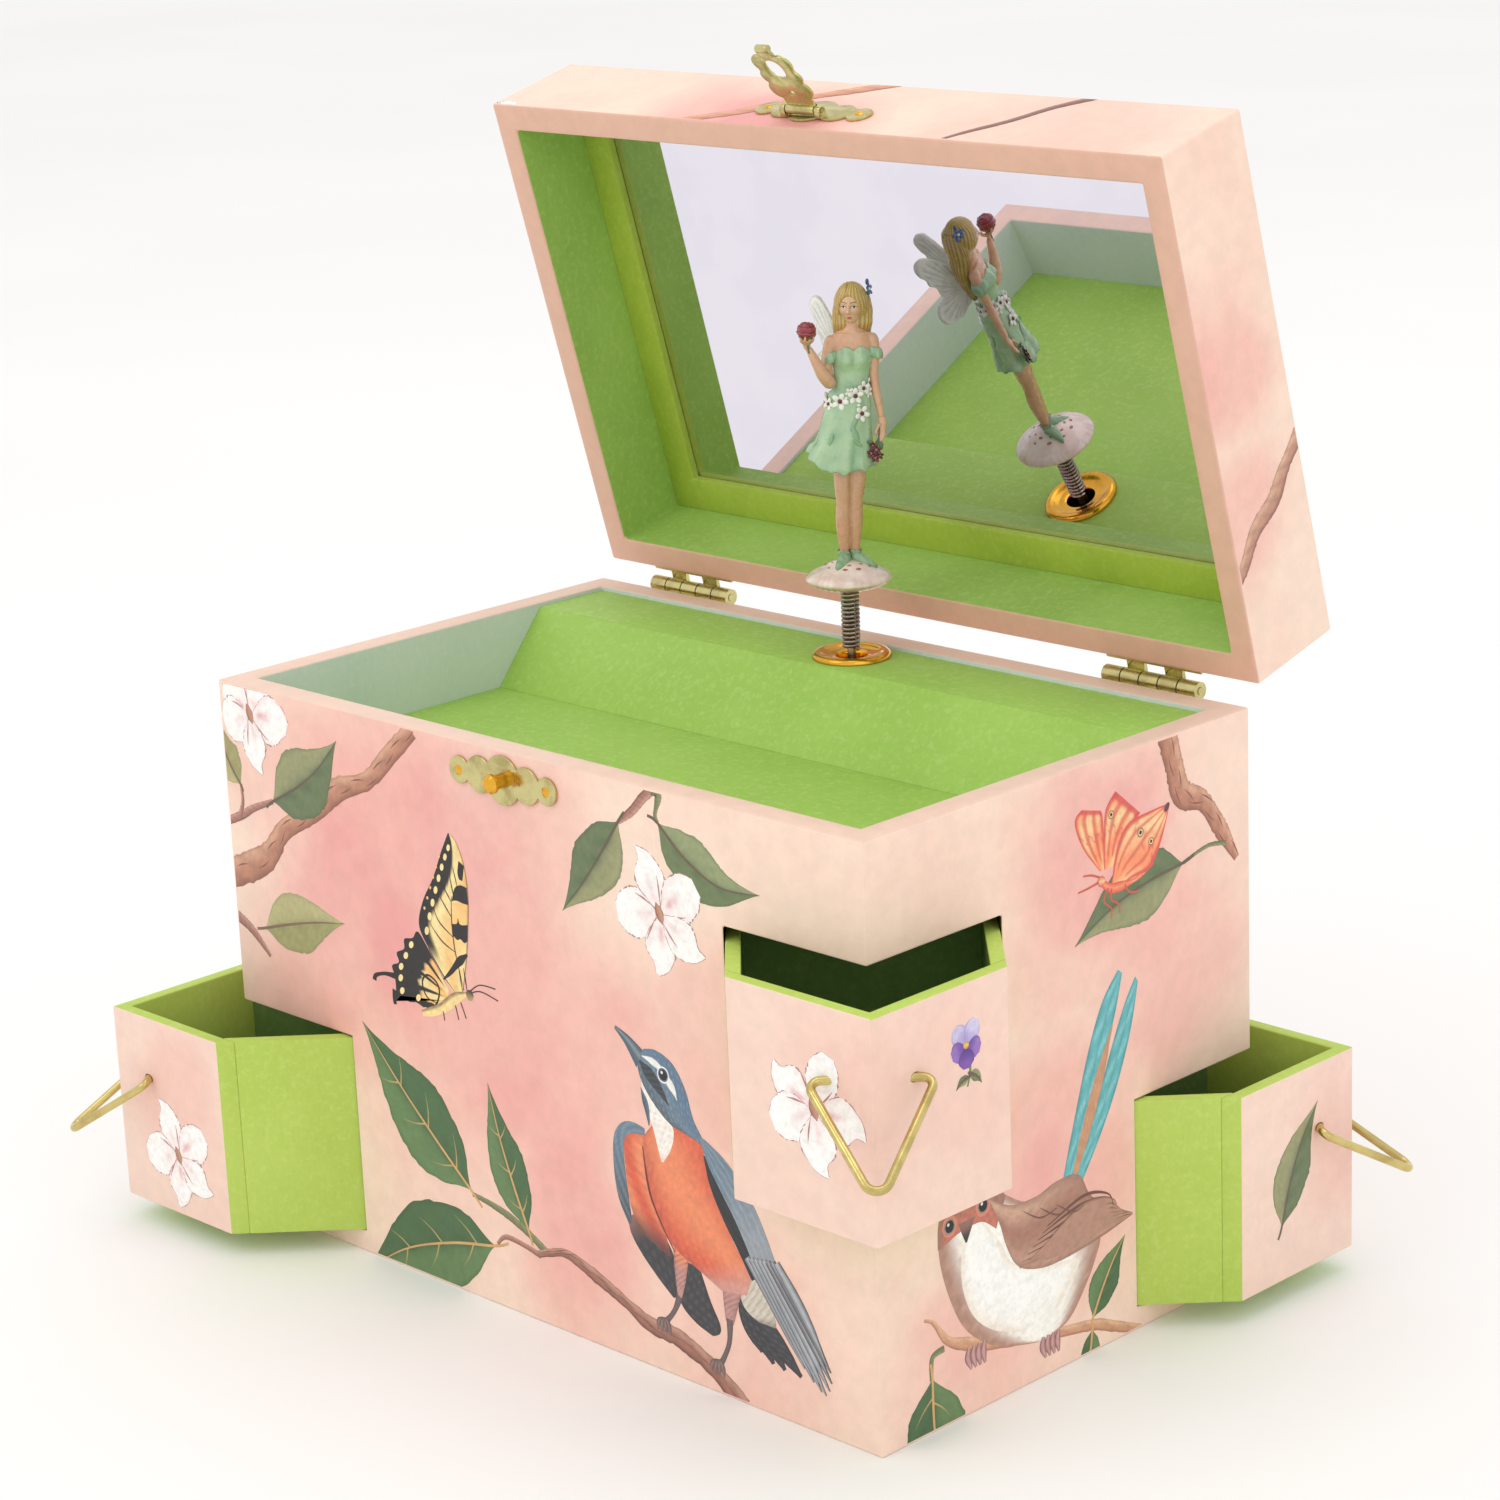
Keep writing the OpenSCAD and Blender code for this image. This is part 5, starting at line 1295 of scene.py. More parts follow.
SIDES = {  # which way each side faces, and which way its right runs for who looks at it
    "front": ((0, -1), (1, 0)),
    "right": ((1, 0), (0, 1)),
    "left": ((-1, 0), (0, -1)),
    "back": ((0, 1), (-1, 0)),
}
INK_X, INK_Y = CASE_L / 2 - 0.6, CASE_W / 2 - 0.6  # how far the pictures on the sides reach


def side_picture(name, side, low, high):
    """A picture on one side of the case or of the shut lid, between two heights."""
    (nx, ny), right = SIDES[side]
    half = INK_X if ny else INK_Y
    at = (nx * CASE_L / 2, ny * CASE_W / 2, 0)
    return Picture(name, at, (*right, 0), (0, 0, 1), (-half, low), (half, high))


def case_pictures():
    front = side_picture("front_picture", "front", 0.6, 121.9)
    branch(front, [(-97, 78), (-83, 84.5), (-76, 92), (-66, 98), (-57, 104.5), (-46.5, 108.5),
                   (-39, 115), (-31, 122)],
           [3.2, 3.4, 2.4, 2.4, 2.9, 2.0, 2.2, 2.0])
    branch(front, [(-97, 90), (-90, 93), (-86, 95.2), (-79, 98)], [0.9, 1.0, 0.8, 0.6],
           marks=False, tones=TWIG)
    branch(front, [(-91, 92.5), (-89.6, 96), (-89.8, 100)], [0.7, 0.5, 0.4], marks=False, tones=TWIG)
    leaf(front, (-79, 98), (-55.8, 115.4), 7.6, -0.06, 3)
    leaf(front, (-89.8, 99.8), (-96, 114), 4.4, 0.10, 2)
    flower(front, (-84.7, 116.5), BLOOM_B)
    branch(front, [(-97, 70), (-90, 67), (-84, 62)], [1.3, 1.1, 0.5], marks=False, tones=TWIG)
    leaf(front, (-85.2, 68.2), (-57.4, 75), 6.6, 0.02, 2)
    branch(front, [(39.4, 122), (37, 120), (34, 117), (30, 114)], [1.1, 1.0, 0.9, 0.5],
           marks=False, tones=TWIG)
    branch(front, [(39.6, 122), (41.6, 121.6), (40.5, 117.6), (41, 116)], [0.8, 0.9, 0.5, 0.5],
           marks=False, tones=STEM)
    leaf(front, (30, 114.2), (12.4, 92.4), 6.2, 0.02, 3)
    leaf(front, (41, 116), (68, 106.8), 5.6, -0.14, 0)
    flower(front, (40.4, 97.6), BLOOM_A)
    swallowtail(front, (-22, 67))
    branch(front, [(-14, 13.9), (-11.2, 16.2), (-6, 16), (-0.5, 15)], [0.4, 0.6, 0.6, 0.7],
           marks=False, tones=TWIG)
    branch(front, [(-21, 23.2), (-15, 22.4), (-9, 21), (-3, 18.6), (1.5, 16.2)], [0.5, 0.7, 0.9, 0.9, 0.9],
           marks=False, tones=STEM)
    branch(front, [(-1, 15.2), (3, 16.6), (8, 17.6), (16.6, 15), (25.5, 11.6), (32, 9), (39.4, 8.6),
                   (49.3, 5), (58, -1)], [0.8, 1.0, 1.5, 1.3, 1.9, 2.1, 2.0, 2.4],
           tones=(lin(166, 116, 100), lin(200, 156, 136), lin(110, 72, 62)))
    leaf(front, (-21.4, 23.9), (-53.8, 54), 9.4, 0.02, 1, 3)
    leaf(front, (-3.8, 19.6), (-14, 49.6), 5.6, 0.03, 1, 3)
    leaf(front, (-14.8, 13.2), (-58, -4), 9.6, -0.06, 1, 3)
    songbird(front)
    front.finish("case")

    right = side_picture("right_picture", "right", 0.6, 121.9)
    branch(right, [(30.2, 124), (32.6, 116), (35, 109.6), (41.4, 106.6), (46.5, 100.2), (52.2, 92)],
           [3.0, 2.7, 2.9, 2.0, 2.0, 0.9])
    branch(right, [(48.8, 96), (44, 96.8), (40.3, 96.4), (35.2, 95.2)], [0.5, 0.45, 0.4, 0.4],
           marks=False, tones=STEM)
    leaf(right, (35.2, 95.2), (1.8, 86.6), 7.2, -0.06, 3)
    brushwing(right, (10.6, 97))
    branch(right, [(-44, 24), (-41.4, 22.6), (-38, 18), (-34, 15.8), (-24, 12.4), (-13, 9.6), (-2.7, 7.4),
                   (5.7, 5.8), (12, 3.2), (20, 0)],
           [0.3, 0.9, 1.5, 1.3, 1.1, 1.1, 1.2, 1.2, 0.9],
           tones=(lin(212, 158, 122), lin(232, 190, 154), lin(168, 114, 92)), marks=False)
    branch(right, [(-38.6, 16.4), (-42, 15.6), (-42.4, 11)], [0.7, 0.6, 0.5], marks=False, tones=STEM)
    leaf(right, (-42.2, 11.4), (-38.4, -20), 8.4, -0.04, 1, 2)
    leaf(right, (5.2, 7.3), (15.6, 22), 4.2, 0.04, 1, 0)
    leaf(right, (5, 5), (1.4, -7), 2.8, 0.05, 1, 0)
    wren(right)
    right.finish("case")

    left = side_picture("left_picture", "left", 0.6, 121.9)
    branch(left, [(58, 78), (48, 84), (36, 86), (22, 96), (10, 101), (-4, 105), (-16, 112), (-22, 123)],
           [2.8, 2.4, 2.7, 2.1, 2.2, 1.8, 1.8, 1.4])
    leaf(left, (10, 101), (16, 80), 6.0, 0.06, 0)
    leaf(left, (-4, 105), (-18, 90), 5.4, -0.06, 2)
    leaf(left, (36, 86), (40, 108), 6.0, 0.06, 3)
    flower(left, (22, 111), BLOOM_C, 0.8)
    branch(left, [(-8, -2), (-4, 14), (-6, 30), (2, 44), (4, 56)], [1.6, 1.4, 1.2, 0.9, 0.5], tones=TWIG)
    leaf(left, (-5, 22), (-30, 38), 7.6, 0.04, 1)
    leaf(left, (-4, 34), (17, 30), 6.0, 0.04, 1)
    flower(left, (4, 62), BLOOM_A)
    swallowtail(left, (-2, 76), 0.5)
    left.finish("case")

    back = side_picture("back_picture", "back", 0.6, 108.0)
    branch(back, [(-97, 60), (-80, 63), (-62, 57), (-46, 59), (-28, 62), (-10, 54), (8, 46),
                  (24, 40), (40, 30), (52, 22)],
           [3.2, 2.8, 3.0, 2.4, 2.5, 2.0, 1.9, 1.5, 1.2, 0.6])
    for b, t, w, kind in (((-62, 57), (-78, 82), 8, 1), ((-46, 59), (-38, 82), 6.4, 0),
                          ((-28, 60), (-22, 34), 7.2, 1), ((8, 46), (20, 66), 6, 3),
                          ((24, 40), (20, 16), 6.8, 0), ((40, 30), (56, 40), 5.2, 2)):
        leaf(back, b, t, w, 0.05, kind)
    flower(back, (-42, 28), BLOOM_C)
    flower(back, (40, 88), BLOOM_A, 0.95)
    leaf(back, (46, 80), (52, 60), 5.2, 0.04, 0)
    leaf(back, (32, 96), (14, 106), 5.6, 0.06, 2)
    brushwing(back, (-8, 82), 0.95)
    swallowtail(back, (46, 14), 0.42, -1)
    back.finish("case")


def drawer_pictures():
    for c, (sx, sy, z, out, _) in CORNERS.items():
        d = Vector((sx, sy, 0)).normalized() * out
        tip = Vector((sx * CASE_L / 2, sy * CASE_W / 2, 0)) + d
        # the face along X, then the face along Y
        for axis in "xy":
            right = (-sy, 0, 0) if axis == "x" else (0, sx, 0)
            r = Vector(right)
            # 1 where the picture's right leads away from the corner
            inward = -sx * r.x if axis == "x" else -sy * r.y
            lo, hi = (0.5, 36.2) if inward > 0 else (-36.2, -0.5)
            pic = Picture(f"drawer_picture_{c}_{axis}", tip + Vector((0, 0, z)), right, (0, 0, 1),
                          (lo, 0.5), (hi, 43.7))
            if c == "front_right":
                if axis == "x":
                    flower(pic, (inward * 15, 23.5), BLOOM_C)
                else:
                    violet(pic, (inward * 25, 32), 0.62)
            elif c == "front_left":
                flower(pic, (inward * 20, 14), BLOOM_A, 0.95) if axis == "x" else leaf(pic, (inward * 22, 14),
                        (inward * 10, 36), 5.5, 0.06, 1)
            elif c == "back_right":
                leaf(pic, (inward * 24, 12), (inward * 12, 36), 5.5, 0.06, 3) if axis == "y" else flower(pic,
                        (inward * 17, 20), BLOOM_B, 0.85)
            else:
                violet(pic, (inward * 19, 26), 0.7) if axis == "x" else flower(pic,
                        (inward * 18, 22), BLOOM_C, 0.85)
            pic.finish("drawer_" + c)


def lid_pictures():
    z0, z1 = RIM_Z + 0.6, RIM_Z + LID_H - 0.6
    front = side_picture("lid_front_picture", "front", z0, z1)
    flower(front, (-93, 118), BLOOM_B, 0.85)
    branch(front, [(-36, 120), (-31, 124), (-22, 129), (-15, 136), (-2, 144), (8, 149)],
           [1.7, 1.6, 1.9, 1.5, 2.0, 1.2],
           tones=PALE_BARK, marks=False)
    branch(front, [(38, 121), (42, 127), (48, 134), (53, 142), (60, 149)], [0.5, 0.9, 1.0, 1.1, 1.3],
           tones=(lin(134, 92, 80), lin(180, 136, 120), lin(92, 58, 52)), marks=False)
    front.finish("lid", LID_SWING)
    right = side_picture("lid_right_picture", "right", z0, z1)
    branch(right, [(34, 121), (31, 125), (25.5, 130), (22, 137), (17, 142), (11, 150)],
           [1.5, 1.6, 2.0, 2.1, 1.6, 2.2], tones=(lin(196, 146, 122), lin(222, 178, 152), lin(134, 88, 78)),
           marks=False)
    right.finish("lid", LID_SWING)
    left = side_picture("lid_left_picture", "left", z0, z1)
    branch(left, [(-60, 132), (-40, 128), (-20, 134), (0, 132), (14, 138)], [1.8, 1.6, 1.3, 1.0, 0.4],
           tones=TWIG, marks=False)
    leaf(left, (0, 132), (22, 128), 4.6, 0.06, 1, 2)
    leaf(left, (-20, 134), (-8, 145), 3.4, 0.06, 3)
    left.finish("lid", LID_SWING)
    top = Picture("lid_top_picture", (0, 0, RIM_Z + LID_H), (1, 0, 0), (0, 1, 0),
                  (-94.2, -55.7), (94.2, 55.7))
    branch(top, [(97, 44), (80, 40), (64, 30), (46, 28), (28, 20), (10, 22), (-6, 14), (-20, 12), (-32, 4)],
           [3.4, 3.0, 3.2, 2.6, 2.7, 2.1, 1.9, 1.4, 0.6])
    branch(top, [(10, -58), (6, -44), (-4, -34), (-12, -22)], [2.0, 1.6, 1.3, 0.6], tones=PALE_BARK)
    for b, t, w, kind in (((64, 30), (52, 8), 7.4, 1), ((46, 28), (36, 50), 7.0, 0),
                          ((28, 20), (14, -4), 7.6, 1), ((10, 22), (4, 44), 6.4, 3),
                          ((-6, 14), (-22, -8), 7.0, 0),
                          ((-12, -22), (-38, -34), 7.4, 1), ((-4, -34), (20, -38), 5.8, 2),
                          ((80, 40), (86, 16), 6.0, 3)):
        leaf(top, b, t, w, 0.05, kind)
    flower(top, (-44, 12), BLOOM_A, 1.15)
    flower(top, (-68, -30), BLOOM_C, 1.05)
    flower(top, (70, -2), BLOOM_B, 1.0)
    swallowtail(top, (48, -44), 0.8)
    brushwing(top, (-64, 26), 0.95)
    top.finish("lid", LID_SWING)
    back = side_picture("lid_back_picture", "back", RIM_Z + 6, z1)
    branch(back, [(-97, 136), (-70, 140), (-44, 134), (-16, 140), (14, 137), (40, 141)],
           [1.8, 1.9, 1.5, 1.6, 1.2, 0.5], tones=TWIG, marks=False)
    back.finish("lid", LID_SWING)


case_pictures()
drawer_pictures()
lid_pictures()


# ---------------------------------------------------------------- fairy on her toadstool

FIGURE_AT = Matrix.Translation((0, FIGURE_Y, FIGURE_Z)) @ Matrix.Rotation(math.radians(52), 4, "Z")
SKIN = lin(222, 178, 142)
SKIN_SHADE = lin(176, 124, 90)
SKIN_PINK = lin(224, 158, 132)
MINT = lin(166, 200, 164)
MINT_DARK = lin(104, 146, 108)
MINT_HIGHLIGHT = lin(196, 222, 186)
BLOND = lin(206, 170, 96)
BLOND_DARK = lin(142, 108, 48)
BLOND_HIGHLIGHT = lin(234, 206, 140)
WHITE_PAINT = lin(246, 244, 238)


def gauss(x, y, sx, sy):
    return math.exp(-(x / sx) ** 2 - (y / sy) ** 2)


def along(table, z):
    """Values read between the rows of a table that starts with z, smoothly."""
    for a, b in zip(table, table[1:]):
        if (a[0] - z) * (b[0] - z) <= 0:
            t = (z - a[0]) / (b[0] - a[0])
            t = t * t * (3 - 2 * t) * 0.5 + t * 0.5
            return [p + (q - p) * t for p, q in zip(a[1:], b[1:])]
    return list((table[0] if abs(z - table[0][0]) < abs(z - table[-1][0]) else table[-1])[1:])


class Clay:
    """Closed painted shapes gathered into one mesh, in the figure's own axes."""

    def __init__(self, place=None):
        self.verts, self.faces, self.cols = [], [], []
        self.place = place or Matrix.Identity(4)

    def add(self, verts, faces, colour, place=None):
        base = len(self.verts)
        m = self.place @ place if place else self.place
        for v in verts:
            v = Vector(v)
            self.verts.append(m @ v)
            self.cols.append(colour(v) if callable(colour) else colour)
        self.faces += [tuple(base + i for i in f) for f in faces]

    def blob(self, centre, radii, colour, n=14, turn=None):
        verts, faces = ball_data(radii, n)
        self.add(verts, faces, colour, Matrix.Translation(Vector(centre)) @ (turn or Matrix.Identity(4)))

    def tube(self, points, radii, colour, sides=12, steps=6, flat=1.0, up=None):
        path = catmull(points, steps)
        n = len(path) - 1
        r = ([q.x for q in catmull([(a, 0, 0) for a in radii], steps)] if len(radii) > 1
             else [radii[0]] * (n + 1))
        r = [max(0.02, x) for x in r]
        verts, faces = tube_data(path, r, sides, flat, up)
        self.add(verts, faces, colour)

    def done(self, name, material, body, *nodes):
        ob = add_object(name, [FIGURE_AT @ v for v in self.verts], self.faces, material, True, self.cols)
        bm = bmesh.new()
        bm.from_mesh(ob.data)
        bmesh.ops.recalc_face_normals(bm, faces=bm.faces)
        bm.to_mesh(ob.data)
        bm.free()
        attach(ob, body)
        if nodes:
            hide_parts(*nodes)
        return ob


def ball_data(radii, n=14):
    """A closed ball of n rings with the given radii; the poles are along Z."""
    m = 2 * n
    verts, faces = [Vector((0, 0, radii[2]))], []
    for i in range(1, n):
        a = math.pi * i / n
        for k in range(m):
            b = 2 * math.pi * k / m
            verts.append(Vector((radii[0] * math.sin(a) * math.cos(b), radii[1] * math.sin(a) * math.sin(b),
                                 radii[2] * math.cos(a))))
    verts.append(Vector((0, 0, -radii[2])))
    for k in range(m):
        q = (k + 1) % m
        faces.append((0, 1 + k, 1 + q))
        faces += [(1 + i * m + k, 1 + (i + 1) * m + k, 1 + (i + 1) * m + q, 1 + i * m + q)
                  for i in range(n - 2)]
        faces.append((1 + (n - 2) * m + k, len(verts) - 1, 1 + (n - 2) * m + q))
    return verts, faces


# z, centre x, centre y, half width, half depth of the dress
DRESS = [(46.0, 2.3, 0.05, 3.95, 2.55), (44.6, 2.3, 0.0, 4.2, 2.75), (42.8, 2.3, -0.05, 4.2, 2.8),
         (40.4, 2.0, 0.0, 3.85, 2.45), (37.6, 1.75, 0.0, 3.75, 2.35), (35.4, 1.35, 0.05, 4.45, 2.85),
         (33.0, 1.0, 0.1, 4.95, 3.3), (29.5, 0.6, 0.15, 5.35, 3.75), (26.0, 0.1, 0.2, 5.85, 4.2),
         (22.5, -0.4, 0.25, 6.5, 4.75), (19.6, -0.7, 0.3, 7.0, 5.25)]


def dress_point(a, z, out=0.0):
    cx, cy, rx, ry = along(DRESS, z)
    fold = smooth(34, 20, z)
    left = max(0.0, -math.cos(a)) ** 3
    r = 1 + fold * (0.045 * math.sin(7 * a + 0.7 + 1.6 * math.sin(z * 0.13))
                    + 0.022 * math.sin(13 * a + 2.0)) + 0.06 * left * fold
    x, y = cx + rx * r * math.cos(a), cy + ry * r * math.sin(a)
    if math.sin(a) < 0:
        for s in (-1, 1):
            y -= 0.95 * gauss(x - 2.35 - s * 1.75, z - 43.2, 1.35, 1.7)
        y += 0.25 * gauss(x - 2.3, z - 43.4, 0.5, 1.6)
    else:
        y += 0.9 * gauss(x - 1.0, z - 32.6, 3.6, 3.2)
    n = Vector((math.cos(a) / rx, math.sin(a) / ry, 0)).normalized()
    return Vector((x, y, z)) + n * out, n


def make_dress():
    clay = Clay()
    n, rings = 160, []
    levels = [46.0 - 26.4 * (i / 88) for i in range(89)]

    def top_edge(a):
        x = 2.3 + 4.0 * math.cos(a)
        front = max(0.0, -math.sin(a))
        return -0.9 + front * (0.85 * (gauss(x - 0.55, 0, 1.3, 1) + gauss(x - 4.05, 0, 1.3, 1))
                               - 0.35 * gauss(x - 2.3, 0, 0.4, 1)) \
            - 0.6 * max(0.0, math.sin(a))

    def hem_edge(a):
        left = max(0.0, -math.cos(a + 0.15)) ** 2.2
        return 3.6 * left + 0.6 * max(0.0, math.cos(a)) + 0.28 * math.sin(9 * a) + 0.16 * math.sin(17 * a + 1)

    for z in levels:
        ring = []
        for k in range(n):
            a = 2 * math.pi * k / n
            zz = z + top_edge(a) * smooth(43.2, 46.0, z) + hem_edge(a) * smooth(27.0, 19.6, z)
            ring.append(dress_point(a, z)[0].xy.to_3d() + Vector((0, 0, zz)))
        rings.append(ring)
    # a small bead along the neckline, then the hem turned in, and the inside of the skirt
    c0 = sum((v for v in rings[0]), Vector()) / n
    inner_top = [v.lerp(Vector((c0.x, c0.y, v.z)), 0.10) + Vector((0, 0, 0.12)) for v in rings[0]]
    deep_top = [v.lerp(Vector((c0.x, c0.y, v.z)), 0.18) - Vector((0, 0, 0.9)) for v in rings[0]]
    hem = rings[-1]
    c1 = sum((v for v in hem), Vector()) / n
    under = [v.lerp(Vector((c1.x, c1.y, v.z)), 0.05) - Vector((0, 0, 0.16)) for v in hem]
    up1 = [v.lerp(Vector((c1.x, c1.y, v.z)), 0.13) + Vector((0, 0, 0.9)) for v in hem]
    up2 = [v.lerp(Vector((c1.x, c1.y, v.z)), 0.45) + Vector((0, 0, 4.2)) for v in hem]
    rings = [deep_top, inner_top] + rings + [under, up1, up2]
    verts, faces = loft_data(rings)

    def tone(v):
        a = math.atan2((v.y - 0.2) / 5.0, (v.x - 0.2) / 6.5)
        fold = math.sin(7 * a + 0.7 + 1.6 * math.sin(v.z * 0.13))
        # painted shade in the fold hollows and painted highlight on the fold ridges down the skirt; then a
        # darker band at the waist and a darker hem edge
        c = mix(MINT, MINT_DARK, 0.34 * smooth(0.1, -1.0, fold) * smooth(36, 24, v.z))
        c = mix(c, MINT_HIGHLIGHT, 0.35 * smooth(0.3, 1.0, fold) * smooth(36, 24, v.z))
        c = mix(c, MINT_DARK, 0.40 * gauss(v.z - 37.4, 0, 1.3, 1) + 0.35 * smooth(20.4, 19.4, v.z - 0.6))
        return mix(c, lin(190, 210, 168), 0.35 * smooth(0.2, 0.8, noise.noise(v * 0.45) + 0.5))
    clay.add(verts, faces, tone)
    # off-the-shoulder sleeves: ruffled bands round the tops of the arms
    for s, cx, cz in ((-1, -2.3, 43.6), (1, 6.95, 44.2)):
        rings = []
        for i in range(9):
            t = i / 8
            ring = []
            for k in range(28):
                a = 2 * math.pi * k / 28
                r = 1.55 + 0.32 * math.sin(math.pi * t) + 0.16 * t * math.sin(5 * a + 1.2)
                ring.append(Vector((cx + s * 0.35 * t + r * math.cos(a) * 0.86,
                                    -0.05 + r * math.sin(a) * 1.02,
                                    cz + 1.25 - 2.4 * t - s * 0.28 * math.cos(a) * 1.2)))
            rings.append(ring)
        verts, faces = loft_data(rings)
        clay.add(verts, faces, lambda v: mix(MINT, MINT_DARK,
                                             0.5 * (0.5 + 0.5 * math.sin(v.x * 5 + v.y * 4)) ** 2))
    # leaves in low relief on the skirt
    for a0, z0, size, lean in ((-72, 27.2, 2.0, 0.3), (-80, 29.6, 1.7, -0.5), (-64, 25.4, 1.5, 0.8),
                               (-128, 26.5, 1.6, -0.4), (40, 28.5, 1.8, 0.2)):
        p, nrm = dress_point(math.radians(a0), z0, 0.05)
        turn = nrm.to_track_quat("Z", "Y").to_matrix().to_4x4() @ Matrix.Rotation(lean, 4, "Z")
        clay.blob(p, (size * 0.32, size, 0.22), mix(MINT, MINT_DARK, 0.45), 8, turn)
    clay.done("figure_dress", GLAZE, "figure")


def bloom(clay, place, size, petal, core, petals=5, cup=0.25):
    """A small raised flower that faces +Z of place."""
    for k in range(petals):
        a = 2 * math.pi * k / petals + 0.3
        turn = (Matrix.Rotation(a, 4, "Z") @ Matrix.Translation((size * 0.56, 0, size * 0.10))
                @ Matrix.Rotation(-cup, 4, "Y"))
        verts, faces = ball_data((size * 0.42, size * 0.30, size * 0.15), 8)
        clay.add(verts, faces, petal, place @ turn)
    verts, faces = ball_data((size * 0.24, size * 0.24, size * 0.22), 8)
    clay.add(verts, faces, core, place @ Matrix.Translation((0, 0, size * 0.12)))


def make_belt():
    clay = Clay()
    dark = lin(96, 34, 34)
    for a, z, size in ((-155, 34.0, 1.5), (-119, 34.6, 2.0), (-96, 36.4, 1.1), (-79, 35.6, 1.9),
                       (-52, 37.0, 1.7), (-60, 31.8, 1.9),
                       (-30, 36.0, 1.3), (-14, 37.6, 1.6), (18, 37.0, 1.8), (52, 36.4, 1.7),
                       (84, 35.8, 1.9), (118, 35.2, 1.7),
                       (150, 34.6, 1.8), (182, 34.2, 1.6)):
        p, nrm = dress_point(math.radians(a), z, 0.06)
        place = (Matrix.Translation(p) @ nrm.to_track_quat("Z", "Y").to_matrix().to_4x4()
                 @ Matrix.Rotation(a * 0.7, 4, "Z"))
        bloom(clay, place, size, WHITE_PAINT, dark if size > 1.4 else lin(206, 190, 150))
    for a, z in ((-136, 33.6), (-104, 35.2), (-66, 36.6), (-68, 33.6), (0, 37.2), (35, 36.6), (68, 36.0),
                 (100, 35.4), (134, 34.8), (-172, 33.8)):
        p, nrm = dress_point(math.radians(a), z, 0.05)
        clay.blob(p, (0.42, 0.42, 0.34), WHITE_PAINT, 6)
    clay.done("belt_blossoms", GLAZE, "figure")


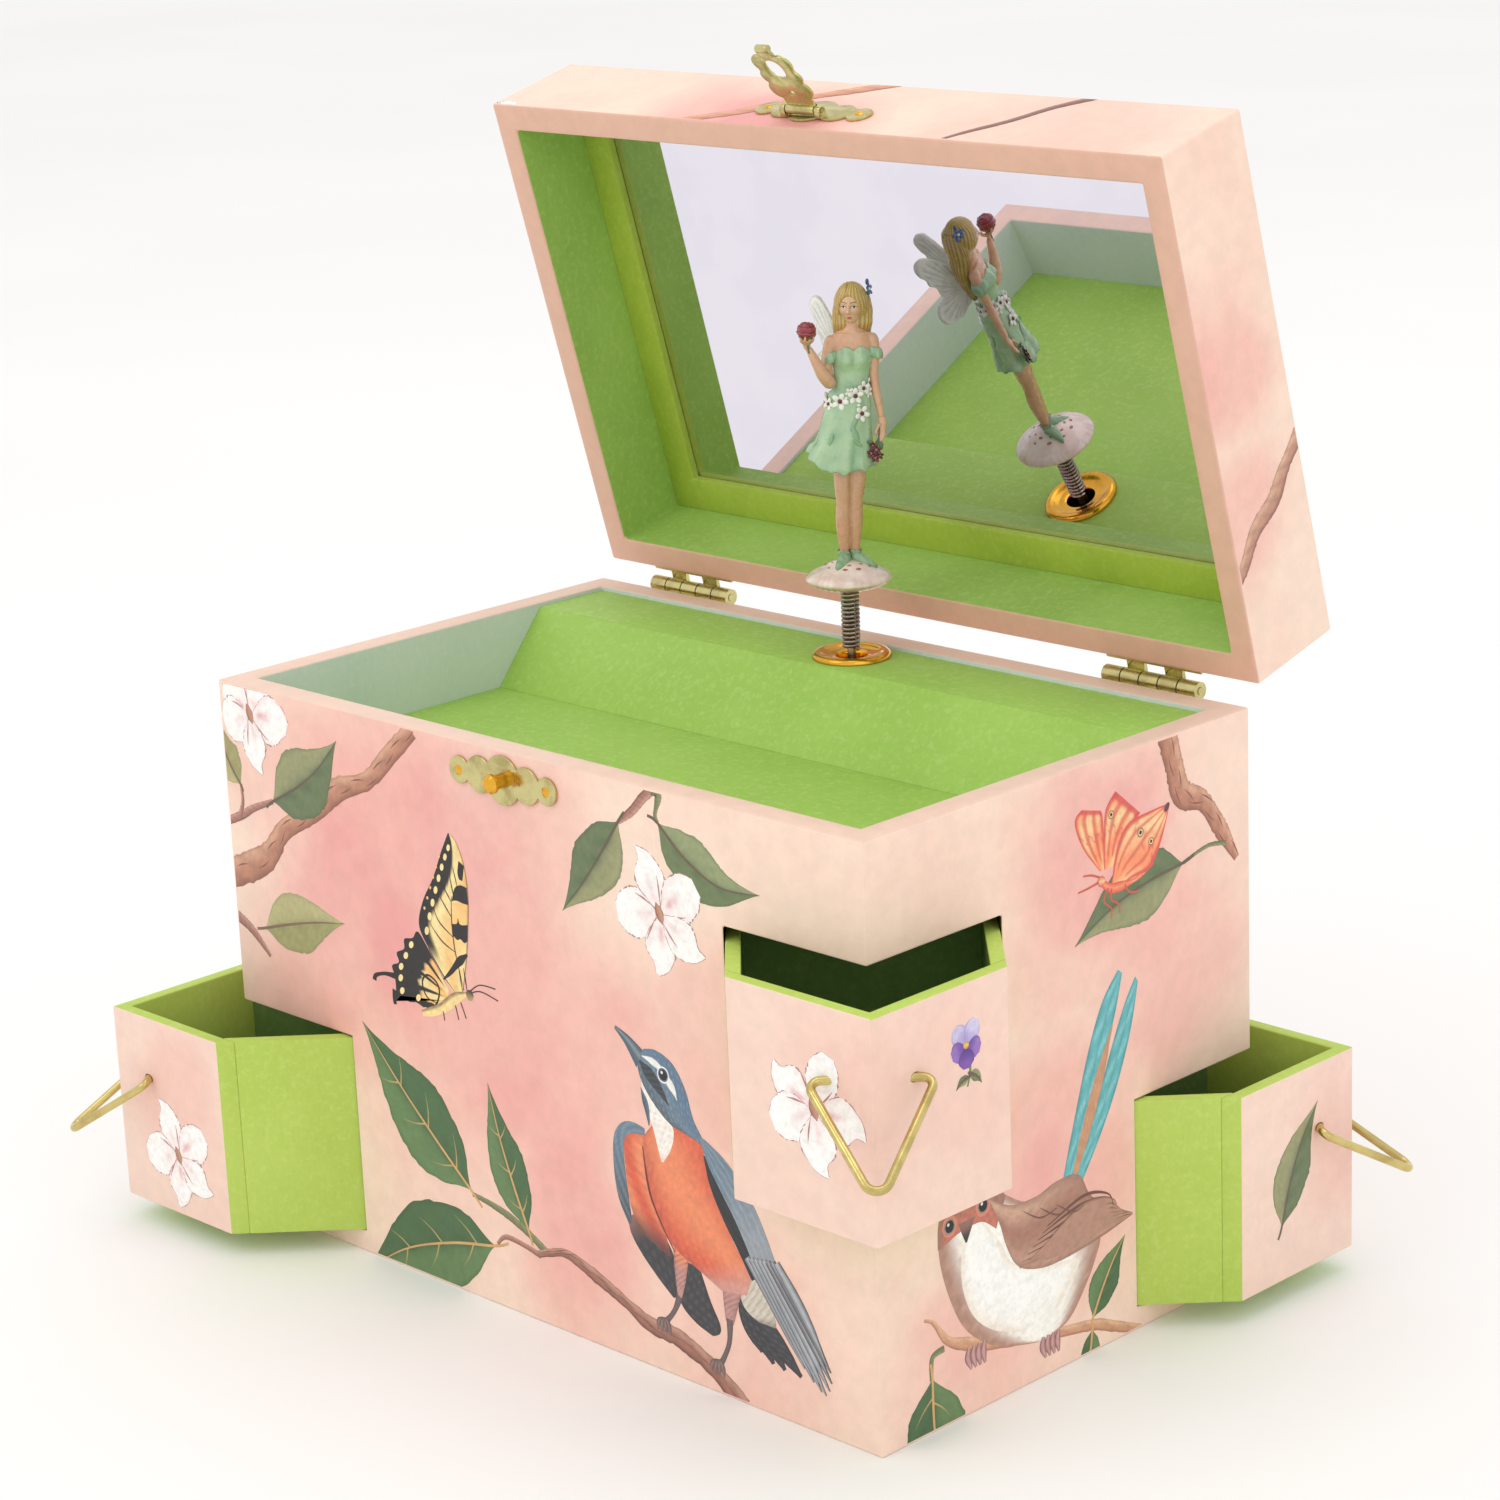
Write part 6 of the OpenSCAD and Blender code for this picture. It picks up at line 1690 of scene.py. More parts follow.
def make_skin():
    """Body, arms and legs fused into one smooth cast skin."""
    clay = Clay()
    torso = [(40.0, 2.2, 0.2, 3.2, 1.9), (43.0, 2.3, 0.1, 3.8, 2.3), (45.2, 2.3, 0.1, 4.1, 2.35),
             (46.8, 2.25, 0.15, 4.6, 2.2),
             (48.0, 2.2, 0.25, 4.5, 1.9), (48.9, 2.25, 0.3, 3.1, 1.6), (49.6, 2.35, 0.2, 1.7, 1.4),
             (50.6, 2.4, 0.05, 1.25, 1.25),
             (52.5, 2.45, -0.1, 1.25, 1.3)]
    rings = []
    for i in range(41):
        z = 40 + 12.5 * i / 40
        cx, cy, rx, ry = along(torso, z)
        rings.append([Vector((cx + rx * math.cos(a), cy + ry * math.sin(a), z))
                      for a in [2 * math.pi * k / 48 for k in range(48)]])
    verts, faces = loft_data(rings)
    clay.add(verts, faces, SKIN)
    for s in (-1, 1):   # bust above the neckline, collar bones
        clay.blob((2.35 + s * 1.55, -0.95, 43.7), (1.5, 1.3, 1.8), SKIN, 12)
        clay.tube([(2.4 + s * 0.5, -1.35, 48.2), (2.4 + s * 2.2, -1.25, 48.5), (2.4 + s * 3.9, -0.5, 48.3)],
                  [0.28, 0.3, 0.25], SKIN, 10, 6)
        clay.blob((2.25 + s * 4.3, 0.1, 46.9), (1.35, 1.35, 1.5), SKIN, 12)
    # right arm, raised
    clay.tube([(-2.2, 0.1, 47.0), (-2.9, 0.0, 44.0), (-3.3, -0.4, 41.0), (-3.0, -1.3, 38.4)],
              [1.3, 1.35, 1.25, 1.3], SKIN, 18, 8)
    clay.blob((-3.0, -1.5, 38.5), (1.45, 1.4, 1.3), SKIN, 12)
    clay.tube([(-2.9, -1.6, 38.5), (-4.2, -2.4, 40.2), (-5.8, -3.0, 43.2), (-7.3, -3.3, 46.3)],
              [1.4, 1.42, 1.1, 0.72], SKIN, 18, 8)
    clay.blob((-7.75, -3.4, 47.1), (0.85, 0.62, 1.05), SKIN, 10)
    for dx, dy in ((-1.0, -1.2), (-0.35, -1.55), (0.4, -1.5), (1.0, -1.05)):
        clay.tube([(-7.75 + dx * 0.5, -3.5 + dy * 0.3, 47.5), (-7.8 + dx * 1.3, -3.5 + dy * 0.95, 48.3),
                   (-7.8 + dx * 1.2, -3.5 + dy * 1.25, 49.4)],
                  [0.36, 0.34, 0.26], SKIN, 10, 5)
    clay.tube([(-7.3, -3.0, 47.3), (-6.7, -2.3, 48.2), (-6.4, -2.3, 49.2)], [0.4, 0.38, 0.3], SKIN, 10, 5)
    # left arm, lowered
    clay.tube([(6.7, 0.1, 47.0), (6.95, 0.1, 43.5), (6.7, 0.0, 40.0), (6.9, -0.2, 36.6),
               (7.5, -0.6, 33.0), (7.9, -0.9, 30.6)],
              [1.3, 1.2, 1.02, 0.98, 0.85, 0.68], SKIN, 18, 8)
    clay.tube([(7.9, -0.9, 30.6), (8.0, -1.1, 29.0), (7.7, -1.5, 27.4)], [0.68, 1.0, 0.75], SKIN,
              14, 6, 0.62, (0, 1, 0))
    for dx in (-0.75, -0.25, 0.25, 0.7):
        clay.tube([(7.8 + dx * 0.9, -1.4, 28.0), (7.5 + dx * 0.9, -1.8, 26.4),
                   (7.0 + dx * 0.6, -2.2, 25.1 + abs(dx) * 0.5)],
                  [0.36, 0.33, 0.25], SKIN, 10, 5)
    clay.tube([(7.4, -1.7, 29.2), (6.6, -2.2, 28.0), (6.3, -2.4, 26.9)], [0.36, 0.32, 0.26], SKIN, 10, 5)
    # legs
    clay.tube([(-0.55, 0.2, 26), (-0.6, 0.1, 21), (-0.72, 0.0, 16), (-0.72, 0.05, 12.5), (-0.82, 0.35, 8.5),
               (-0.82, 0.25, 4.5), (-0.8, 0.15, 1.6), (-0.8, 0.1, 0.2)],
              [2.3, 2.1, 1.8, 1.55, 1.65, 1.32, 1.0, 0.95], SKIN, 22, 7)
    clay.tube([(2.9, 0.2, 26), (2.7, 0.1, 21), (2.35, 0.0, 16), (2.0, 0.05, 12.5), (1.85, 0.35, 8.5),
               (1.65, 0.25, 4.5), (1.5, 0.15, 1.6), (1.55, 0.1, 0.2)],
              [2.2, 2.0, 1.75, 1.5, 1.6, 1.28, 0.97, 0.92], SKIN, 22, 7)
    ob = add_object("figure_skin", clay.verts, clay.faces, GLAZE, True)
    mod = ob.modifiers.new("fuse", "REMESH")
    mod.mode, mod.voxel_size = "VOXEL", 0.17 * MM
    mod2 = ob.modifiers.new("ease", "SMOOTH")
    mod2.factor, mod2.iterations = 0.6, 6
    dg = bpy.context.evaluated_depsgraph_get()
    me = bpy.data.meshes.new_from_object(ob.evaluated_get(dg))
    old = ob.data
    ob.modifiers.clear()
    ob.data = me
    bpy.data.meshes.remove(old)
    me.name = "figure_skin"
    if "Paint" in me.color_attributes:
        me.color_attributes.remove(me.color_attributes["Paint"])
    attr = me.color_attributes.new("Paint", "FLOAT_COLOR", "POINT")
    nrm = [v.normal.copy() for v in me.vertices]
    for i, v in enumerate(me.vertices):
        p = v.co / MM
        c = mix(SKIN, SKIN_PINK, 0.35 + 0.35 * noise.noise(p * 0.3))
        # painted shade on the faces turned down and down the legs under the skirt, between the legs, and in
        # the cleavage
        c = mix(c, SKIN_SHADE, 0.55 * smooth(-0.2, -1.0, nrm[i].z) + 0.25 * smooth(22, 12, p.z))
        c = mix(c, SKIN_SHADE, 0.5 * gauss(p.x - 0.72, 0, 0.40, 1) * smooth(24, 18, p.z)
                * smooth(0.6, -0.2, abs(nrm[i].x) * -1))
        c = mix(c, SKIN_SHADE, 0.30 * gauss(p.x - 2.35, p.z - 44.9, 0.35, 1.3) * (p.y < 0))
        attr.data[i].color = (*c, 1.0)
        v.co = (FIGURE_AT @ (v.co / MM)) * MM
    me.materials.clear()
    me.materials.append(GLAZE)
    for p in me.polygons:
        p.use_smooth = True
    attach(ob, "figure")
    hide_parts("figurine")


# Swells and hollows of the face: height, middle to the side and above the centre, half width, half height
FACE = [
    (0.62, 0.0, -0.95, 0.36, 0.42), (0.34, 0.0, -0.15, 0.30, 0.95), (0.14, 0.36, -1.05, 0.22, 0.22),  # nose
    (-0.30, 1.12, 0.12, 0.62, 0.42), (0.17, 1.12, 0.02, 0.48, 0.26),  # eye hollows and eyes
    (0.13, 1.1, 0.95, 0.8, 0.25),  # brow
    (0.20, 1.55, -1.05, 0.8, 0.7),  # cheeks
    (0.24, 0.0, -2.02, 0.62, 0.20), (0.24, 0.0, -2.42, 0.5, 0.18), (-0.12, 0.0, -2.22, 0.75, 0.07),  # lips
    (-0.10, 0.0, -2.75, 0.6, 0.16), (0.30, 0.0, -3.25, 0.75, 0.5),  # chin, and the dip above it
]


def make_head():
    """A plain calm doll's face, modelled by soft swells on an egg and then painted."""
    head = (Matrix.Translation((2.35, -0.35, 54.5)) @ Matrix.Rotation(math.radians(-20), 4, "Z")
            @ Matrix.Rotation(math.radians(3), 4, "X"))
    nu, nv = 200, 150
    rings, cols = [], []
    for j in range(nv + 1):
        el = math.pi * (j / nv - 0.5)
        ring = []
        for i in range(nu):
            t = 2 * math.pi * i / nu
            # finer towards the front, which is at t = pi
            az = t + 0.55 * math.sin(t) + math.pi / 2
            d = Vector((math.cos(el) * math.cos(az), math.cos(el) * math.sin(az), math.sin(el)))
            p = Vector((d.x * 2.72, d.y * 3.05, d.z * 3.95))
            low = max(0.0, -p.z / 3.95)
            p.x *= 1 - 0.30 * low ** 1.8
            p.y = p.y * (1 - 0.10 * low ** 2)
            x, z = p.x, p.z
            if d.y < 0.15:
                f = smooth(0.15, -0.45, d.y)
                push = sum(h * gauss(abs(x) - mx, z - mz, sx, sz) for h, mx, mz, sx, sz in FACE)
                p.y -= push * f
            ring.append(p)
            # paint: blush on the cheeks, painted shade beside the nose, under it and under the chin, then
            # eyes, brows and lips
            c = mix(SKIN, SKIN_PINK, 0.55 * gauss(abs(x) - 1.6, z + 1.2, 0.8, 0.6))
            c = mix(c, SKIN_SHADE, 0.35 * gauss(abs(x) - 0.42, z - 0.1, 0.22, 0.5)
                    + 0.3 * gauss(x, z + 1.45, 0.45, 0.14)
                    + 0.3 * smooth(-2.9, -3.9, z))
            if d.y < 0:
                ex = abs(x) - 1.12
                open_eye = 0.255 * (1 - (ex / 0.62) ** 2) if abs(ex) < 0.62 else 0.0
                if open_eye > 0 and abs(z - 0.02) < open_eye:
                    c = lin(238, 232, 224)
                    if (ex - 0.03) ** 2 + (z - 0.05) ** 2 < 0.235 ** 2:
                        c = lin(72, 48, 34)
                    if (ex - 0.03) ** 2 + (z - 0.05) ** 2 < 0.12 ** 2:
                        c = lin(18, 14, 14)
                lash = 0.02 + 0.255 * (1 - (ex / 0.72) ** 2)
                if abs(ex) < 0.72 and abs(z - lash) < 0.075:
                    c = lin(40, 26, 22)
                under = 0.02 - 0.235 * (1 - (ex / 0.62) ** 2)
                if abs(ex) < 0.6 and abs(z - under) < 0.03:
                    c = mix(c, lin(110, 70, 54), 0.6)
                brow = 0.92 + 0.22 * (1 - ((ex - 0.05) / 0.85) ** 2)
                if abs(ex - 0.05) < 0.85 and abs(z - brow) < 0.10 * (1.1 - 0.6 * (ex + 0.8) / 1.7):
                    c = mix(c, lin(104, 72, 44), 0.8)
                top_lip = gauss(x, z + 2.06, 0.62, 0.17) - 0.3 * gauss(x, z + 1.9, 0.1, 0.08)
                if top_lip > 0.45 or gauss(x, z + 2.4, 0.5, 0.17) > 0.45:
                    c = lin(198, 92, 88)
                if abs(z + 2.22 + 0.03 * math.cos(x * 5)) < 0.035 and abs(x) < 0.62:
                    c = lin(138, 54, 52)
            cols.append(c)
        rings.append(ring)
    verts, faces = loft_data(rings)
    clay = Clay()
    clay.add([head @ v for v in verts], faces, SKIN)
    clay.cols = cols
    ob = clay.done("figure_head", GLAZE, "figure")
    merge_close(ob)

    # hair: a cap that leaves the face free, and long straight hair down the back
    clay = Clay()
    nu, nv = 168, 90
    rings, cols = [], []
    for j in range(nv + 1):
        el = math.pi * (j / nv - 0.5)
        ring = []
        for i in range(nu):
            az = 2 * math.pi * i / nu
            d = Vector((math.cos(el) * math.cos(az), math.cos(el) * math.sin(az), math.sin(el)))
            p = Vector((d.x * 3.55, d.y * 3.6 + 0.45, d.z * 4.5 + 0.35))
            face = gauss(p.x / 2.35, (p.z + 1.0) / 3.45, 1, 1) if d.y < 0.1 else 0.0
            inside = smooth(0.33, 0.42, face) * smooth(0.1, -0.25, d.y)
            part = 0.16 * gauss(p.x + 0.5, 0, 0.16, 1) * smooth(0.5, 2.5, p.z)
            strands = 0.07 * math.sin(26 * az + 2.2 * math.sin(el * 3)) * math.cos(el)
            p = p * (1 - 0.30 * inside - part * 0.10) + d * strands * (1 - inside)
            if el < -0.35:
                p = p * (1 - 0.35 * smooth(-0.35, -1.2, el))
            ring.append(p)
            g = 0.5 + 0.5 * math.sin(26 * az + 2.2 * math.sin(el * 3))
            # painted shade in the strand grooves and round the face, painted highlight on the ridges towards
            # the crown, and darker along the parting
            c = mix(BLOND, BLOND_DARK, 0.55 * (1 - g) + 0.25 * inside)
            c = mix(c, BLOND_HIGHLIGHT, 0.5 * g * smooth(0.2, 1.2, el) + 0.12 * noise.noise(p * 1.2))
            cols.append(mix(c, BLOND_DARK, 0.7 * gauss(p.x + 0.5, 0, 0.14, 1) * smooth(1.5, 3.0, p.z)))
        rings.append(ring)
    verts, faces = loft_data(rings)
    clay.add([head @ v for v in verts], faces, BLOND)
    clay.cols = list(cols)
    # z, centre x, centre y, half width, depth to the front, depth to the back
    falls = [(57.4, 2.6, 0.8, 2.6, 0.3, 2.6), (56.8, 2.65, 0.8, 3.2, 0.6, 3.1),
             (55.4, 2.75, 0.8, 3.75, 1.2, 3.5), (53.0, 2.75, 0.9, 4.1, 1.9, 3.6),
             (50.5, 2.7, 1.2, 4.15, 1.9, 3.4),
             (48.8, 2.65, 1.7, 3.9, 1.4, 3.1), (46.5, 2.6, 2.3, 3.5, 0.8, 2.5),
             (44.0, 2.5, 2.5, 3.1, 0.6, 2.0), (41.5, 2.4, 2.6, 2.3, 0.5, 1.5),
             (39.6, 2.3, 2.7, 1.2, 0.35, 0.9), (38.9, 2.3, 2.8, 0.45, 0.2, 0.4)]
    rings, cols = [], []
    for j in range(91):
        z = 57.4 - 18.5 * j / 90
        cx, cy, rx, rf, rb = along(falls, z)
        ring = []
        for i in range(120):
            a = 2 * math.pi * i / 120
            ca, sa = math.cos(a), math.sin(a)
            g = math.sin(24 * a + 0.10 * z + 1.1 * math.sin(z * 0.35 + 2 * a))
            k = 1 + 0.030 * g + 0.015 * math.sin(53 * a + z * 0.3)
            if sa < 0:
                x = cx + rx * k * math.copysign(abs(ca) ** 0.72, ca)
                y = cy - rf * k * abs(sa) ** 0.6
            else:
                x, y = cx + rx * k * ca, cy + rb * k * sa
            ring.append(Vector((x, y, z + 0.5 * smooth(42, 39, z) * math.sin(5 * a))))
            # painted shade in the strand grooves and painted highlight on their ridges; darker towards the
            # ends
            c = mix(BLOND, BLOND_DARK, 0.6 * smooth(0.2, -1.0, g))
            c = mix(c, BLOND_HIGHLIGHT, 0.45 * smooth(0.1, 1.0, g) * (0.6 + 0.4 * math.sin(z * 0.8 + a)))
            cols.append(mix(c, BLOND_DARK, 0.35 * smooth(47, 39, z)))
        rings.append(ring)
    verts, faces = loft_data(rings)
    clay.add(verts, faces, BLOND)
    clay.cols = clay.cols[:(nv + 1) * nu] + cols
    ob = clay.done("figure_hair", GLAZE, "figure")
    merge_close(ob)

    clay = Clay()
    blue, blue_d = lin(96, 128, 186), lin(52, 74, 140)
    place = (Matrix.Translation((6.1, -0.2, 57.6))
             @ Vector((0.85, -0.5, 0.2)).to_track_quat("Z", "Y").to_matrix().to_4x4())
    bloom(clay, place, 1.5, lambda v: mix(blue, blue_d, smooth(0.3, 0.0, v.z)), lin(232, 226, 196), 5)
    clay.blob((6.0, 0.3, 56.4), (0.35, 0.5, 0.8), lin(106, 140, 90), 6)
    clay.blob((5.9, -0.1, 59.1), (0.4, 0.4, 0.7), blue_d, 6)
    clay.done("hair_flower", GLAZE, "figure")


def make_flowers():
    """The rose in her right hand and the blossoms in her left."""
    clay = Clay()
    red, red_shade, red_highlight = lin(150, 34, 52), lin(92, 14, 30), lin(206, 92, 104)
    n, m = 40, 72
    rings, cols = [], []
    for j in range(n + 1):
        el = math.pi * (j / n - 0.5)
        ring = []
        for i in range(m):
            az = 2 * math.pi * i / m
            swirl = (az / (2 * math.pi) * 1.0 + (el + math.pi / 2) * 1.6) % 1.0
            petal = (5 * az / (2 * math.pi) + el * 0.9) % 1.0
            rad = 2.0 * (0.90 + 0.12 * swirl + 0.06 * math.sin(math.pi * petal))
            if el > 1.0:
                rad *= 1 - 0.16 * smooth(1.0, 1.57, el)
            out = rad * math.cos(el)
            ring.append(Vector((out * math.cos(az) * 1.02, out * math.sin(az) * 1.02,
                                rad * math.sin(el) * 0.98)))
            # painted shade down the spiral grooves and painted highlight on the petal edges
            c = mix(red_shade, red, smooth(0.0, 0.5, swirl))
            cols.append(mix(c, red_highlight, 0.6 * smooth(0.80, 1.0, swirl) + 0.3 * smooth(0.9, 1.0, petal)))
        rings.append(ring)
    verts, faces = loft_data(rings)
    place = Matrix.Translation((-7.75, -4.0, 50.2))
    clay.add([place @ v for v in verts], faces, red)
    clay.cols = list(cols)
    for k in range(5):
        a = 2 * math.pi * k / 5
        turn = (place @ Matrix.Rotation(a, 4, "Z") @ Matrix.Translation((1.25, 0, -1.55))
                @ Matrix.Rotation(-0.7, 4, "Y"))
        verts, faces = ball_data((1.0, 0.42, 0.16), 8)
        clay.add(verts, faces, lin(74, 104, 70), turn)
    clay.tube([(-7.75, -4.0, 48.6), (-7.6, -3.9, 47.0), (-7.4, -3.9, 45.4)], [0.32, 0.26, 0.2],
              lin(84, 112, 72), 10, 5)
    wine, wine_d = lin(112, 28, 58), lin(64, 14, 36)
    stem = lin(92, 116, 78)
    for x, y, z, size in ((6.3, -3.0, 23.9, 1.25), (5.2, -3.2, 23.2, 1.1), (6.0, -3.3, 22.2, 1.2),
                          (7.0, -2.9, 22.6, 1.0), (5.6, -2.9, 24.8, 0.9)):
        place = (Matrix.Translation((x, y, z)) @ Vector((-0.2, -0.9, 0.1 - (z - 23) * 0.1)).to_track_quat("Z",
                "Y").to_matrix().to_4x4())
        bloom(clay, place, size, lambda v: mix(wine, wine_d, smooth(0.12, -0.05, v.z)),
              lin(170, 128, 96), 5, 0.5)
        clay.tube([(7.0, -2.2, 26.2), ((7.0 + x) / 2, (y - 2.2) / 2 - 0.2, (26.2 + z) / 2), (x, y + 0.2, z)],
                  [0.16, 0.14, 0.14], stem, 8, 4)
    clay.tube([(7.0, -2.1, 26.2), (7.2, -1.9, 27.6), (7.3, -1.8, 29.3)], [0.2, 0.2, 0.15], stem, 8, 4)
    for p, r in (((7.4, -2.6, 24.6), (0.5, 0.2, 0.9)), ((5.0, -2.8, 25.6), (0.8, 0.2, 0.4))):
        clay.blob(p, r, stem, 8)
    clay.done("rose_and_blossoms", GLAZE, "figure")


def make_shoes():
    clay = Clay()
    green, green_d = lin(150, 182, 142), lin(92, 126, 92)

    def tone(v):
        return mix(green, green_d, 0.55 * smooth(-0.4, -1.6, v.z) + 0.3
                   * (0.5 + 0.5 * math.sin(v.x * 4 + v.y * 3)))
    for path, radii in (([(-0.75, 0.7, 0.5), (-0.95, -0.3, 0.35), (-1.7, -1.9, -0.55), (-2.6, -3.5, -1.35),
                          (-3.1, -4.5, -1.75)],
                         [1.15, 1.45, 1.3, 0.9, 0.22]),
                        ([(1.65, 0.7, 0.5), (2.0, -0.2, 0.3), (3.2, -1.2, -0.25),
                          (4.6, -2.1, -1.0), (5.8, -2.7, -1.5)],
                         [1.1, 1.4, 1.2, 0.8, 0.2])):
        clay.tube(path, radii, tone, 22, 9, 0.85, (0, 0, 1))
        # cuffs round the ankles
        c = path[0]
        rings = []
        for i in range(7):
            t = i / 6
            ring = []
            for k in range(32):
                a = 2 * math.pi * k / 32
                r = 1.12 + 0.30 * t * t + 0.10 * t * math.sin(5 * a)
                z = 0.6 + 1.3 * t + 0.28 * t * math.sin(3 * a + 1)
                ring.append(Vector((c[0] - 0.03 + r * math.cos(a), c[1] - 0.55 + r * math.sin(a), z)))
            rings.append(ring)
        verts, faces = loft_data(rings)
        clay.add(verts, faces, tone)
    clay.done("figure_shoes", GLAZE, "figure")


WING = [(0.2, -1.6), (-0.4, 0.4), (0.6, 3.2), (2.6, 6.8), (5.0, 10.0), (7.0, 12.3), (8.7, 13.3), (10.2, 12.8),
        (10.8, 11.2), (10.4, 9.3),
        (9.5, 7.9), (9.3, 6.3), (8.2, 5.1), (7.4, 3.4), (6.4, 2.3), (7.6, 1.7), (8.9, 1.0), (10.0, -0.4),
        (10.2, -2.3), (9.4, -4.1),
        (7.9, -5.0), (6.4, -4.7), (5.2, -4.9), (4.0, -3.9), (2.4, -3.2)]


def make_wings():
    clay = Clay()
    rim = [Vector((p.x, p.y, 0)) for p in catmull([(x, y, 0) for x, y in WING], 8, True)]
    n, m = len(rim), 22
    root = Vector((1.6, 0.6, 0))
    for s in (-1, 1):
        place = Matrix.Translation((1.6, 2.4, 42)) @ Matrix.Rotation(math.radians(s * 48), 4, "Z")
        verts, cols, faces = [], [], []
        for side in (-1, 1):
            for i in range(n):
                for j in range(m + 1):
                    t = 1 - (1 - j / m) ** 1.25
                    p = root.lerp(rim[i], t)
                    f = i / n * 22.0
                    vein = ((0.5 + 0.5 * math.cos(2 * math.pi * f)) ** 5 * smooth(0.10, 0.35, t)
                            * smooth(1.0, 0.9, t))
                    cross = ((0.5 + 0.5 * math.cos(2 * math.pi * (t * 4 + 0.25 * math.sin(f * 1.3)))) ** 8
                             * smooth(0.35, 0.5, t))
                    bead = gauss(t - 0.95, 0, 0.05, 1)
                    h = 0.20 + 0.15 * vein + 0.07 * cross + 0.30 * bead + 0.35 * smooth(0.3, 0.0, t)
                    h += 0.45 * t * gauss(p.x - 9.2, p.y - 11.5, 1.7, 1.9)
                    h += 0.40 * t * gauss(p.x - 8.4, p.y + 2.6, 1.7, 1.9)
                    if j == m:
                        h = 0.0
                    curve = 0.035 * p.x * p.x * 0.35
                    verts.append(place @ Vector((s * p.x, side * h + curve, p.y)))
                    c = mix(WHITE_PAINT, lin(190, 196, 204), 0.55 * (1 - vein) * smooth(0.12, 0.45, t)
                            * (1 - bead) * (0.4 + 0.6 * cross))
                    cols.append(mix(c, lin(120, 124, 134), 0.45 * smooth(0.75, 1.0, 1 - vein)
                                    * gauss(f % 1.0 - 0.5, 0, 0.12, 1) * smooth(0.25, 0.6, t)
                                    * smooth(0.92, 0.8, t)))
        row, half = m + 1, n * (m + 1)
        for i in range(n):
            q = (i + 1) % n
            for j in range(m):
                a, b, c, d = i * row + j, i * row + j + 1, q * row + j + 1, q * row + j
                faces.append((a, b, c, d))
                faces.append((half + a, half + d, half + c, half + b))
        base = len(clay.verts)
        clay.add(verts, faces, WHITE_PAINT)
        clay.cols[base:] = cols
    ob = clay.done("fairy_wings", GLAZE, "figure", "wings")
    merge_close(ob)


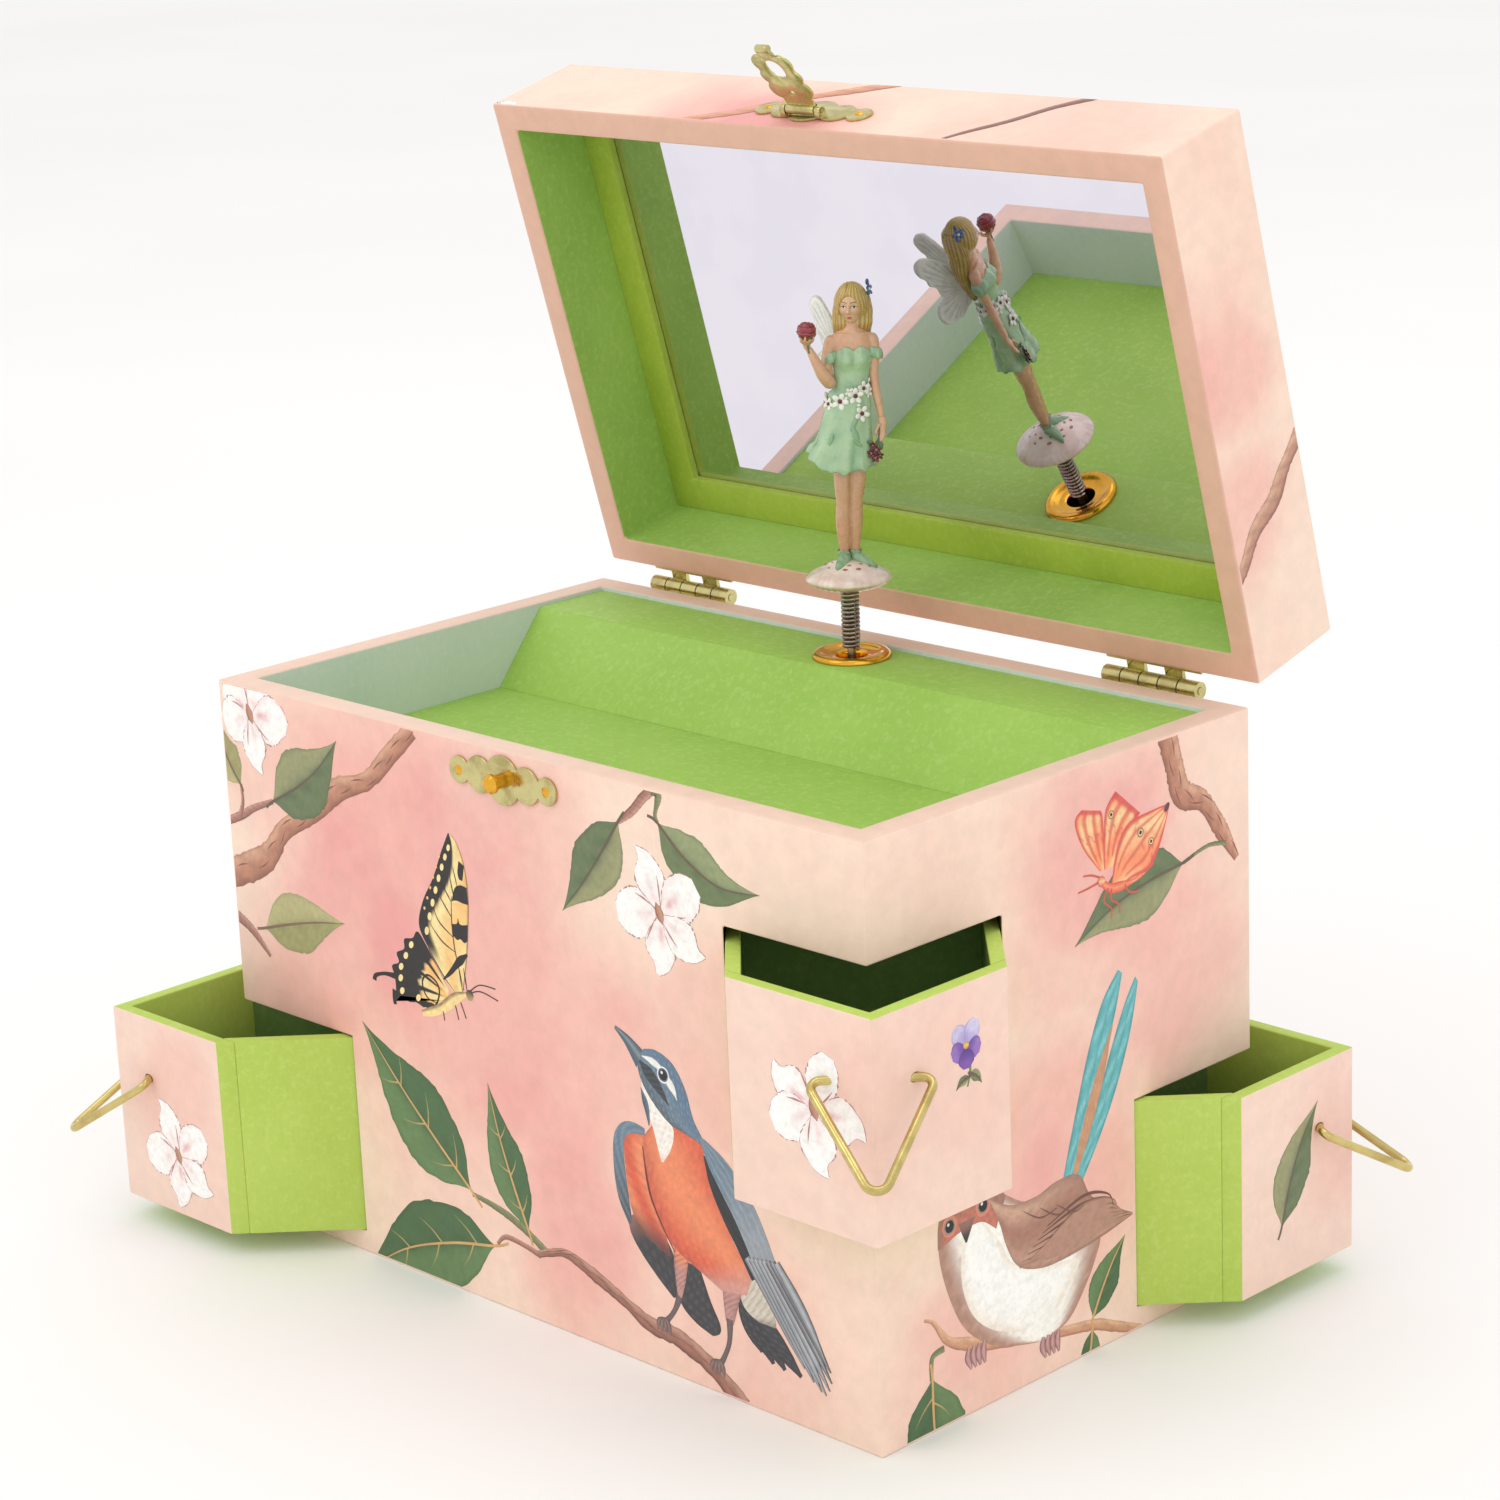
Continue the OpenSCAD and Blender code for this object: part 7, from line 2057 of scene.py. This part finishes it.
def make_toadstool():
    """A pale glazed cap with a low crease, brown spots and fine gills beneath."""
    n = 144
    profile = [(1e-3, -3.6), (0.8, -3.6), (0.9, -3.4), (0.9, -0.05), (1.6, 0.0), (2.6, 0.06), (4.0, 0.3),
               (5.4, 0.62), (6.8, 1.0), (7.9, 1.4),
               (8.7, 1.85), (9.2, 2.35), (9.29, 2.75), (9.1, 3.2), (8.55, 3.75), (7.7, 4.25), (6.7, 4.7),
               (5.6, 5.25), (4.4, 5.8), (3.2, 6.2),
               (2.0, 6.48), (1.0, 6.62), (1e-3, 6.68)]
    pts = catmull([(r, z, 0) for r, z in profile], 4)
    verts, cols = [], []
    base, light, deep = lin(232, 204, 192), lin(244, 226, 216), lin(206, 160, 148)
    for i, q in enumerate(pts):
        for k in range(n):
            a = 2 * math.pi * k / n
            r, z = max(q.x, 1e-3), q.y
            if i > 44:
                crease = gauss(((a - 3.75 + math.pi) % (2 * math.pi) - math.pi) / 0.06, 0, 1, 1)
                z += (0.05 * math.sin(3 * a + 0.5) - 0.05 - 0.22 * crease) * smooth(1, 6, r)
            elif 1.8 < r < 8.6:
                z += 0.05 + 0.05 * math.sin(36 * a)
            r *= 1 - 0.004 + 0.004 * math.sin(5 * a) * smooth(3, 8, r)
            verts.append(Vector((r * math.cos(a), FIGURE_Y + r * math.sin(a), CAP_Z + z)))
            p = verts[-1]
            c = mix(base, light, 0.5 + noise.noise(p * 0.35))
            c = mix(c, deep, 0.55 * smooth(2.9, 1.6, q.y)
                    + 0.30 * (0.5 + 0.5 * math.sin(a * 23 + noise.noise(p * 0.2) * 9)) ** 2
                    * smooth(5.5, 9, r))
            cols.append(c)
    ob = add_object("toadstool_cap", verts, ring_faces(len(pts), n), GLAZE, True, cols)
    merge_close(ob, 4e-6)
    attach(ob, "figure")
    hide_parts("toadstool")
    # brown spots in low relief
    clay = Clay(FIGURE_AT.inverted())
    random.seed(5)
    # radius, number, height and slope of each ring of spots
    for r, count, z, slope in ((3.5, 8, 6.05, 0.36), (5.0, 9, 5.5, 0.46)):
        for k in range(count):
            a = 2 * math.pi * (k + 0.5 * (r > 4) + random.uniform(-0.12, 0.12)) / count
            centre = Matrix.Translation((r * math.cos(a), FIGURE_Y + r * math.sin(a), CAP_Z + z))
            place = centre @ Matrix.Rotation(a, 4, "Z") @ Matrix.Rotation(math.atan2(slope, 1), 4, "Y")
            size = random.uniform(0.30, 0.50)
            verts, faces = ball_data((size * 0.8, size * 1.2, 0.12), 7)
            clay.add(verts, faces, lin(176, 112, 74), place)
    clay.done("toadstool_spots", GLAZE, "figure")


def make_spring_and_ring():
    turns, pitch, coil_r, wire_r = 13.4, 0.93, 1.65, 0.40
    path = []
    for i in range(int(turns * 26) + 1):
        a = 2 * math.pi * i / 26
        path.append((coil_r * math.cos(a), FIGURE_Y + coil_r * math.sin(a), SPRING_Z + pitch * i / 26))
    verts, faces = tube_data(path, wire_r, 10, 1.0, (0, 0, 1))
    ob = add_object("figure_spring", verts, faces, SPRING_STEEL)
    shade_by_angle(ob, 50)
    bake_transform(ob)
    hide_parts("spring")
    profile = [(3.3, 118.5), (4.85, 118.5), (4.85, 121.45), (8.45, 121.5), (8.6, 121.66), (8.58, 122.05),
               (8.35, 122.5), (7.9, 122.82), (7.3, 122.9),
               (6.75, 122.82), (6.2, 122.5), (5.6, 122.2), (4.8, 122.08), (3.9, 122.05),
               (3.45, 121.9), (3.3, 121.5)]
    verts, faces = lathe_data(profile, 128)
    ob = add_object("polished_ring", [Vector((v.x, v.y + FIGURE_Y, v.z)) for v in verts], faces, GOLD)
    shade_by_angle(ob, 40)
    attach(ob, "case")
    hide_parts("ferrule")


make_dress()
make_belt()
make_skin()
make_head()
make_flowers()
make_shoes()
make_wings()
make_toadstool()
make_spring_and_ring()
